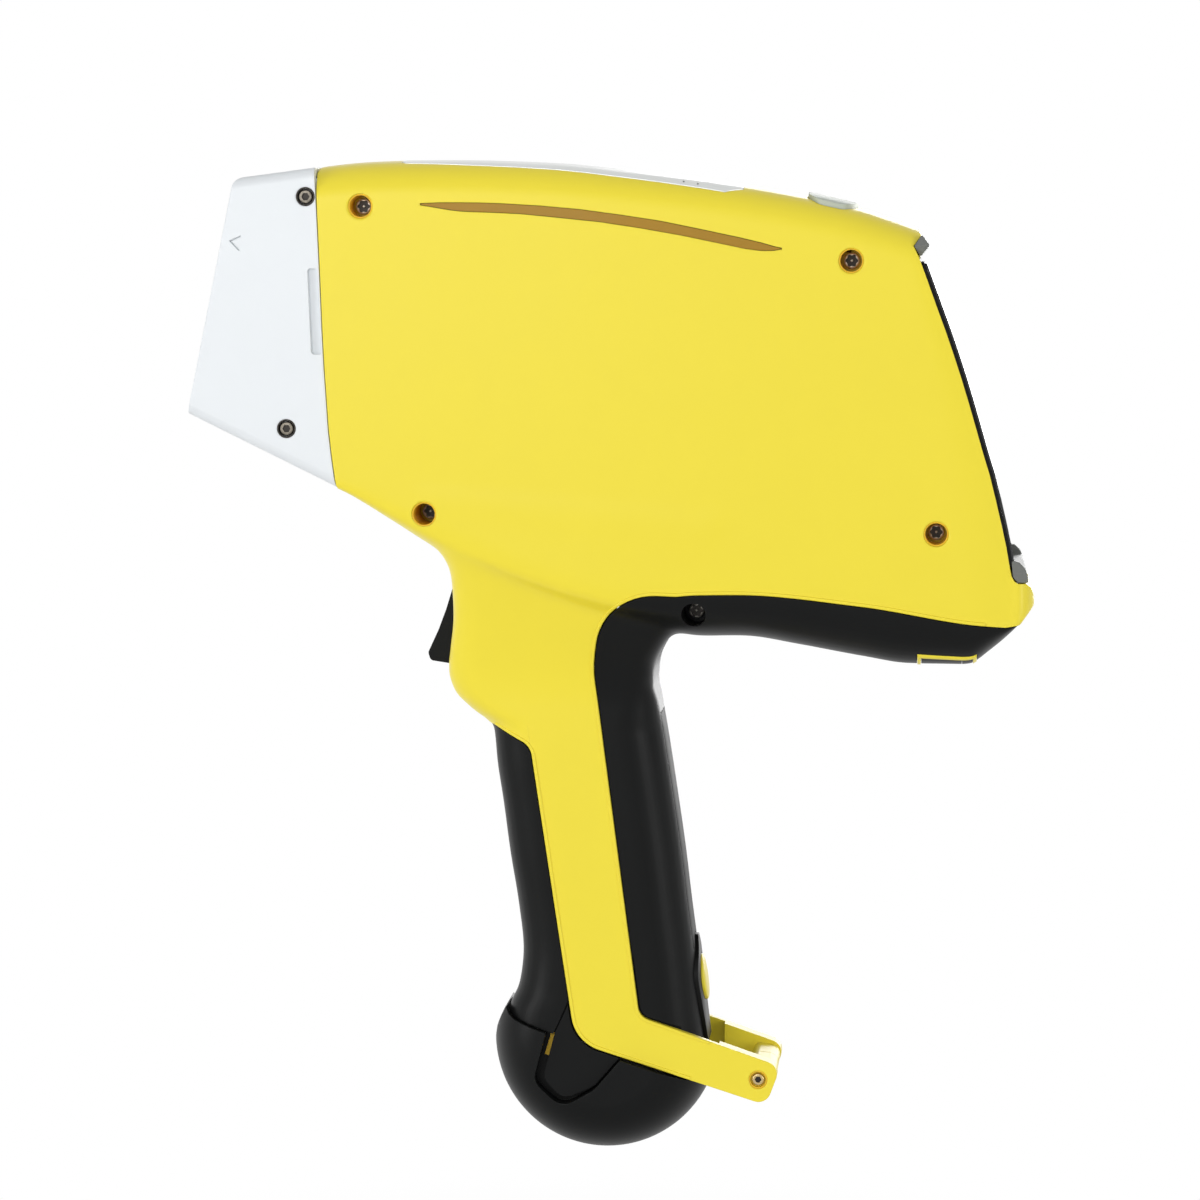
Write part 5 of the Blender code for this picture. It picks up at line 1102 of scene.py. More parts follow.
@dataclass
class Borders:
    """Side outlines where the yellow shells, the black covers and the battery foot meet."""

    form: OuterForm
    strip_front_top: Point = (-0.0189, 0.0303)
    strip_front_bottom: Point = (-0.0043, -0.0668)
    strip_rear_top: Point = (0.0016, 0.0560)
    strip_rear_bottom: Point = (0.0166, -0.0580)
    cover_tip: Point = (-0.0310, 0.0364)
    cover_corner: Point = (0.0060, 0.0820)
    cover_radius: float = 0.020
    lip: Point = (0.1275, 0.0724)
    lip_run: tuple[Point, ...] = ((0.1340, 0.0719), (0.1400, 0.0729), (FAR, 0.0745))
    bump: Point = (-0.0600, 0.0455)
    loop_top: Point = (0.0628, -0.0738)
    loop_bottom: Point = (0.0580, -0.0866)
    loop_inner: float = 0.0050
    loop_corner: float = 0.0042
    heel_radius: float = 0.0130
    bend: float = 0.0350
    tip_radius: float = 0.0060
    rim: tuple[Point, ...] = (
        (-0.0500, -0.0562), (-0.0284, -0.0562), (-0.0268, -0.0590), (-0.0247, -0.0603), (-0.0195, -0.0620),
        (-0.0129, -0.0641), (0.0104, -0.0724), (0.0600, -0.0880),
    )
    seam_z: float = -0.0530
    shell_low: float = 0.0300
    strip_high: float = 0.0370
    far_below: float = -0.15

    def edge(self, drop_z: float = 0.0) -> list[Point]:
        """Lower edge of the body's side between the cover's corner and the lip.

        Args:
            drop_z: How far the edge is lowered.

        Returns:
            Points from front to rear.
        """
        start = self.cover_corner[0] + self.cover_radius + 0.004
        spread = (float(x) for x in np.linspace(start, self.lip[0], 40))
        return [(x, self.form.edge_at.at(x) - drop_z) for x in spread]

    def strip_x(self, z: float, rear: bool) -> float:
        """X of the side strip's edge at a height.

        Args:
            z: The height.
            rear: Whether the rear edge is meant, and not the front edge.

        Returns:
            The place along X.
        """
        top, low = self.strip_front_top, self.strip_front_bottom
        if rear:
            top, low = self.strip_rear_top, self.strip_rear_bottom
        return top[0] + (low[0] - top[0]) * (z - top[1]) / (low[1] - top[1])

    def shell(self) -> list[Point]:
        """Outline that the yellow shells cover, down to the side strips.

        Returns:
            The outline.
        """
        return rounded([
            (-FAR, FAR), (FAR, FAR), *self.lip_run[::-1], *self.edge()[::-1],
            (*self.cover_corner, self.cover_radius), (*self.strip_rear_top, self.bend),
            (self.strip_x(self.shell_low, True), self.shell_low),
            (self.strip_front_top[0] + 0.0002, self.shell_low),
            (*self.strip_front_top, self.tip_radius), self.cover_tip, self.bump, (-FAR, self.bump[1]),
        ])

    def rear_cover(self) -> list[Point]:
        """Outline of the belly and the rear of the grip.

        Returns:
            The outline.
        """
        return rounded([
            (self.strip_x(self.far_below, True) + GAP, self.far_below),
            (self.strip_rear_top[0] + GAP, self.strip_rear_top[1], self.bend),
            (self.cover_corner[0] + GAP, self.cover_corner[1] - GAP, self.cover_radius),
            *self.edge(GAP), *((x, z - GAP) for x, z in self.lip_run), (FAR, self.far_below),
        ])

    def front_grip(self) -> list[Point]:
        """Outline of the cover on the front of the grip.

        Returns:
            The outline.
        """
        return rounded([
            (self.bump[0], self.bump[1] - GAP), (self.cover_tip[0], self.cover_tip[1] - GAP),
            (self.strip_front_top[0] - GAP, self.strip_front_top[1] - GAP, self.tip_radius),
            (self.strip_x(self.seam_z, False) - GAP, self.seam_z), (-0.0117, -0.0646),
            (-0.0300, -0.1100), (-0.0600, -0.1100),
        ])

    def strip(self, grow: float = 0.0) -> list[Point]:
        """Outline of the side strip with the loop's arm.

        Args:
            grow: Clearance by which it is grown.

        Returns:
            The outline.
        """
        top = self.strip_high
        return rounded([
            (self.strip_x(top, True) + grow, top),
            (self.strip_rear_bottom[0] + grow, self.strip_rear_bottom[1] + grow, self.loop_inner - grow),
            (self.loop_top[0] + grow, self.loop_top[1] + grow, self.loop_corner),
            (self.loop_bottom[0] + grow, self.loop_bottom[1] - grow, self.loop_corner),
            (self.strip_front_bottom[0] - grow, self.strip_front_bottom[1] - grow, self.heel_radius),
            (self.strip_x(top, False) - grow, top),
        ])

    def below_loop(self) -> list[Point]:
        """Outline below the loop's arm and behind the strip's front edge.

        Returns:
            The outline.
        """
        low, play = -0.11, 2 * GAP
        high = self.strip_rear_bottom[1] + 0.020
        return rounded([
            (self.strip_front_bottom[0], high), (self.strip_x(high, True) + play, high),
            (self.strip_rear_bottom[0] + play, self.strip_rear_bottom[1] + play, self.loop_inner - play),
            (self.loop_top[0] + GAP, self.loop_top[1] + play), (self.loop_top[0], low),
            (self.strip_front_bottom[0], low),
        ])

    def above_rim(self) -> list[Point]:
        """Outline of everything above the foot's rim."""
        rim = [(x, z + GAP) for x, z in self.rim]
        return [*rim, (FAR, rim[-1][1]), (FAR, FAR), (-FAR, FAR), (-FAR, rim[0][1])]

    def below_rim(self) -> list[Point]:
        """Outline of everything below the foot's rim."""
        return [*self.rim, (FAR, self.rim[-1][1]), (FAR, -FAR), (-FAR, -FAR), (-FAR, self.rim[0][1])]

    def rear_bead(self) -> list[Point]:
        """Line of the rear border, from the lip forwards and down to the loop's arm.

        Returns:
            The open line.
        """
        arm = Vector(self.strip_rear_bottom).lerp(Vector(self.loop_top), 0.50)
        return rounded([
            *self.edge()[::-1], (*self.cover_corner, self.cover_radius), (*self.strip_rear_top, self.bend),
            (*self.strip_rear_bottom, self.loop_inner), tuple(arm),
        ])

    def front_bead(self) -> list[Point]:
        """Line of the front border, from the tip below the finger bump to the loop's arm.

        Returns:
            The open line.
        """
        arm = Vector(self.strip_front_bottom).lerp(Vector(self.loop_bottom), 0.60)
        return rounded([
            self.cover_tip, (*self.strip_front_top, self.tip_radius),
            (*self.strip_front_bottom, self.heel_radius), tuple(arm),
        ])


def shifted(path: Sequence[Point], distance: float) -> list[Point]:
    """Move an open line sideways, to its left for a positive distance.

    Args:
        path: The line as (x, z).
        distance: How far it moves.

    Returns:
        The moved line, evenly resampled.
    """
    points = np.array(path)
    steps = np.linalg.norm(np.diff(points, axis=0), axis=1)
    along = np.concatenate([[0.0], np.cumsum(steps)])
    places = np.linspace(0.0, along[-1], int(along[-1] / 0.0012))
    even = np.stack([np.interp(places, along, points[:, k]) for k in (0, 1)], axis=1)
    tangent = np.gradient(even, axis=0)
    tangent /= np.linalg.norm(tangent, axis=1)[:, None]
    normal = np.stack([-tangent[:, 1], tangent[:, 0]], axis=1)
    return [tuple(p) for p in even + normal * distance]


def bead_on(surface: Mesh, line: Sequence[Point], side: Side, width: float, height: float) -> Mesh:
    """Bead along a line of the side view, laid on the side of a piece.

    Args:
        surface: Piece that carries it.
        line: The line as (x, z).
        side: Side of the instrument that it lies on.
        width: Width of the bead.
        height: Height of its crown.

    Returns:
        The bead.
    """
    tree = BVHTree.FromObject(surface, bpy.context.evaluated_depsgraph_get())
    path, normals = [], []
    for x, z in line:
        hit, normal, _, _ = tree.ray_cast(Vector((x, side.value * 0.2, z)), Vector((0.0, -side.value, 0.0)))
        if hit is not None:
            path.append(hit)
            normals.append(normal)
    last = len(normals)
    near = [normals[max(0, k - 2):min(last, k + 3)] for k in range(last)]
    return swept(path, [sum(group, Vector()).normalized() for group in near], width, height)


# Fasteners


class Drive(Enum):
    """How a screw is turned."""

    HEX = "hex"
    PIN_STAR = "pin_star"


@dataclass
class Screw:
    """Screw along Y whose head is seen from the side."""

    name: str
    place: Point
    head_radius: float
    head_length: float
    shank_radius: float
    seat: float
    tip: float
    drive: Drive
    finish: Finish = STEEL
    lift: float = 0.00005

    @property
    def out(self) -> float:
        """Sign of Y towards which the head faces."""
        return math.copysign(1.0, self.seat)

    @property
    def base(self) -> float:
        """Y of the face under the head."""
        return self.seat + self.out * self.lift

    def socket(self, scale: float = 1.0) -> list[Point]:
        """Outline of the drive's recess in the head.

        Args:
            scale: Size of the outline against the recess.

        Returns:
            The outline as (x, z).
        """
        reach = self.head_radius * (0.56 if self.drive is Drive.HEX else 0.76) * scale
        if self.drive is Drive.HEX:
            spots = [(reach, math.pi * k / 3) for k in range(6)]
        else:
            spots = [(float(reach * (1.0 + 0.12 * np.cos(6 * a))), float(a))
                     for a in np.linspace(0, 2 * math.pi, 48, endpoint=False)]
        return [(self.place[0] + r * math.cos(a), self.place[1] + r * math.sin(a)) for r, a in spots]

    def build(self) -> Mesh:
        """Turn the head and shank, then sink the drive.

        Returns:
            The screw.
        """
        length, radius, shank = self.head_length, self.head_radius, self.shank_radius
        chamfer = radius * 0.18
        start = -abs(self.tip - self.seat)
        profile = [
            (shank * 0.6, start), (shank, start + 0.0006), (shank, 0.0), (radius - 0.0001, 0.0),
            (radius, 0.0001), (radius, length - chamfer),
            (radius - chamfer * 0.35, length - chamfer * 0.35), (radius - chamfer, length),
        ]
        screw = turned_y(profile, self.place, self.base, self.out)
        top = self.base + self.out * length
        cut(screw, prism(self.socket(), top - self.out * length * 0.62, top + self.out * 0.001))
        if self.drive is Drive.PIN_STAR:
            wide = radius * 0.17
            pin = [(wide, 0.0), (wide, length * 0.46), (wide * 0.6, length * 0.54)]
            join(screw, turned_y(pin, self.place, top - self.out * length * 0.72, self.out, 20))
        return screw

    def fit(self) -> None:
        """Build the screw with a dark disc of painted shade in its socket, and put it in the place of its CAD
        node.
        """
        place_piece(self.build(), f"{self.name}_dressed", self.finish, (self.name,), 40.0)
        # Painted shade: a dark disc sunk in the drive socket, standing in for the shade at its bottom.
        top = self.seat + self.out * (self.lift + self.head_length)
        low, high = (top - self.out * self.head_length * share for share in (0.64, 0.42))
        place_piece(prism(self.socket(0.98), low, high), f"{self.name}_socket_floor", SHADE_BLACK)


@dataclass
class Fasteners:
    """Every screw of the instrument, with painted shade in the screw recesses: warm rings of painted bounce
    light in the shells and dark cups in the nose.
    """

    form: OuterForm
    body: tuple[tuple[str, float, float, float], ...] = (
        ("upper_front", -0.0707, 0.2046, 0.0120), ("upper_rear", 0.0847, 0.1874, 0.0120),
        ("lower_rear", 0.1119, 0.1015, 0.0140), ("lower_front", -0.0507, 0.1069, 0.0200),
    )
    hole_radius: float = 0.0039
    post_radius: float = 0.0062
    cover: tuple[float, float, float] = (0.0351, 0.0750, 0.0240)
    loop: Point = (0.0554, -0.0783)
    loop_depth: float = 0.0020
    loop_hole: float = 0.0030
    nose: tuple[tuple[str, float, float], ...] = (("upper", -0.0882, 0.2076), ("lower", -0.0948, 0.1340))
    nose_hole: float = 0.0030
    nose_depth: float = 0.0022
    cad_half_width: float = 0.0435
    shade_cup_bore: float = 0.00245
    bounce_wall: float = 0.0004
    play: float = 0.00004

    def seat(self, depth: float) -> float:
        """Y of the face under a head that lies a depth inside the left side."""
        return -(self.cad_half_width - depth)

    def loop_seat(self) -> float:
        """Y of the face under the loop screw's head."""
        return -(self.form.grip_half_width - self.loop_depth)

    def nose_seat(self, x: float) -> float:
        """Distance from the middle plane to the face under a nose screw's head."""
        return self.cad_half_width - 0.050 * max(0.0, -0.0780 - x) - self.nose_depth

    def build(self) -> None:
        """Fit all the screws."""
        large, star = (0.0025, 0.0030, 0.0015), Drive.PIN_STAR
        for name, x, z, depth in self.body:
            seat = self.seat(depth)
            Screw(f"housing_screw_{name}", (x, z), *large, seat, 0.0110, star).fit()
            mouth = self.form.bow(z) - self.form.half_width + 0.0008
            self.well((x, z), self.hole_radius, seat, mouth, name)
        x, z, depth = self.cover
        Screw("cover_screw", (x, z), *large, self.seat(depth), 0.0110, star).fit()
        seat = self.loop_seat()
        Screw("loop_screw", self.loop, 0.0020, 0.0014, 0.0010, seat, 0.0060, Drive.HEX, BRASS_TINT).fit()
        self.well(self.loop, self.loop_hole, seat, -self.form.grip_half_width + 0.0006, "loop")
        for name, x, z in self.nose:
            for side in Side:
                seat = side.value * self.nose_seat(x)
                tip = seat - side.value * 0.0050
                label = f"{name}_{side.label}"
                head = (0.0023, 0.0014, 0.0012)
                Screw(f"nose_screw_{label}", (x, z), *head, seat, tip, Drive.HEX, DARK_STEEL).fit()
                # Painted shade: a dark cup lines each nose hole, standing in for the shade on its wall.
                place_piece(self.sleeve((x, z), seat), f"nose_sleeve_{label}", SHADE_BLACK)

    def well(self, place: Point, radius: float, seat: float, mouth: float, name: str) -> None:
        """Ring of painted shade and bounce light that tints a screw recess's wall warm orange.

        Args:
            place: (x, z) of its axis.
            radius: Radius of the recess.
            seat: Y of its floor.
            mouth: Y of its upper end, just below the surface.
            name: Name of the screw.
        """
        outer, depth = radius - self.play, abs(mouth - seat)
        inner = outer - self.bounce_wall
        ring = turned_y([(outer, 0.00002), (outer, depth)], place, seat, steps=48)
        cut(ring, turned_y([(inner, -0.001), (inner, depth + 0.001)], place, seat, steps=48))
        # Painted shade: the ring tints the recess wall the warm orange of shade and bounced light in the
        # yellow hole.
        place_piece(ring, f"screw_well_{name}", BOUNCE_YELLOW, (), 40.0)

    def sleeve(self, place: Point, seat: float) -> Mesh:
        """Dark cup of painted shade that lines a nose screw's hole.

        Args:
            place: (x, z) of its axis.
            seat: Y of the hole's floor.

        Returns:
            The cup.
        """
        out, radius, bore = math.copysign(1.0, seat), self.nose_hole - self.play, self.shade_cup_bore
        cup = turned_y([(radius, 0.00002), (radius, self.nose_depth - 0.0003)], place, seat, out)
        return cut(cup, turned_y([(bore, -0.001), (bore, 0.0006), (0.0027, 0.004)], place, seat, out))


# Mouldings


@dataclass
class Housings:
    """The two yellow shells with their side strips, the guard loop and the raised borders."""

    form: OuterForm
    borders: Borders
    screws: Fasteners
    wall: float = 0.0025
    arm_thickness: float = 0.0065
    bar_depth: float = 0.0080
    loop_front: float = 0.0425
    slot_half_width: float = 0.0076
    slot: tuple[float, float, float, float] = (-0.0600, -0.0300, 0.0528, 0.0900)
    bead_width: float = 0.0011
    bead_height: float = 0.00034
    bead_shift: float = 0.0006
    top_corner: tuple[Point, ...] = ((0.1046, 0.1981), (0.1058, 0.1966), (0.1065, 0.1952), (0.1042, 0.1920))
    lip_top: tuple[Point, ...] = ((0.1358, 0.0880), (0.1366, 0.0866), (0.1378, 0.0858))
    front_corner: tuple[Point, ...] = (
        (-0.0849, 0.2152), (-0.0845, 0.2167), (-0.0834, 0.2178), (-0.0812, 0.2187),
    )
    lip_line: tuple[Point, ...] = (
        (0.1380, 0.0863), (0.1404, 0.0857), (0.1417, 0.0846), (0.1427, 0.0827), (0.1431, 0.0806),
        (0.1430, 0.0777), (0.1414, 0.0751), (0.1392, 0.0719), (0.1370, 0.0696), (0.1326, 0.0660),
        (0.1278, 0.0624),
    )

    def front_of_joint(self) -> list[Point]:
        """Outline of everything in front of the nose joint."""
        line = [p for p in joint_points(0.0) if p[1] < self.front_corner[0][1]]
        return [(-FAR, line[0][1]), *line, *self.front_corner, (self.front_corner[-1][0], FAR), (-FAR, FAR)]

    def behind_display(self) -> list[Point]:
        """Outline of the space behind the display's seat."""
        line = [*self.top_corner, *self.form.display_edge, *self.lip_top]
        return [(line[0][0], FAR), *line, (FAR, line[-1][1] + 0.0004), (FAR, FAR)]

    def behind_lip(self) -> list[Point]:
        """Outline of the space behind the rounded lip."""
        return [*self.lip_line, (self.lip_line[-1][0], 0.0500), (FAR, 0.0500), (FAR, self.lip_line[0][1])]

    def side_strip(self, side: Side) -> Mesh:
        """Strip on the grip with the loop's thick arm and half of its cross bar.

        Args:
            side: Side of the instrument.

        Returns:
            The strip.
        """
        outer = side.value * self.form.grip_half_width
        inner = side.value * (self.form.grip_half_width - self.arm_thickness)
        strip = softened(prism(self.borders.strip(), inner, outer), 0.0007, 3, 50.0)
        thin = side.value * (self.form.grip_half_width - self.wall)
        cut(strip, block((-FAR, min(0.0, thin), -FAR), (self.loop_front, max(0.0, thin), FAR)))
        top, low = self.borders.loop_top, self.borders.loop_bottom
        front = low[0] - self.bar_depth
        bar = prism(rounded([
            (front + 0.0030, top[1] + 0.0010, 0.0025), (top[0] - 0.0002, top[1] - 0.0002, 0.0034),
            (low[0] - 0.0002, low[1] + 0.0002, 0.0034), (front, low[1] + 0.0020, 0.0025),
        ]), side.value * GAP / 2, inner + side.value * 0.0010)
        return join(strip, bar)

    def build(self) -> None:
        """Build both shells and their borders."""
        for side in Side:
            shell = self.shell(side)
            lines = {"rear": shifted(self.borders.rear_bead(), -self.bead_shift)}
            lines["front"] = shifted(self.borders.front_bead(), self.bead_shift)
            beads = {
                name: bead_on(shell, line, side, self.bead_width, self.bead_height)
                for name, line in lines.items()
            }
            place_piece(shell, f"shell_{side.label}", YELLOW, (f"housing_{side.label}",))
            for name, bead in beads.items():
                place_piece(bead, f"border_{name}_{side.label}", YELLOW)

    def shell(self, side: Side) -> Mesh:
        """One shell.

        Args:
            side: Which half.

        Returns:
            The finished shell.
        """
        shell = cut(self.form.skin(), self.form.cavity(self.wall))
        for outline in (self.front_of_joint(), self.behind_display(), self.behind_lip()):
            cut(shell, through(outline))
        keep(shell, prism(self.borders.shell(), side.value * GAP / 2, side.value * 0.1))
        join(shell, self.side_strip(side))
        for _, x, z, _ in self.screws.body:
            self.add_post(shell, (x, z), side)
        x0, x1, z0, z1 = self.slot
        cut(shell, block((x0, -self.slot_half_width, z0), (x1, self.slot_half_width, z1)))
        if side is Side.LEFT:
            self.drill(shell)
        TopTrim(self.form).cut_recesses(shell, side)
        return shell

    def add_post(self, shell: Mesh, place: Point, side: Side) -> None:
        """Round post behind a screw, ending inside the wall.

        Args:
            shell: The shell that it joins.
            place: (x, z) of its axis.
            side: The shell's side.
        """
        radius = self.screws.post_radius
        profile = [(radius, 0.0), (radius, self.form.half_width)]
        post = turned_y(profile, place, side.value * GAP / 2, side.value, 32)
        join(shell, keep(post, self.form.skin(-self.wall / 2)))

    def drill(self, shell: Mesh) -> None:
        """Screw recesses of the left shell, with softened mouths.

        Args:
            shell: The left shell.
        """
        screws = self.screws
        for _, x, z, depth in screws.body:
            surface = self.form.bow(z) - self.form.half_width
            cut(shell, hole_y((x, z), screws.hole_radius, surface, screws.seat(depth), 0.0006))
        surface = -self.form.grip_half_width
        cut(shell, hole_y(screws.loop, screws.loop_hole, surface, screws.loop_seat(), 0.0004))


@dataclass
class GripCovers:
    """Black rear cover, front grip, palm strip and the latch at the back of the grip."""

    housings: Housings
    panel_line: float = 0.0004
    wall: float = 0.0023
    palm_half_width: float = 0.0095
    palm_top: float = 0.0400
    palm_thickness: float = 0.0011
    latch_top: float = -0.0339
    latch_wide: float = -0.0440
    latch_low: float = -0.0680
    latch_half_width: float = 0.0125
    latch_low_half: float = 0.0085
    latch_tip_half: float = 0.0020
    latch_proud: float = 0.0007
    button_z: float = -0.0484
    button_half: Point = (0.0075, 0.0078)
    button_proud: float = 0.0020
    tilt: float = math.radians(8.2)

    def __post_init__(self) -> None:
        """Take form, borders and screws from the shells."""
        self.form, self.borders, self.screws = self.housings.form, self.housings.borders, self.housings.screws

    def panel(self, *depths: float) -> tuple[Mesh, ...]:
        """The form moved inwards by the panel line and by further depths."""
        return tuple(self.form.skin(-self.panel_line - depth) for depth in depths)

    def palm_block(self, grow: float) -> Mesh:
        """Block round the palm strip, grown by a clearance."""
        wide = self.palm_half_width + grow
        return block((0.0, -wide, self.latch_top - 0.004), (FAR, wide, self.palm_top + grow))

    def covers(self) -> None:
        """Rear cover and front grip."""
        flank = self.form.grip_half_width - 0.0025 - GAP
        cover = cut(*self.panel(0.0), self.form.cavity(self.panel_line + self.wall))
        grip = copied(cover)
        keep(cover, through(self.borders.rear_cover()), through(self.borders.above_rim()))
        for low, high in ((-FAR, -flank), (flank, FAR)):
            cut(cover, prism(self.borders.below_loop(), low, high))
        x, z, depth = self.screws.cover
        radius, hole = self.screws.post_radius, self.screws.hole_radius
        post = turned_y([(radius, 0.0), (radius, 0.040)], (x, z), 0.0, steps=32)
        join(cover, keep(post, *self.panel(self.wall / 2)))
        cut(cover, turned_y([(hole, 0.0), (hole, 0.05)], (x, z), self.screws.seat(depth)))
        cut(cover, PortDoor(self.form).opening(), through(self.housings.behind_lip()))
        cut(cover, cut(self.palm_block(GAP), *self.panel(self.palm_thickness + GAP)), self.shield(GAP))
        place_piece(cover, "rear_moulding", BLACK, ("rear_cover",))
        keep(grip, through(self.borders.front_grip()), through(self.borders.above_rim()))
        place_piece(grip, "front_moulding", BLACK, ("front_grip",))

    def palm(self) -> None:
        """Soft strip down the rear of the grip."""
        strip = keep(cut(*self.panel(0.0, self.palm_thickness)), self.palm_block(0.0))
        cut(strip, self.shield(GAP))
        place_piece(strip, "palm_pad", SOFT_BLACK, ("palm_strip",))

    def shield(self, grow: float) -> Mesh:
        """Shield-shaped block of the latch cover along X.

        Args:
            grow: Clearance by which it is grown.

        Returns:
            The block.
        """
        half = [
            (self.latch_tip_half + grow, self.latch_top + grow, 0.0010),
            (self.latch_half_width + grow, self.latch_wide, 0.0100),
            (self.latch_low_half + grow, self.latch_low - grow, 0.0020),
        ]
        other = [(-y, z, radius) for y, z, radius in half]
        return along_x(rounded([other[0], *half, other[2], other[1]]), 0.0200, 0.0550)

    def oval(self, grow: float, start: float, end: float, dome: float = 0.0) -> Mesh:
        """Oval block of the latch button along its own axis.

        Args:
            grow: Clearance round it.
            start: Inner end, measured from the grip's rear.
            end: Outer end.
            dome: Height of its domed face.

        Returns:
            The block.
        """
        lines = sorted((-z, x) for x, z in self.form.rear_line)
        rear_x = float(np.interp(-self.button_z, *zip(*lines)))
        axis = Vector((math.cos(self.tilt), 0.0, math.sin(self.tilt)))
        up = Vector((-math.sin(self.tilt), 0.0, math.cos(self.tilt)))
        centre = Vector((rear_x, 0.0, self.button_z))
        levels = [(start, 1.0), (end - dome, 1.0)]
        if dome:
            turns = np.linspace(0.2, 1.5, 9)
            levels += [(end - dome + dome * math.sin(a), math.cos(a) ** 0.5) for a in turns]
        rings = []
        for level, share in levels:
            ring = []
            for k in range(48):
                angle = 2 * math.pi * k / 48
                tall = (self.button_half[0] + grow) * share * math.cos(angle)
                wide = (self.button_half[1] + grow) * share * math.sin(angle)
                ring.append(tuple(centre + axis * level + up * tall + Vector((0.0, wide, 0.0))))
            rings.append(ring)
        return loft(rings)

    def latch(self) -> None:
        """Latch cover and its yellow oval button."""
        cover = cut(self.form.skin(self.latch_proud), self.form.cavity(0.0025))
        keep(cover, self.shield(0.0), through(self.borders.above_rim()))
        cut(cover, self.oval(GAP, -0.010, 0.010))
        place_piece(cover, "latch_housing", BLACK, ("latch_cover",))
        button = self.oval(0.0, -0.0010, self.button_proud, 0.0009)
        place_piece(button, "latch_oval", YELLOW, ("latch_button",), body=Body.LATCH)

    def build(self) -> None:
        """Build the covers, the palm strip and the latch."""
        self.covers()
        self.palm()
        self.latch()


@dataclass
class BatteryFoot:
    """Rounded foot that closes the grip, with a notch and a tongue on each side."""

    borders: Borders
    centre: Point = (0.0045, -0.0680)
    radius: float = 0.0370
    half_width: float = 0.0239
    flat_radius: float = 0.0170
    notch: tuple[Point, ...] = (
        (-0.0129, -0.0641), (-0.0181, -0.0800), (-0.0088, -0.0884), (0.0020, -0.0822), (0.0104, -0.0724),
    )
    notch_floor: float = 0.0168
    tongue_out: float = 0.0207
    tongue_in: float = 0.0190
    front_chamfer: tuple[Point, ...] = (
        (-0.0266, -0.0550), (-0.0283, -0.0573), (-0.0299, -0.0606), (-0.0313, -0.0641), (-0.0321, -0.0680),
        (-0.0325, -0.0740), (-0.0600, -0.0740), (-0.0600, -0.0500), (-0.0266, -0.0500),
    )
    glint_steps: tuple[Point, ...] = (
        (0.0004, -0.0003), (0.0019, -0.0004), (-0.0004, -0.0080), (-0.0018, -0.0075),
    )

    def body(self) -> Mesh:
        """Turned body of the foot, flat on its sides.

        Returns:
            The body.
        """
        profile = []
        for angle in np.linspace(0.0, math.pi, 41):
            flat = self.flat_radius * min(1.0, 40 * angle, 40 * (math.pi - angle))
            reach = flat + (self.radius - self.flat_radius) * math.sin(angle) ** 0.92
            if reach > 0.001:
                profile.append((reach, -self.half_width * math.cos(angle)))
        profile = [(0.0004, -self.half_width), *profile, (0.0004, self.half_width)]
        return turned_y(profile, self.centre, 0.0, 1.0, 160)

    def notch_outline(self) -> list[Point]:
        """Outline of the notch, open upwards past the rim.

        Returns:
            The outline.
        """
        rear, *lower, front = zip(self.notch, (0.0, 0.0050, 0.0060, 0.0100, 0.0))
        (x, z), (fx, fz) = rear[0], front[0]
        return rounded([(x, z + 0.004), *((*at, r) for at, r in lower), (fx, fz), (fx, fz + 0.012)])

    def tongue_outline(self) -> list[Point]:
        """Outline of the tongue, a little inside the notch and up to the seam.

        Returns:
            The outline.
        """
        n, seam, strip = self.notch, self.borders.seam_z, self.borders.strip_front_bottom
        return rounded([
            (self.borders.strip_x(seam, False) + GAP, seam - GAP), (n[0][0] + 0.0018, n[0][1]),
            (n[1][0] + 0.0030, n[1][1] + 0.0010, 0.0050), (n[2][0] + 0.0004, n[2][1] + 0.0022, 0.0055),
            (n[3][0] - 0.0004, n[3][1] + 0.0005, 0.0090), (n[4][0] - 0.0004, n[4][1] + 0.0003),
            (strip[0] + 0.0090, strip[1] + 0.0006),
        ])

    def glint_outline(self) -> list[Point]:
        """Outline of the slim painted glint in the notch's front edge."""
        x, z = self.notch[0]
        return [(x + dx, z + dz) for dx, dz in self.glint_steps]

    def build(self) -> None:
        """Cut the foot to its rim and notches and add the tongues."""
        foot = keep(self.body(), through(self.borders.below_rim()))
        cut(foot, through(self.front_chamfer))
        tongue, floor = self.tongue_outline(), self.notch_floor
        for side in Side:
            s = side.value
            cut(foot, prism(self.notch_outline(), s * floor, s * FAR))
            root = prism(tongue, s * (floor - 0.001), s * self.tongue_out)
            keep(root, through(self.borders.below_rim()))
            tab = join(prism(tongue, s * self.tongue_in, s * self.tongue_out), root)
            cut(tab, prism(self.borders.strip(2 * GAP), s * 0.010, s * FAR))
            join(foot, tab)
            # Painted glint: a slim warm-yellow piece in the notch's gap, standing in for the yellow housing's
            # edge seen there, its warm tone painted bounce light.
            glint = prism(self.glint_outline(), s * (floor - 0.0003), s * (floor + 0.0008))
            place_piece(glint, f"notch_inlay_{side.label}", BOUNCE_YELLOW, body=Body.BATTERY)
        place_piece(foot, "foot_moulding", BLACK, ("battery_foot",), body=Body.BATTERY)


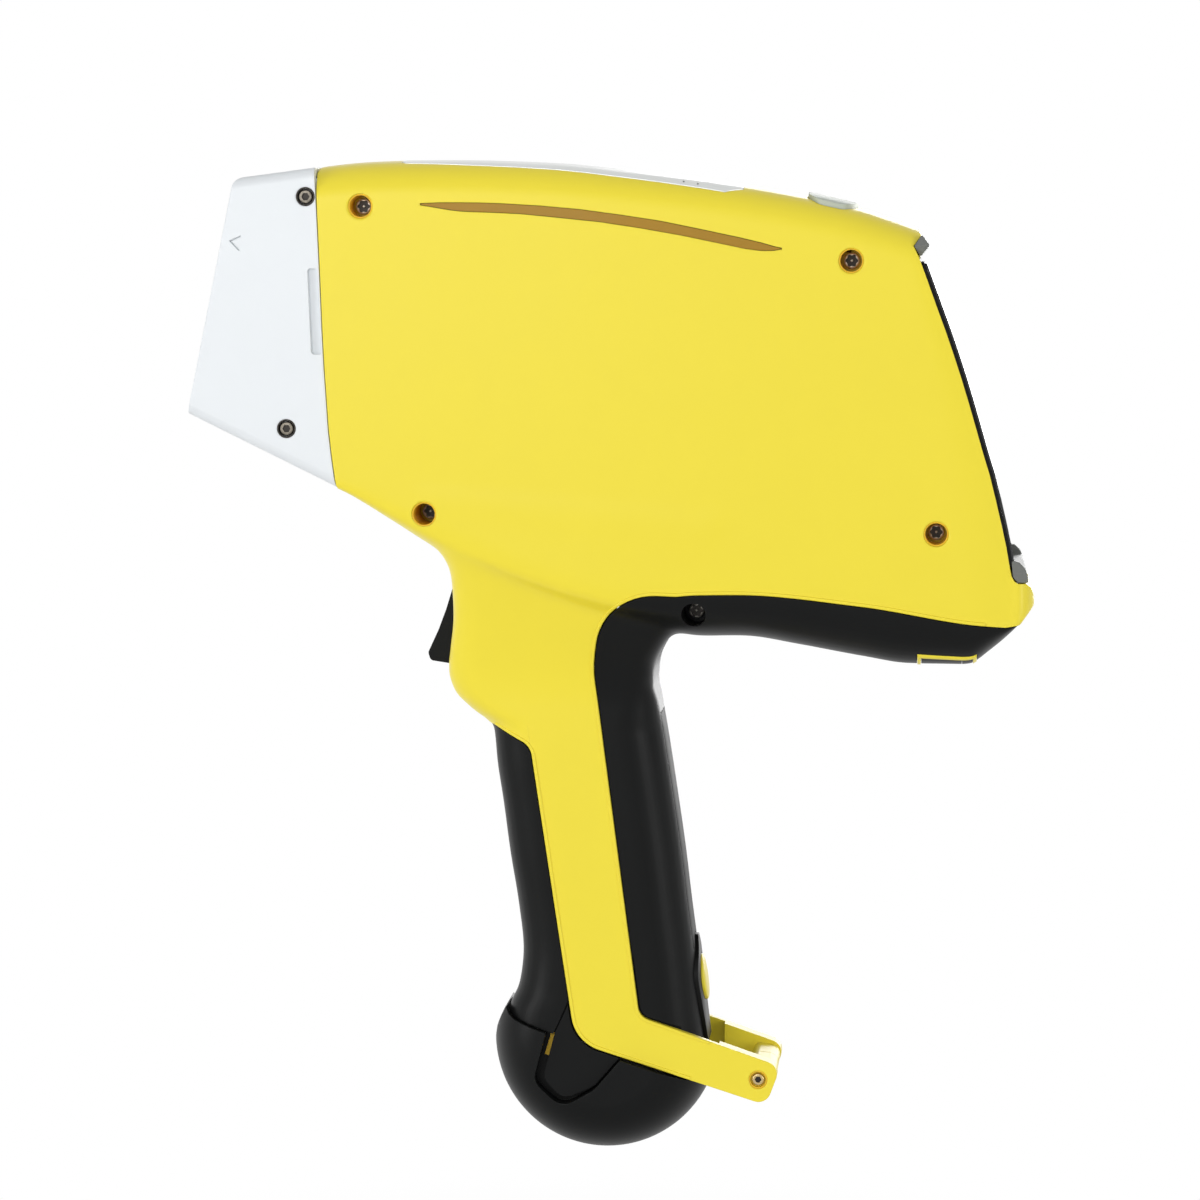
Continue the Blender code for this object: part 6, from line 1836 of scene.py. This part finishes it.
@dataclass
class Nose:
    """Silver nose with its slot and mark, and the front plate with the measuring window."""

    screws: Fasteners
    half_width: float = 0.0432
    taper: float = 0.050
    edge_radius: float = 0.0038
    front_top: Point = (-0.1114, 0.2135)
    front_bottom: Point = (-0.1270, 0.1385)
    top_slope: float = 0.130
    bottom_slope: float = -0.484
    wall: float = 0.0030
    plate_thickness: float = 0.0020
    rim: float = 0.0012
    window_radius: float = 0.0090
    slot: tuple[Point, ...] = ((-0.0877, 0.1849), (-0.0846, 0.1849), (-0.0831, 0.1577), (-0.0866, 0.1577))
    slot_corner: float = 0.0010
    slot_depth: float = 0.0016
    corner: float = 0.0040
    mark: tuple[Point, ...] = ((-0.1125, 0.1936), (-0.1094, 0.1950), (-0.1098, 0.1908))
    mark_width: float = 0.0004
    mark_depth: float = 0.0006
    taper_from: float = -0.0780
    out_of_way: float = 0.010

    def ring(self, x: float, inset: float) -> list[Triple]:
        """Section of the nose at x.

        Args:
            x: Place along the nose.
            inset: How far the section is drawn inwards.

        Returns:
            The closed section.
        """
        top = self.front_top[1] + self.top_slope * (x - self.front_top[0]) - inset
        low = self.front_bottom[1] + self.bottom_slope * (x - self.front_bottom[0]) + inset
        side = self.half_width - inset - self.taper * max(0.0, self.taper_from - x)
        radius = max(0.0008, self.edge_radius - inset)
        corner = []
        for k in range(13):
            angle = math.pi / 2 * k / 12
            corner.append((side - radius + radius * math.cos(angle), radius * (1 - math.sin(angle))))
        half = [(0.0, top), *((y, top - fall) for y, fall in reversed(corner))]
        half += [*((y, low + fall) for y, fall in corner), (0.0, low)]
        return [(x, y, z) for y, z in half] + [(x, -y, z) for y, z in reversed(half[1:-1])]

    def axis(self) -> Vector:
        """Direction out of the front face."""
        tilt = math.atan2(self.front_top[0] - self.front_bottom[0], self.front_top[1] - self.front_bottom[1])
        return Vector((-math.cos(tilt), 0.0, math.sin(tilt)))

    def front_region(self, back: float) -> list[Point]:
        """Outline of everything in front of the front face.

        Args:
            back: How far the face is moved back.

        Returns:
            The outline.
        """
        (tx, tz), (bx, bz) = self.front_top, self.front_bottom
        slope = (tx - bx) / (tz - bz)
        shift = back / math.cos(math.atan(slope))
        low, high = bx + slope * (-FAR - bz) + shift, tx + slope * (FAR - tz) + shift
        return [(-FAR, -FAR), (low, -FAR), (high, FAR), (-FAR, FAR)]

    def rear_region(self, shift: float) -> list[Point]:
        """Outline of everything behind the joint moved back by a shift."""
        line = joint_points(shift)
        return [*line, (FAR, line[-1][1]), (FAR, line[0][1])]

    def solid(self, inset: float, front: float, rear: float) -> Mesh:
        """Block of the nose.

        Args:
            inset: How far its skin is drawn inwards.
            front: How far its front is moved back.
            rear: How far its rear is moved back.

        Returns:
            The block.
        """
        made = loft([self.ring(x, inset) for x in (-0.140, -0.110, -0.070)])
        return cut(made, through(self.front_region(front)), through(self.rear_region(rear)))

    def side_view(self) -> list[Point]:
        """Outline of the nose from the side, with its top front corner rounded.

        Returns:
            The outline.
        """
        (fx, fz), (bx, bz) = self.front_top, self.front_bottom
        run = -0.060
        return rounded([
            (fx, fz, self.corner), (bx, bz), (run, bz + self.bottom_slope * (run - bx)),
            (run, fz + self.top_slope * (run - fx)),
        ])

    def window(self, radius: float, start: float, end: float) -> Mesh:
        """Round block on the window's axis.

        Args:
            radius: Its radius.
            start: Its start behind the front face.
            end: Its end behind the front face.

        Returns:
            The block.
        """
        (fx, fz), (bx, bz) = self.front_top, self.front_bottom
        base = Vector(((fx + bx) / 2, 0.0, (fz + bz) / 2)) - self.axis() * start
        return lathe([(radius, 0.0), (radius, end - start)], base, -self.axis(), 64)

    def housing(self) -> None:
        """Nose housing with its slot, mark, screw seats and the recess of the plate."""
        away = self.out_of_way
        shell = keep(self.solid(0.0, 0.0, -GAP), through(self.side_view()))
        softened(shell, 0.0004, 3, 40.0)
        cut(shell, self.solid(self.wall, self.plate_thickness + 0.0035, 0.020))
        cut(shell, self.solid(self.rim, -away, -0.0161))
        cut(shell, self.window(self.window_radius + 0.0060, -away, 0.012))
        slot = rounded([(*corner, self.slot_corner) for corner in self.slot])
        for side in Side:
            pocket = prism(slot, side.value * 0.030, side.value * 0.060)
            cut(pocket, self.solid(self.slot_depth, -away, away))
            cut(shell, softened(pocket, 0.0003, 2, 50.0))
        for end in self.mark[1:]:
            groove = prism(self.stroke(self.mark[0], end), -0.030, -0.060)
            cut(shell, cut(groove, self.solid(self.mark_depth, -away, away)))
        for _, x, z in self.screws.nose:
            for side in Side:
                surface = side.value * (self.half_width - self.taper * max(0.0, self.taper_from - x))
                seat = side.value * self.screws.nose_seat(x)
                cut(shell, hole_y((x, z), self.screws.nose_hole, surface, seat, 0.0003))
        place_piece(shell, "nose_casting", SILVER, ("nose_housing",), 40.0)

    def stroke(self, start: Point, end: Point) -> list[Point]:
        """Outline of a thin straight stroke of the mark.

        Args:
            start: Its first end.
            end: Its other end.

        Returns:
            The outline.
        """
        along = (Vector(end) - Vector(start)).normalized() * self.mark_width / 2
        across = Vector((-along.y, along.x))
        corners = (Vector(start) - along + across, Vector(start) - along - across,
                   Vector(end) + along - across, Vector(end) + along + across)
        return [tuple(c) for c in corners]

    def plate(self) -> None:
        """Front plate with the round window opening."""
        plate = self.solid(self.rim + GAP, 0.0003, -0.001)
        keep(plate, through(self.front_region(self.plate_thickness)), through(self.side_view()))
        softened(plate, 0.0004, 3, 40.0)
        cut(plate, self.window(self.window_radius, -self.out_of_way, self.out_of_way))
        step = self.plate_thickness - 0.0008
        cut(plate, self.window(self.window_radius + 0.0030, step, self.out_of_way))
        place_piece(plate, "nose_face", SILVER, ("nose_plate",), 40.0)

    def build(self) -> None:
        """Build the nose."""
        self.housing()
        self.plate()


@dataclass
class TopTrim:
    """Brushed plate, crescent side lights and the grey button of the top."""

    form: OuterForm
    plate_half: tuple[Point, ...] = (
        (-0.0588, 0.0320), (-0.0572, 0.0346), (-0.0368, 0.0362), (-0.0106, 0.0369), (0.0171, 0.0377),
        (0.0448, 0.0384), (0.0504, 0.0355),
    )
    plate_floor: float = 0.1950
    thickness: float = 0.0010
    proud: float = 0.00014
    play: float = 0.00012
    pinholes: tuple[Point, ...] = ((0.0316, 0.21230), (0.0361, 0.21160))
    lens_upper: tuple[Point, ...] = (
        (-0.0513, 0.20538), (-0.0450, 0.20561), (-0.0387, 0.20561), (-0.0324, 0.20554), (-0.0260, 0.20532),
        (-0.0134, 0.20458), (-0.0008, 0.20345), (0.0119, 0.20174), (0.0245, 0.19981), (0.0371, 0.19724),
        (0.0498, 0.19453), (0.0561, 0.19302), (0.0608, 0.19170), (0.0627, 0.19131),
    )
    lens_lower: tuple[Point, ...] = (
        (-0.0513, 0.20496), (-0.0481, 0.20448), (-0.0450, 0.20393), (-0.0418, 0.20342), (-0.0387, 0.20303),
        (-0.0355, 0.20284), (-0.0292, 0.20265), (-0.0197, 0.20220), (-0.0071, 0.20097), (0.0055, 0.19965),
        (0.0182, 0.19772), (0.0308, 0.19550), (0.0434, 0.19289), (0.0513, 0.19121), (0.0561, 0.19060),
        (0.0599, 0.19060), (0.0627, 0.19105),
    )
    lens_depth: float = 0.0026
    button_middle: float = 0.0781
    button_half: Point = (0.0078, 0.0360)
    button_proud: float = 0.0014
    button_depth: float = 0.0021
    button_floor: float = 0.1900
    pin_radius: float = 0.00028

    def upright(self, outline: Sequence[Point], floor: float) -> Mesh:
        """Block over an outline seen from above, from a floor up past the top."""
        return loft([[(x, y, z) for x, y in outline] for z in (floor, 0.30)])

    def plate_outline(self, grow: float) -> list[Point]:
        """Outline of the plate seen from above.

        Args:
            grow: Clearance by which it is grown.

        Returns:
            The outline as (x, y).
        """
        half = [(x, y + grow) for x, y in self.plate_half]
        half[0] = (half[0][0] - grow, half[0][1])
        half[-1] = (half[-1][0] + grow, half[-1][1])
        return half + [(x, -y) for x, y in reversed(half)]

    def layer(self, outline: Sequence[Point], floor: float, top: float, bottom: float) -> Mesh:
        """Layer of the skin under an outline, between two offsets from the skin."""
        return cut(keep(self.upright(outline, floor), self.form.skin(top)), self.form.skin(bottom))

    def plate(self) -> Mesh:
        """Brushed plate that wraps over the edges of the top.

        Returns:
            The plate.
        """
        plate = self.layer(self.plate_outline(0.0), self.plate_floor, self.proud, -self.thickness)
        radius = self.pin_radius
        for place in self.pinholes:
            cut(plate, turned_y([(radius, 0.0), (radius, 0.012)], place, -0.034, steps=16))
        return plate

    def button_outline(self, grow: float) -> list[Point]:
        """Long oval of the button seen from above.

        Args:
            grow: Clearance by which it is grown.

        Returns:
            The outline as (x, y).
        """
        points = []
        for angle in np.linspace(0.0, 2 * math.pi, 96, endpoint=False):
            cos, sin = math.cos(angle), math.sin(angle)
            wide = math.copysign(abs(cos) ** 0.45, cos) * (self.button_half[0] + grow)
            long = math.copysign(abs(sin) ** 0.60, sin) * (self.button_half[1] + grow)
            points.append((self.button_middle + wide, long))
        return points

    def lens_outline(self, grow: float) -> list[Point]:
        """Slender crescent of the side light.

        Args:
            grow: Clearance by which it is grown.

        Returns:
            The outline as (x, z).
        """
        spread = [(x, z + grow) for x, z in self.lens_upper]
        spread += [(x, z - grow) for x, z in reversed(self.lens_lower)]
        middle = (self.lens_upper[0][0] + self.lens_upper[-1][0]) / 2
        reach = self.lens_upper[-1][0] - middle
        return [(x + 2 * grow * (x - middle) / reach, z) for x, z in spread]

    def cut_recesses(self, shell: Mesh, side: Side) -> None:
        """Cut the recesses of the top trim into a shell.

        Args:
            shell: The shell.
            side: Its side.
        """
        cut(shell, self.layer(self.plate_outline(self.play), self.plate_floor, 0.0030, -self.thickness - GAP))
        near, far = (side.value * (self.form.half_width + step) for step in (-0.010, 0.010))
        cut(shell, prism(self.lens_outline(self.play), near, far))
        cut(shell, self.upright(self.button_outline(GAP), self.button_floor))

    def lens(self, side: Side) -> Mesh:
        """Crescent lens that follows the shell's surface just below it.

        Args:
            side: Side of the instrument.

        Returns:
            The lens.
        """
        outer = side.value * (self.form.half_width + 0.01)
        inner = side.value * (self.form.half_width - self.lens_depth - 0.0008)
        return keep(prism(self.lens_outline(0.0), inner, outer), self.form.skin(-0.00030))

    def build(self) -> None:
        """Build plate, lenses and button."""
        place_piece(self.plate(), "top_plate_brushed", BRUSHED, ("top_plate",), 40.0)
        for side in Side:
            node = f"light_lens_{side.label}"
            place_piece(self.lens(side), f"lens_{side.label}", AMBER, (node,))
        outline = self.button_outline(0.0)
        button = self.layer(outline, self.button_floor, self.button_proud, -self.button_depth)
        place_piece(button, "top_key", BUTTON_GREY, ("top_button",), 40.0, Body.TOP_BUTTON)


@dataclass
class Display:
    """Grey frame with its guards, black bezel and cover glass on the rear."""

    form: OuterForm
    inset: float = 0.0013
    bezel: tuple[float, float] = (0.00004, 0.00094)
    glass: tuple[float, float] = (0.00096, 0.0017)
    screen_margin: Point = (0.0060, 0.0110)
    frame_depth: float = 0.0050
    guard_reach: float = 0.006
    upper_guard: tuple[tuple[float, ...], ...] = (
        (0.1068, 0.1956, 0.0004), (0.1092, 0.1922, 0.0007), (0.1064, 0.1886, 0.0004), (0.1044, 0.1920),
    )
    lower_guard: tuple[tuple[float, ...], ...] = (
        (0.1356, 0.0932, 0.0005), (0.1382, 0.0926, 0.0012), (0.1399, 0.0908, 0.0012),
        (0.1408, 0.0886, 0.0010), (0.1410, 0.0862, 0.0004), (0.1380, 0.0861), (0.1369, 0.0869),
        (0.1361, 0.0882),
    )

    def line(self, offset: float) -> list[Point]:
        """The display's edge moved out of the instrument by a distance."""
        return shifted(self.form.display_edge, offset)

    def sheet(self, span: Point, half: float, trim: Point, corner: float) -> Mesh:
        """Bent sheet over the display's edge with rounded corners.

        Args:
            span: Its back and front, measured outwards from the edge.
            half: Half its width.
            trim: How much shorter than the edge it is at the top and at the bottom.
            corner: Radius of its corners.

        Returns:
            The sheet.
        """
        made = prism(self.line(span[0]) + self.line(span[1])[::-1], -half, half)
        top = self.form.display_edge[0][1] - trim[0]
        low = self.form.display_edge[-1][1] + trim[1]
        corners = ((-half, low), (half, low), (half, top), (-half, top))
        keep(made, along_x(rounded([(y, z, corner) for y, z in corners]), 0.05, 0.20))
        keep(made, self.form.skin(half - self.form.half_width + 0.0006))
        return softened(made, 0.00016, 2, 50.0)

    def guard(self, outline: Corners, ridge: float, fall: float) -> Mesh:
        """Guard across the rear whose ends fall away above and below a ridge.

        Args:
            outline: Its outline from the side.
            ridge: Height of the ridge at its ends.
            fall: How far the ends fall away.

        Returns:
            The guard.
        """
        wide, reach = self.form.half_width - self.inset, self.guard_reach
        section = [
            (wide, ridge), (wide - fall, ridge + reach), (fall - wide, ridge + reach),
            (-wide, ridge), (fall - wide, ridge - reach), (wide - fall, ridge - reach),
        ]
        guard = prism(rounded(outline), -wide, wide)
        return keep(guard, along_x(section, 0.09, 0.15))

    def surround(self) -> Mesh:
        """Frame behind the glass, between the shells.

        Returns:
            The frame.
        """
        half = self.form.half_width - 0.0036
        made = prism(self.line(0.00002) + self.line(-self.frame_depth)[::-1], -half, half)
        margin = self.screen_margin[0]
        cut(made, block((0.0, margin - half, 0.1050), (FAR, half - margin, 0.1780)))
        return keep(made, self.form.cavity(0.0028))

    def build(self) -> None:
        """Build the frame, bezel, glass and screen."""
        half = self.form.half_width - self.inset
        bezel = self.sheet(self.bezel, half, (0.0010, 0.0003), 0.0030)
        glass = self.sheet(self.glass, half - 0.0004, (0.0013, 0.0005), 0.0028)
        wide, tall = half - self.screen_margin[0], self.screen_margin[1]
        screen = self.sheet((self.glass[1] - 0.0002, self.glass[1] + 0.00004), wide, (tall, tall), 0.0012)
        surround = self.surround()
        upper = self.guard(self.upper_guard, 0.1921, 0.0034)
        lower = self.guard(self.lower_guard, 0.0893, 0.0022)
        cut(lower, block((0.10, -0.036, 0.0896), (0.20, 0.036, 0.12)))
        for piece, name, finish, slot, nodes in (
            (surround, "display_surround", BLACK, Slot.BLACK, ("display_frame",)),
            (softened(upper, 0.00025, 2, 20.0), "display_guard_upper", GREY, Slot.GREY, ()),
            (softened(lower, 0.00025, 2, 20.0), "display_guard_lower", GREY, Slot.GREY, ()),
            (bezel, "display_border", BLACK, Slot.BLACK, ("display_bezel",)),
            (glass, "display_cover", GLASS, Slot.GLASS, ("display_glass",)),
            (screen, "display_picture_area", SCREEN, Slot.GLASS, ()),
        ):
            place_piece(piece, name, finish, nodes, 40.0)


@dataclass
class PortDoor:
    """Door under the belly, the yellow trim round it and the fixed bar behind its hinge."""

    form: OuterForm
    front: float = 0.1062
    rear: float = 0.1250
    half_width: float = 0.0355
    top: float = 0.0700
    trim: float = 0.0011
    hinge: float = 0.1203
    play: float = 0.00015
    sunk: float = 0.00035
    thickness: float = 0.0016

    def span(self, grow: float, front: float, rear: float) -> Mesh:
        """Block across the belly between two places, grown by a clearance."""
        wide = self.half_width + grow
        return block((front - grow, -wide, 0.045), (rear + grow, wide, self.top))

    def layer(self, region: Mesh, top: float) -> Mesh:
        """Layer of the belly inside a region, from an offset down by the thickness."""
        return cut(keep(region, self.form.skin(top)), self.form.skin(top - self.thickness))

    def opening(self) -> Mesh:
        """Block that opens the rear cover for the trim and the door."""
        return cut(self.span(self.play, self.front, self.rear), self.form.skin(-self.thickness - 0.0012))

    def build(self) -> None:
        """Build trim, door and bar."""
        trim = self.layer(self.span(0.0, self.front, self.rear), 0.0)
        cut(trim, self.span(-self.trim, self.front, self.rear))
        place_piece(trim, "port_surround", YELLOW, ("port_trim",), 40.0)
        inset = self.trim + self.play
        door = self.layer(self.span(-inset, self.front, self.hinge + inset), -self.sunk)
        place_piece(door, "port_flap", BLACK, ("port_door",), 40.0, Body.PORT_DOOR)
        bar = self.layer(self.span(-inset, self.hinge + self.play - inset, self.rear), -self.sunk)
        place_piece(bar, "port_hinge_bar", BLACK, (), 40.0)


@dataclass
class Trigger:
    """Trigger with its hollow front face."""

    half_width: float = 0.0070
    outline: tuple[tuple[float, ...], ...] = (
        (-0.0432, 0.0885, 0.0030), (-0.0460, 0.0800), (-0.0480, 0.0735), (-0.0505, 0.0668),
        (-0.0540, 0.0592, 0.0015), (-0.0532, 0.0566, 0.0015), (-0.0380, 0.0543, 0.0015), (-0.0365, 0.0620),
        (-0.0362, 0.0880, 0.0020),
    )

    def build(self) -> None:
        """Build the trigger with rounded edges."""
        trigger = prism(rounded(self.outline), -self.half_width, self.half_width)
        softened(trigger, 0.0010, 4, 40.0)
        place_piece(trigger, "trigger_lever", BLACK, ("trigger",), 40.0, Body.TRIGGER)


@dataclass
class Insides:
    """Finishes of the CAD nodes that keep their shape."""

    finishes: tuple[tuple[Finish, str], ...] = (
        (BLACK, "handle_core battery_pack terminal_block camera_module buzzer port_block trigger_switch"),
        (COPPER, "battery_contacts filter_wheel"),
        (FILM, "window_film"),
        (ALUMINIUM, "window_ring front_frame measuring_head tube_clamp chassis heat_sink"),
        (STEEL, "filter_motor xray_tube detector trigger_pin"),
        (GREY, "hv_supply"),
        (BOARD, "main_board power_board light_board_left light_board_right button_board display_board"),
        (GLASS, "screen_panel"),
    )

    def build(self) -> None:
        """Give each kept node its finish."""
        for finish, names in self.finishes:
            for name in names.split():
                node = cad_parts[name]
                node.data.materials.clear()
                node.data.materials.append(finish.material())
                LOG.info("%s keeps its CAD shape, finish %s", name, finish.name)


@dataclass
class Studio:
    """Floor, soft lamps, plain world and the camera of the photograph."""

    floor_z: float = -0.2170
    shadow_reach: Point = (0.10, 0.45)
    least_glow: float = 0.60
    camera_place: Triple = (0.1129, -1.3203, 0.1921)
    camera_target: Triple = (0.0020, 0.0, 0.0762)
    lens: float = 121.5
    world_level: float = 0.48
    pale: float = 0.93
    aim: Triple = (0.0, 0.0, 0.08)
    lamps: tuple[tuple[str, Triple, float, float], ...] = (
        ("left", (-1.7, -1.1, 0.20), 0.9, 12.0), ("right", (1.7, -1.1, 0.15), 0.9, 9.0),
        ("front", (-0.6, -2.2, 0.50), 0.9, 9.0), ("back", (0.5, 2.1, 0.30), 1.2, 14.0),
    )

    @staticmethod
    def seen(tree: Tree) -> Socket:
        """1 for rays from the camera, from reflections and through glass.

        Args:
            tree: Tree to build in.

        Returns:
            The socket with the value.
        """
        path = add_node(tree, "ShaderNodeLightPath", {}).outputs
        value = path["Is Camera Ray"]
        for name in ("Is Glossy Ray", "Is Transmission Ray"):
            value = add_node(tree, "ShaderNodeMath", {0: value, 1: path[name]}, "MAXIMUM").outputs[0]
        return value

    def floor(self) -> None:
        """Wide white floor that keeps the object's shadow near its foot."""
        bm = bmesh.new()
        bmesh.ops.create_grid(bm, x_segments=8, y_segments=8, size=12.0)
        ground = to_object(bm, "studio_floor")
        ground.location = (0.0, 0.0, self.floor_z)
        material = bpy.data.materials.new("pale_floor")
        material.use_nodes = True
        tree = material.node_tree
        shader = feed(tree, tree.nodes["Principled BSDF"], {
            "Base Color": (self.pale, self.pale, self.pale, 1.0), "Roughness": 0.8, "Specular IOR Level": 0.1,
        })
        glow = add_node(tree, "ShaderNodeEmission", {"Color": (1.0, 1.0, 1.0, 1.0)})
        distance = add_node(tree, "ShaderNodeVectorMath", {0: own_place(tree)}, "LENGTH").outputs["Value"]
        near, far = self.shadow_reach
        fade = add_node(tree, "ShaderNodeMapRange", {
            "Value": distance, "From Min": near, "From Max": far, "To Min": self.least_glow,
        })
        fade.interpolation_type = "SMOOTHSTEP"
        share = add_node(tree, "ShaderNodeMath", {0: fade.outputs[0], 1: self.seen(tree)}, "MULTIPLY")
        mix = {0: share.outputs[0], 1: shader.outputs[0], 2: glow.outputs[0]}
        surface = add_node(tree, "ShaderNodeMixShader", mix).outputs[0]
        feed(tree, tree.nodes["Material Output"], {"Surface": surface})
        ground.data.materials.append(material)

    def world(self) -> None:
        """World that is white to the eye and in reflections, and softer as a light."""
        world = bpy.data.worlds.new("studio")
        world.use_nodes = True
        tree = world.node_tree
        tree.nodes.clear()
        mix = {0: self.seen(tree)}
        for slot, strength in ((1, self.world_level), (2, 1.0)):
            values = {"Color": (1.0, 1.0, 1.0, 1.0), "Strength": strength}
            mix[slot] = add_node(tree, "ShaderNodeBackground", values).outputs[0]
        surface = add_node(tree, "ShaderNodeMixShader", mix).outputs[0]
        add_node(tree, "ShaderNodeOutputWorld", {"Surface": surface})
        bpy.context.scene.world = world

    @staticmethod
    def stand(name: str, data: bpy.types.ID, place: Triple, target: Triple) -> bpy.types.Object:
        """Put a lamp or a camera at a place, facing a point.

        Args:
            name: Name of the object.
            data: The lamp or the camera.
            place: Where it stands.
            target: Point that it faces.

        Returns:
            The object.
        """
        made = bpy.data.objects.new(name, data)
        made.location = place
        made.rotation_mode = "QUATERNION"
        made.rotation_quaternion = (Vector(target) - Vector(place)).to_track_quat("-Z", "Y")
        bpy.context.scene.collection.objects.link(made)
        return made

    def light(self) -> None:
        """Soft square lamps round the instrument."""
        for name, place, size, power in self.lamps:
            data = bpy.data.lights.new(name, "AREA")
            data.energy = power
            data.size = size
            self.stand(name, data, place, self.aim)

    def camera(self) -> None:
        """Camera at the photograph's place."""
        data = bpy.data.cameras.new("photo_camera")
        data.lens = self.lens
        data.sensor_width = 36.0
        data.clip_start = 0.05
        data.clip_end = 60.0
        bpy.context.scene.camera = self.stand("photo_camera", data, self.camera_place, self.camera_target)

    def build(self) -> None:
        """Set up the studio."""
        bpy.context.scene.view_settings.view_transform = "Standard"
        self.floor()
        self.world()
        self.light()
        self.camera()


def main() -> None:
    """Build every sub-assembly in order and report each piece."""
    logging.basicConfig(level=logging.INFO, format="%(name)s %(message)s")
    form = OuterForm()
    base = form.build()
    LOG.info("form: %d faces", len(base.data.polygons))
    borders, screws = Borders(form), Fasteners(form)
    housings = Housings(form, borders, screws)
    assemblies = (
        housings, GripCovers(housings), BatteryFoot(borders), Nose(screws), TopTrim(form), Display(form),
        PortDoor(form), Trigger(), Insides(), Studio(), screws,
    )
    for assembly in assemblies:
        assembly.build()
    drop(base)


if __name__ == "__main__":
    main()
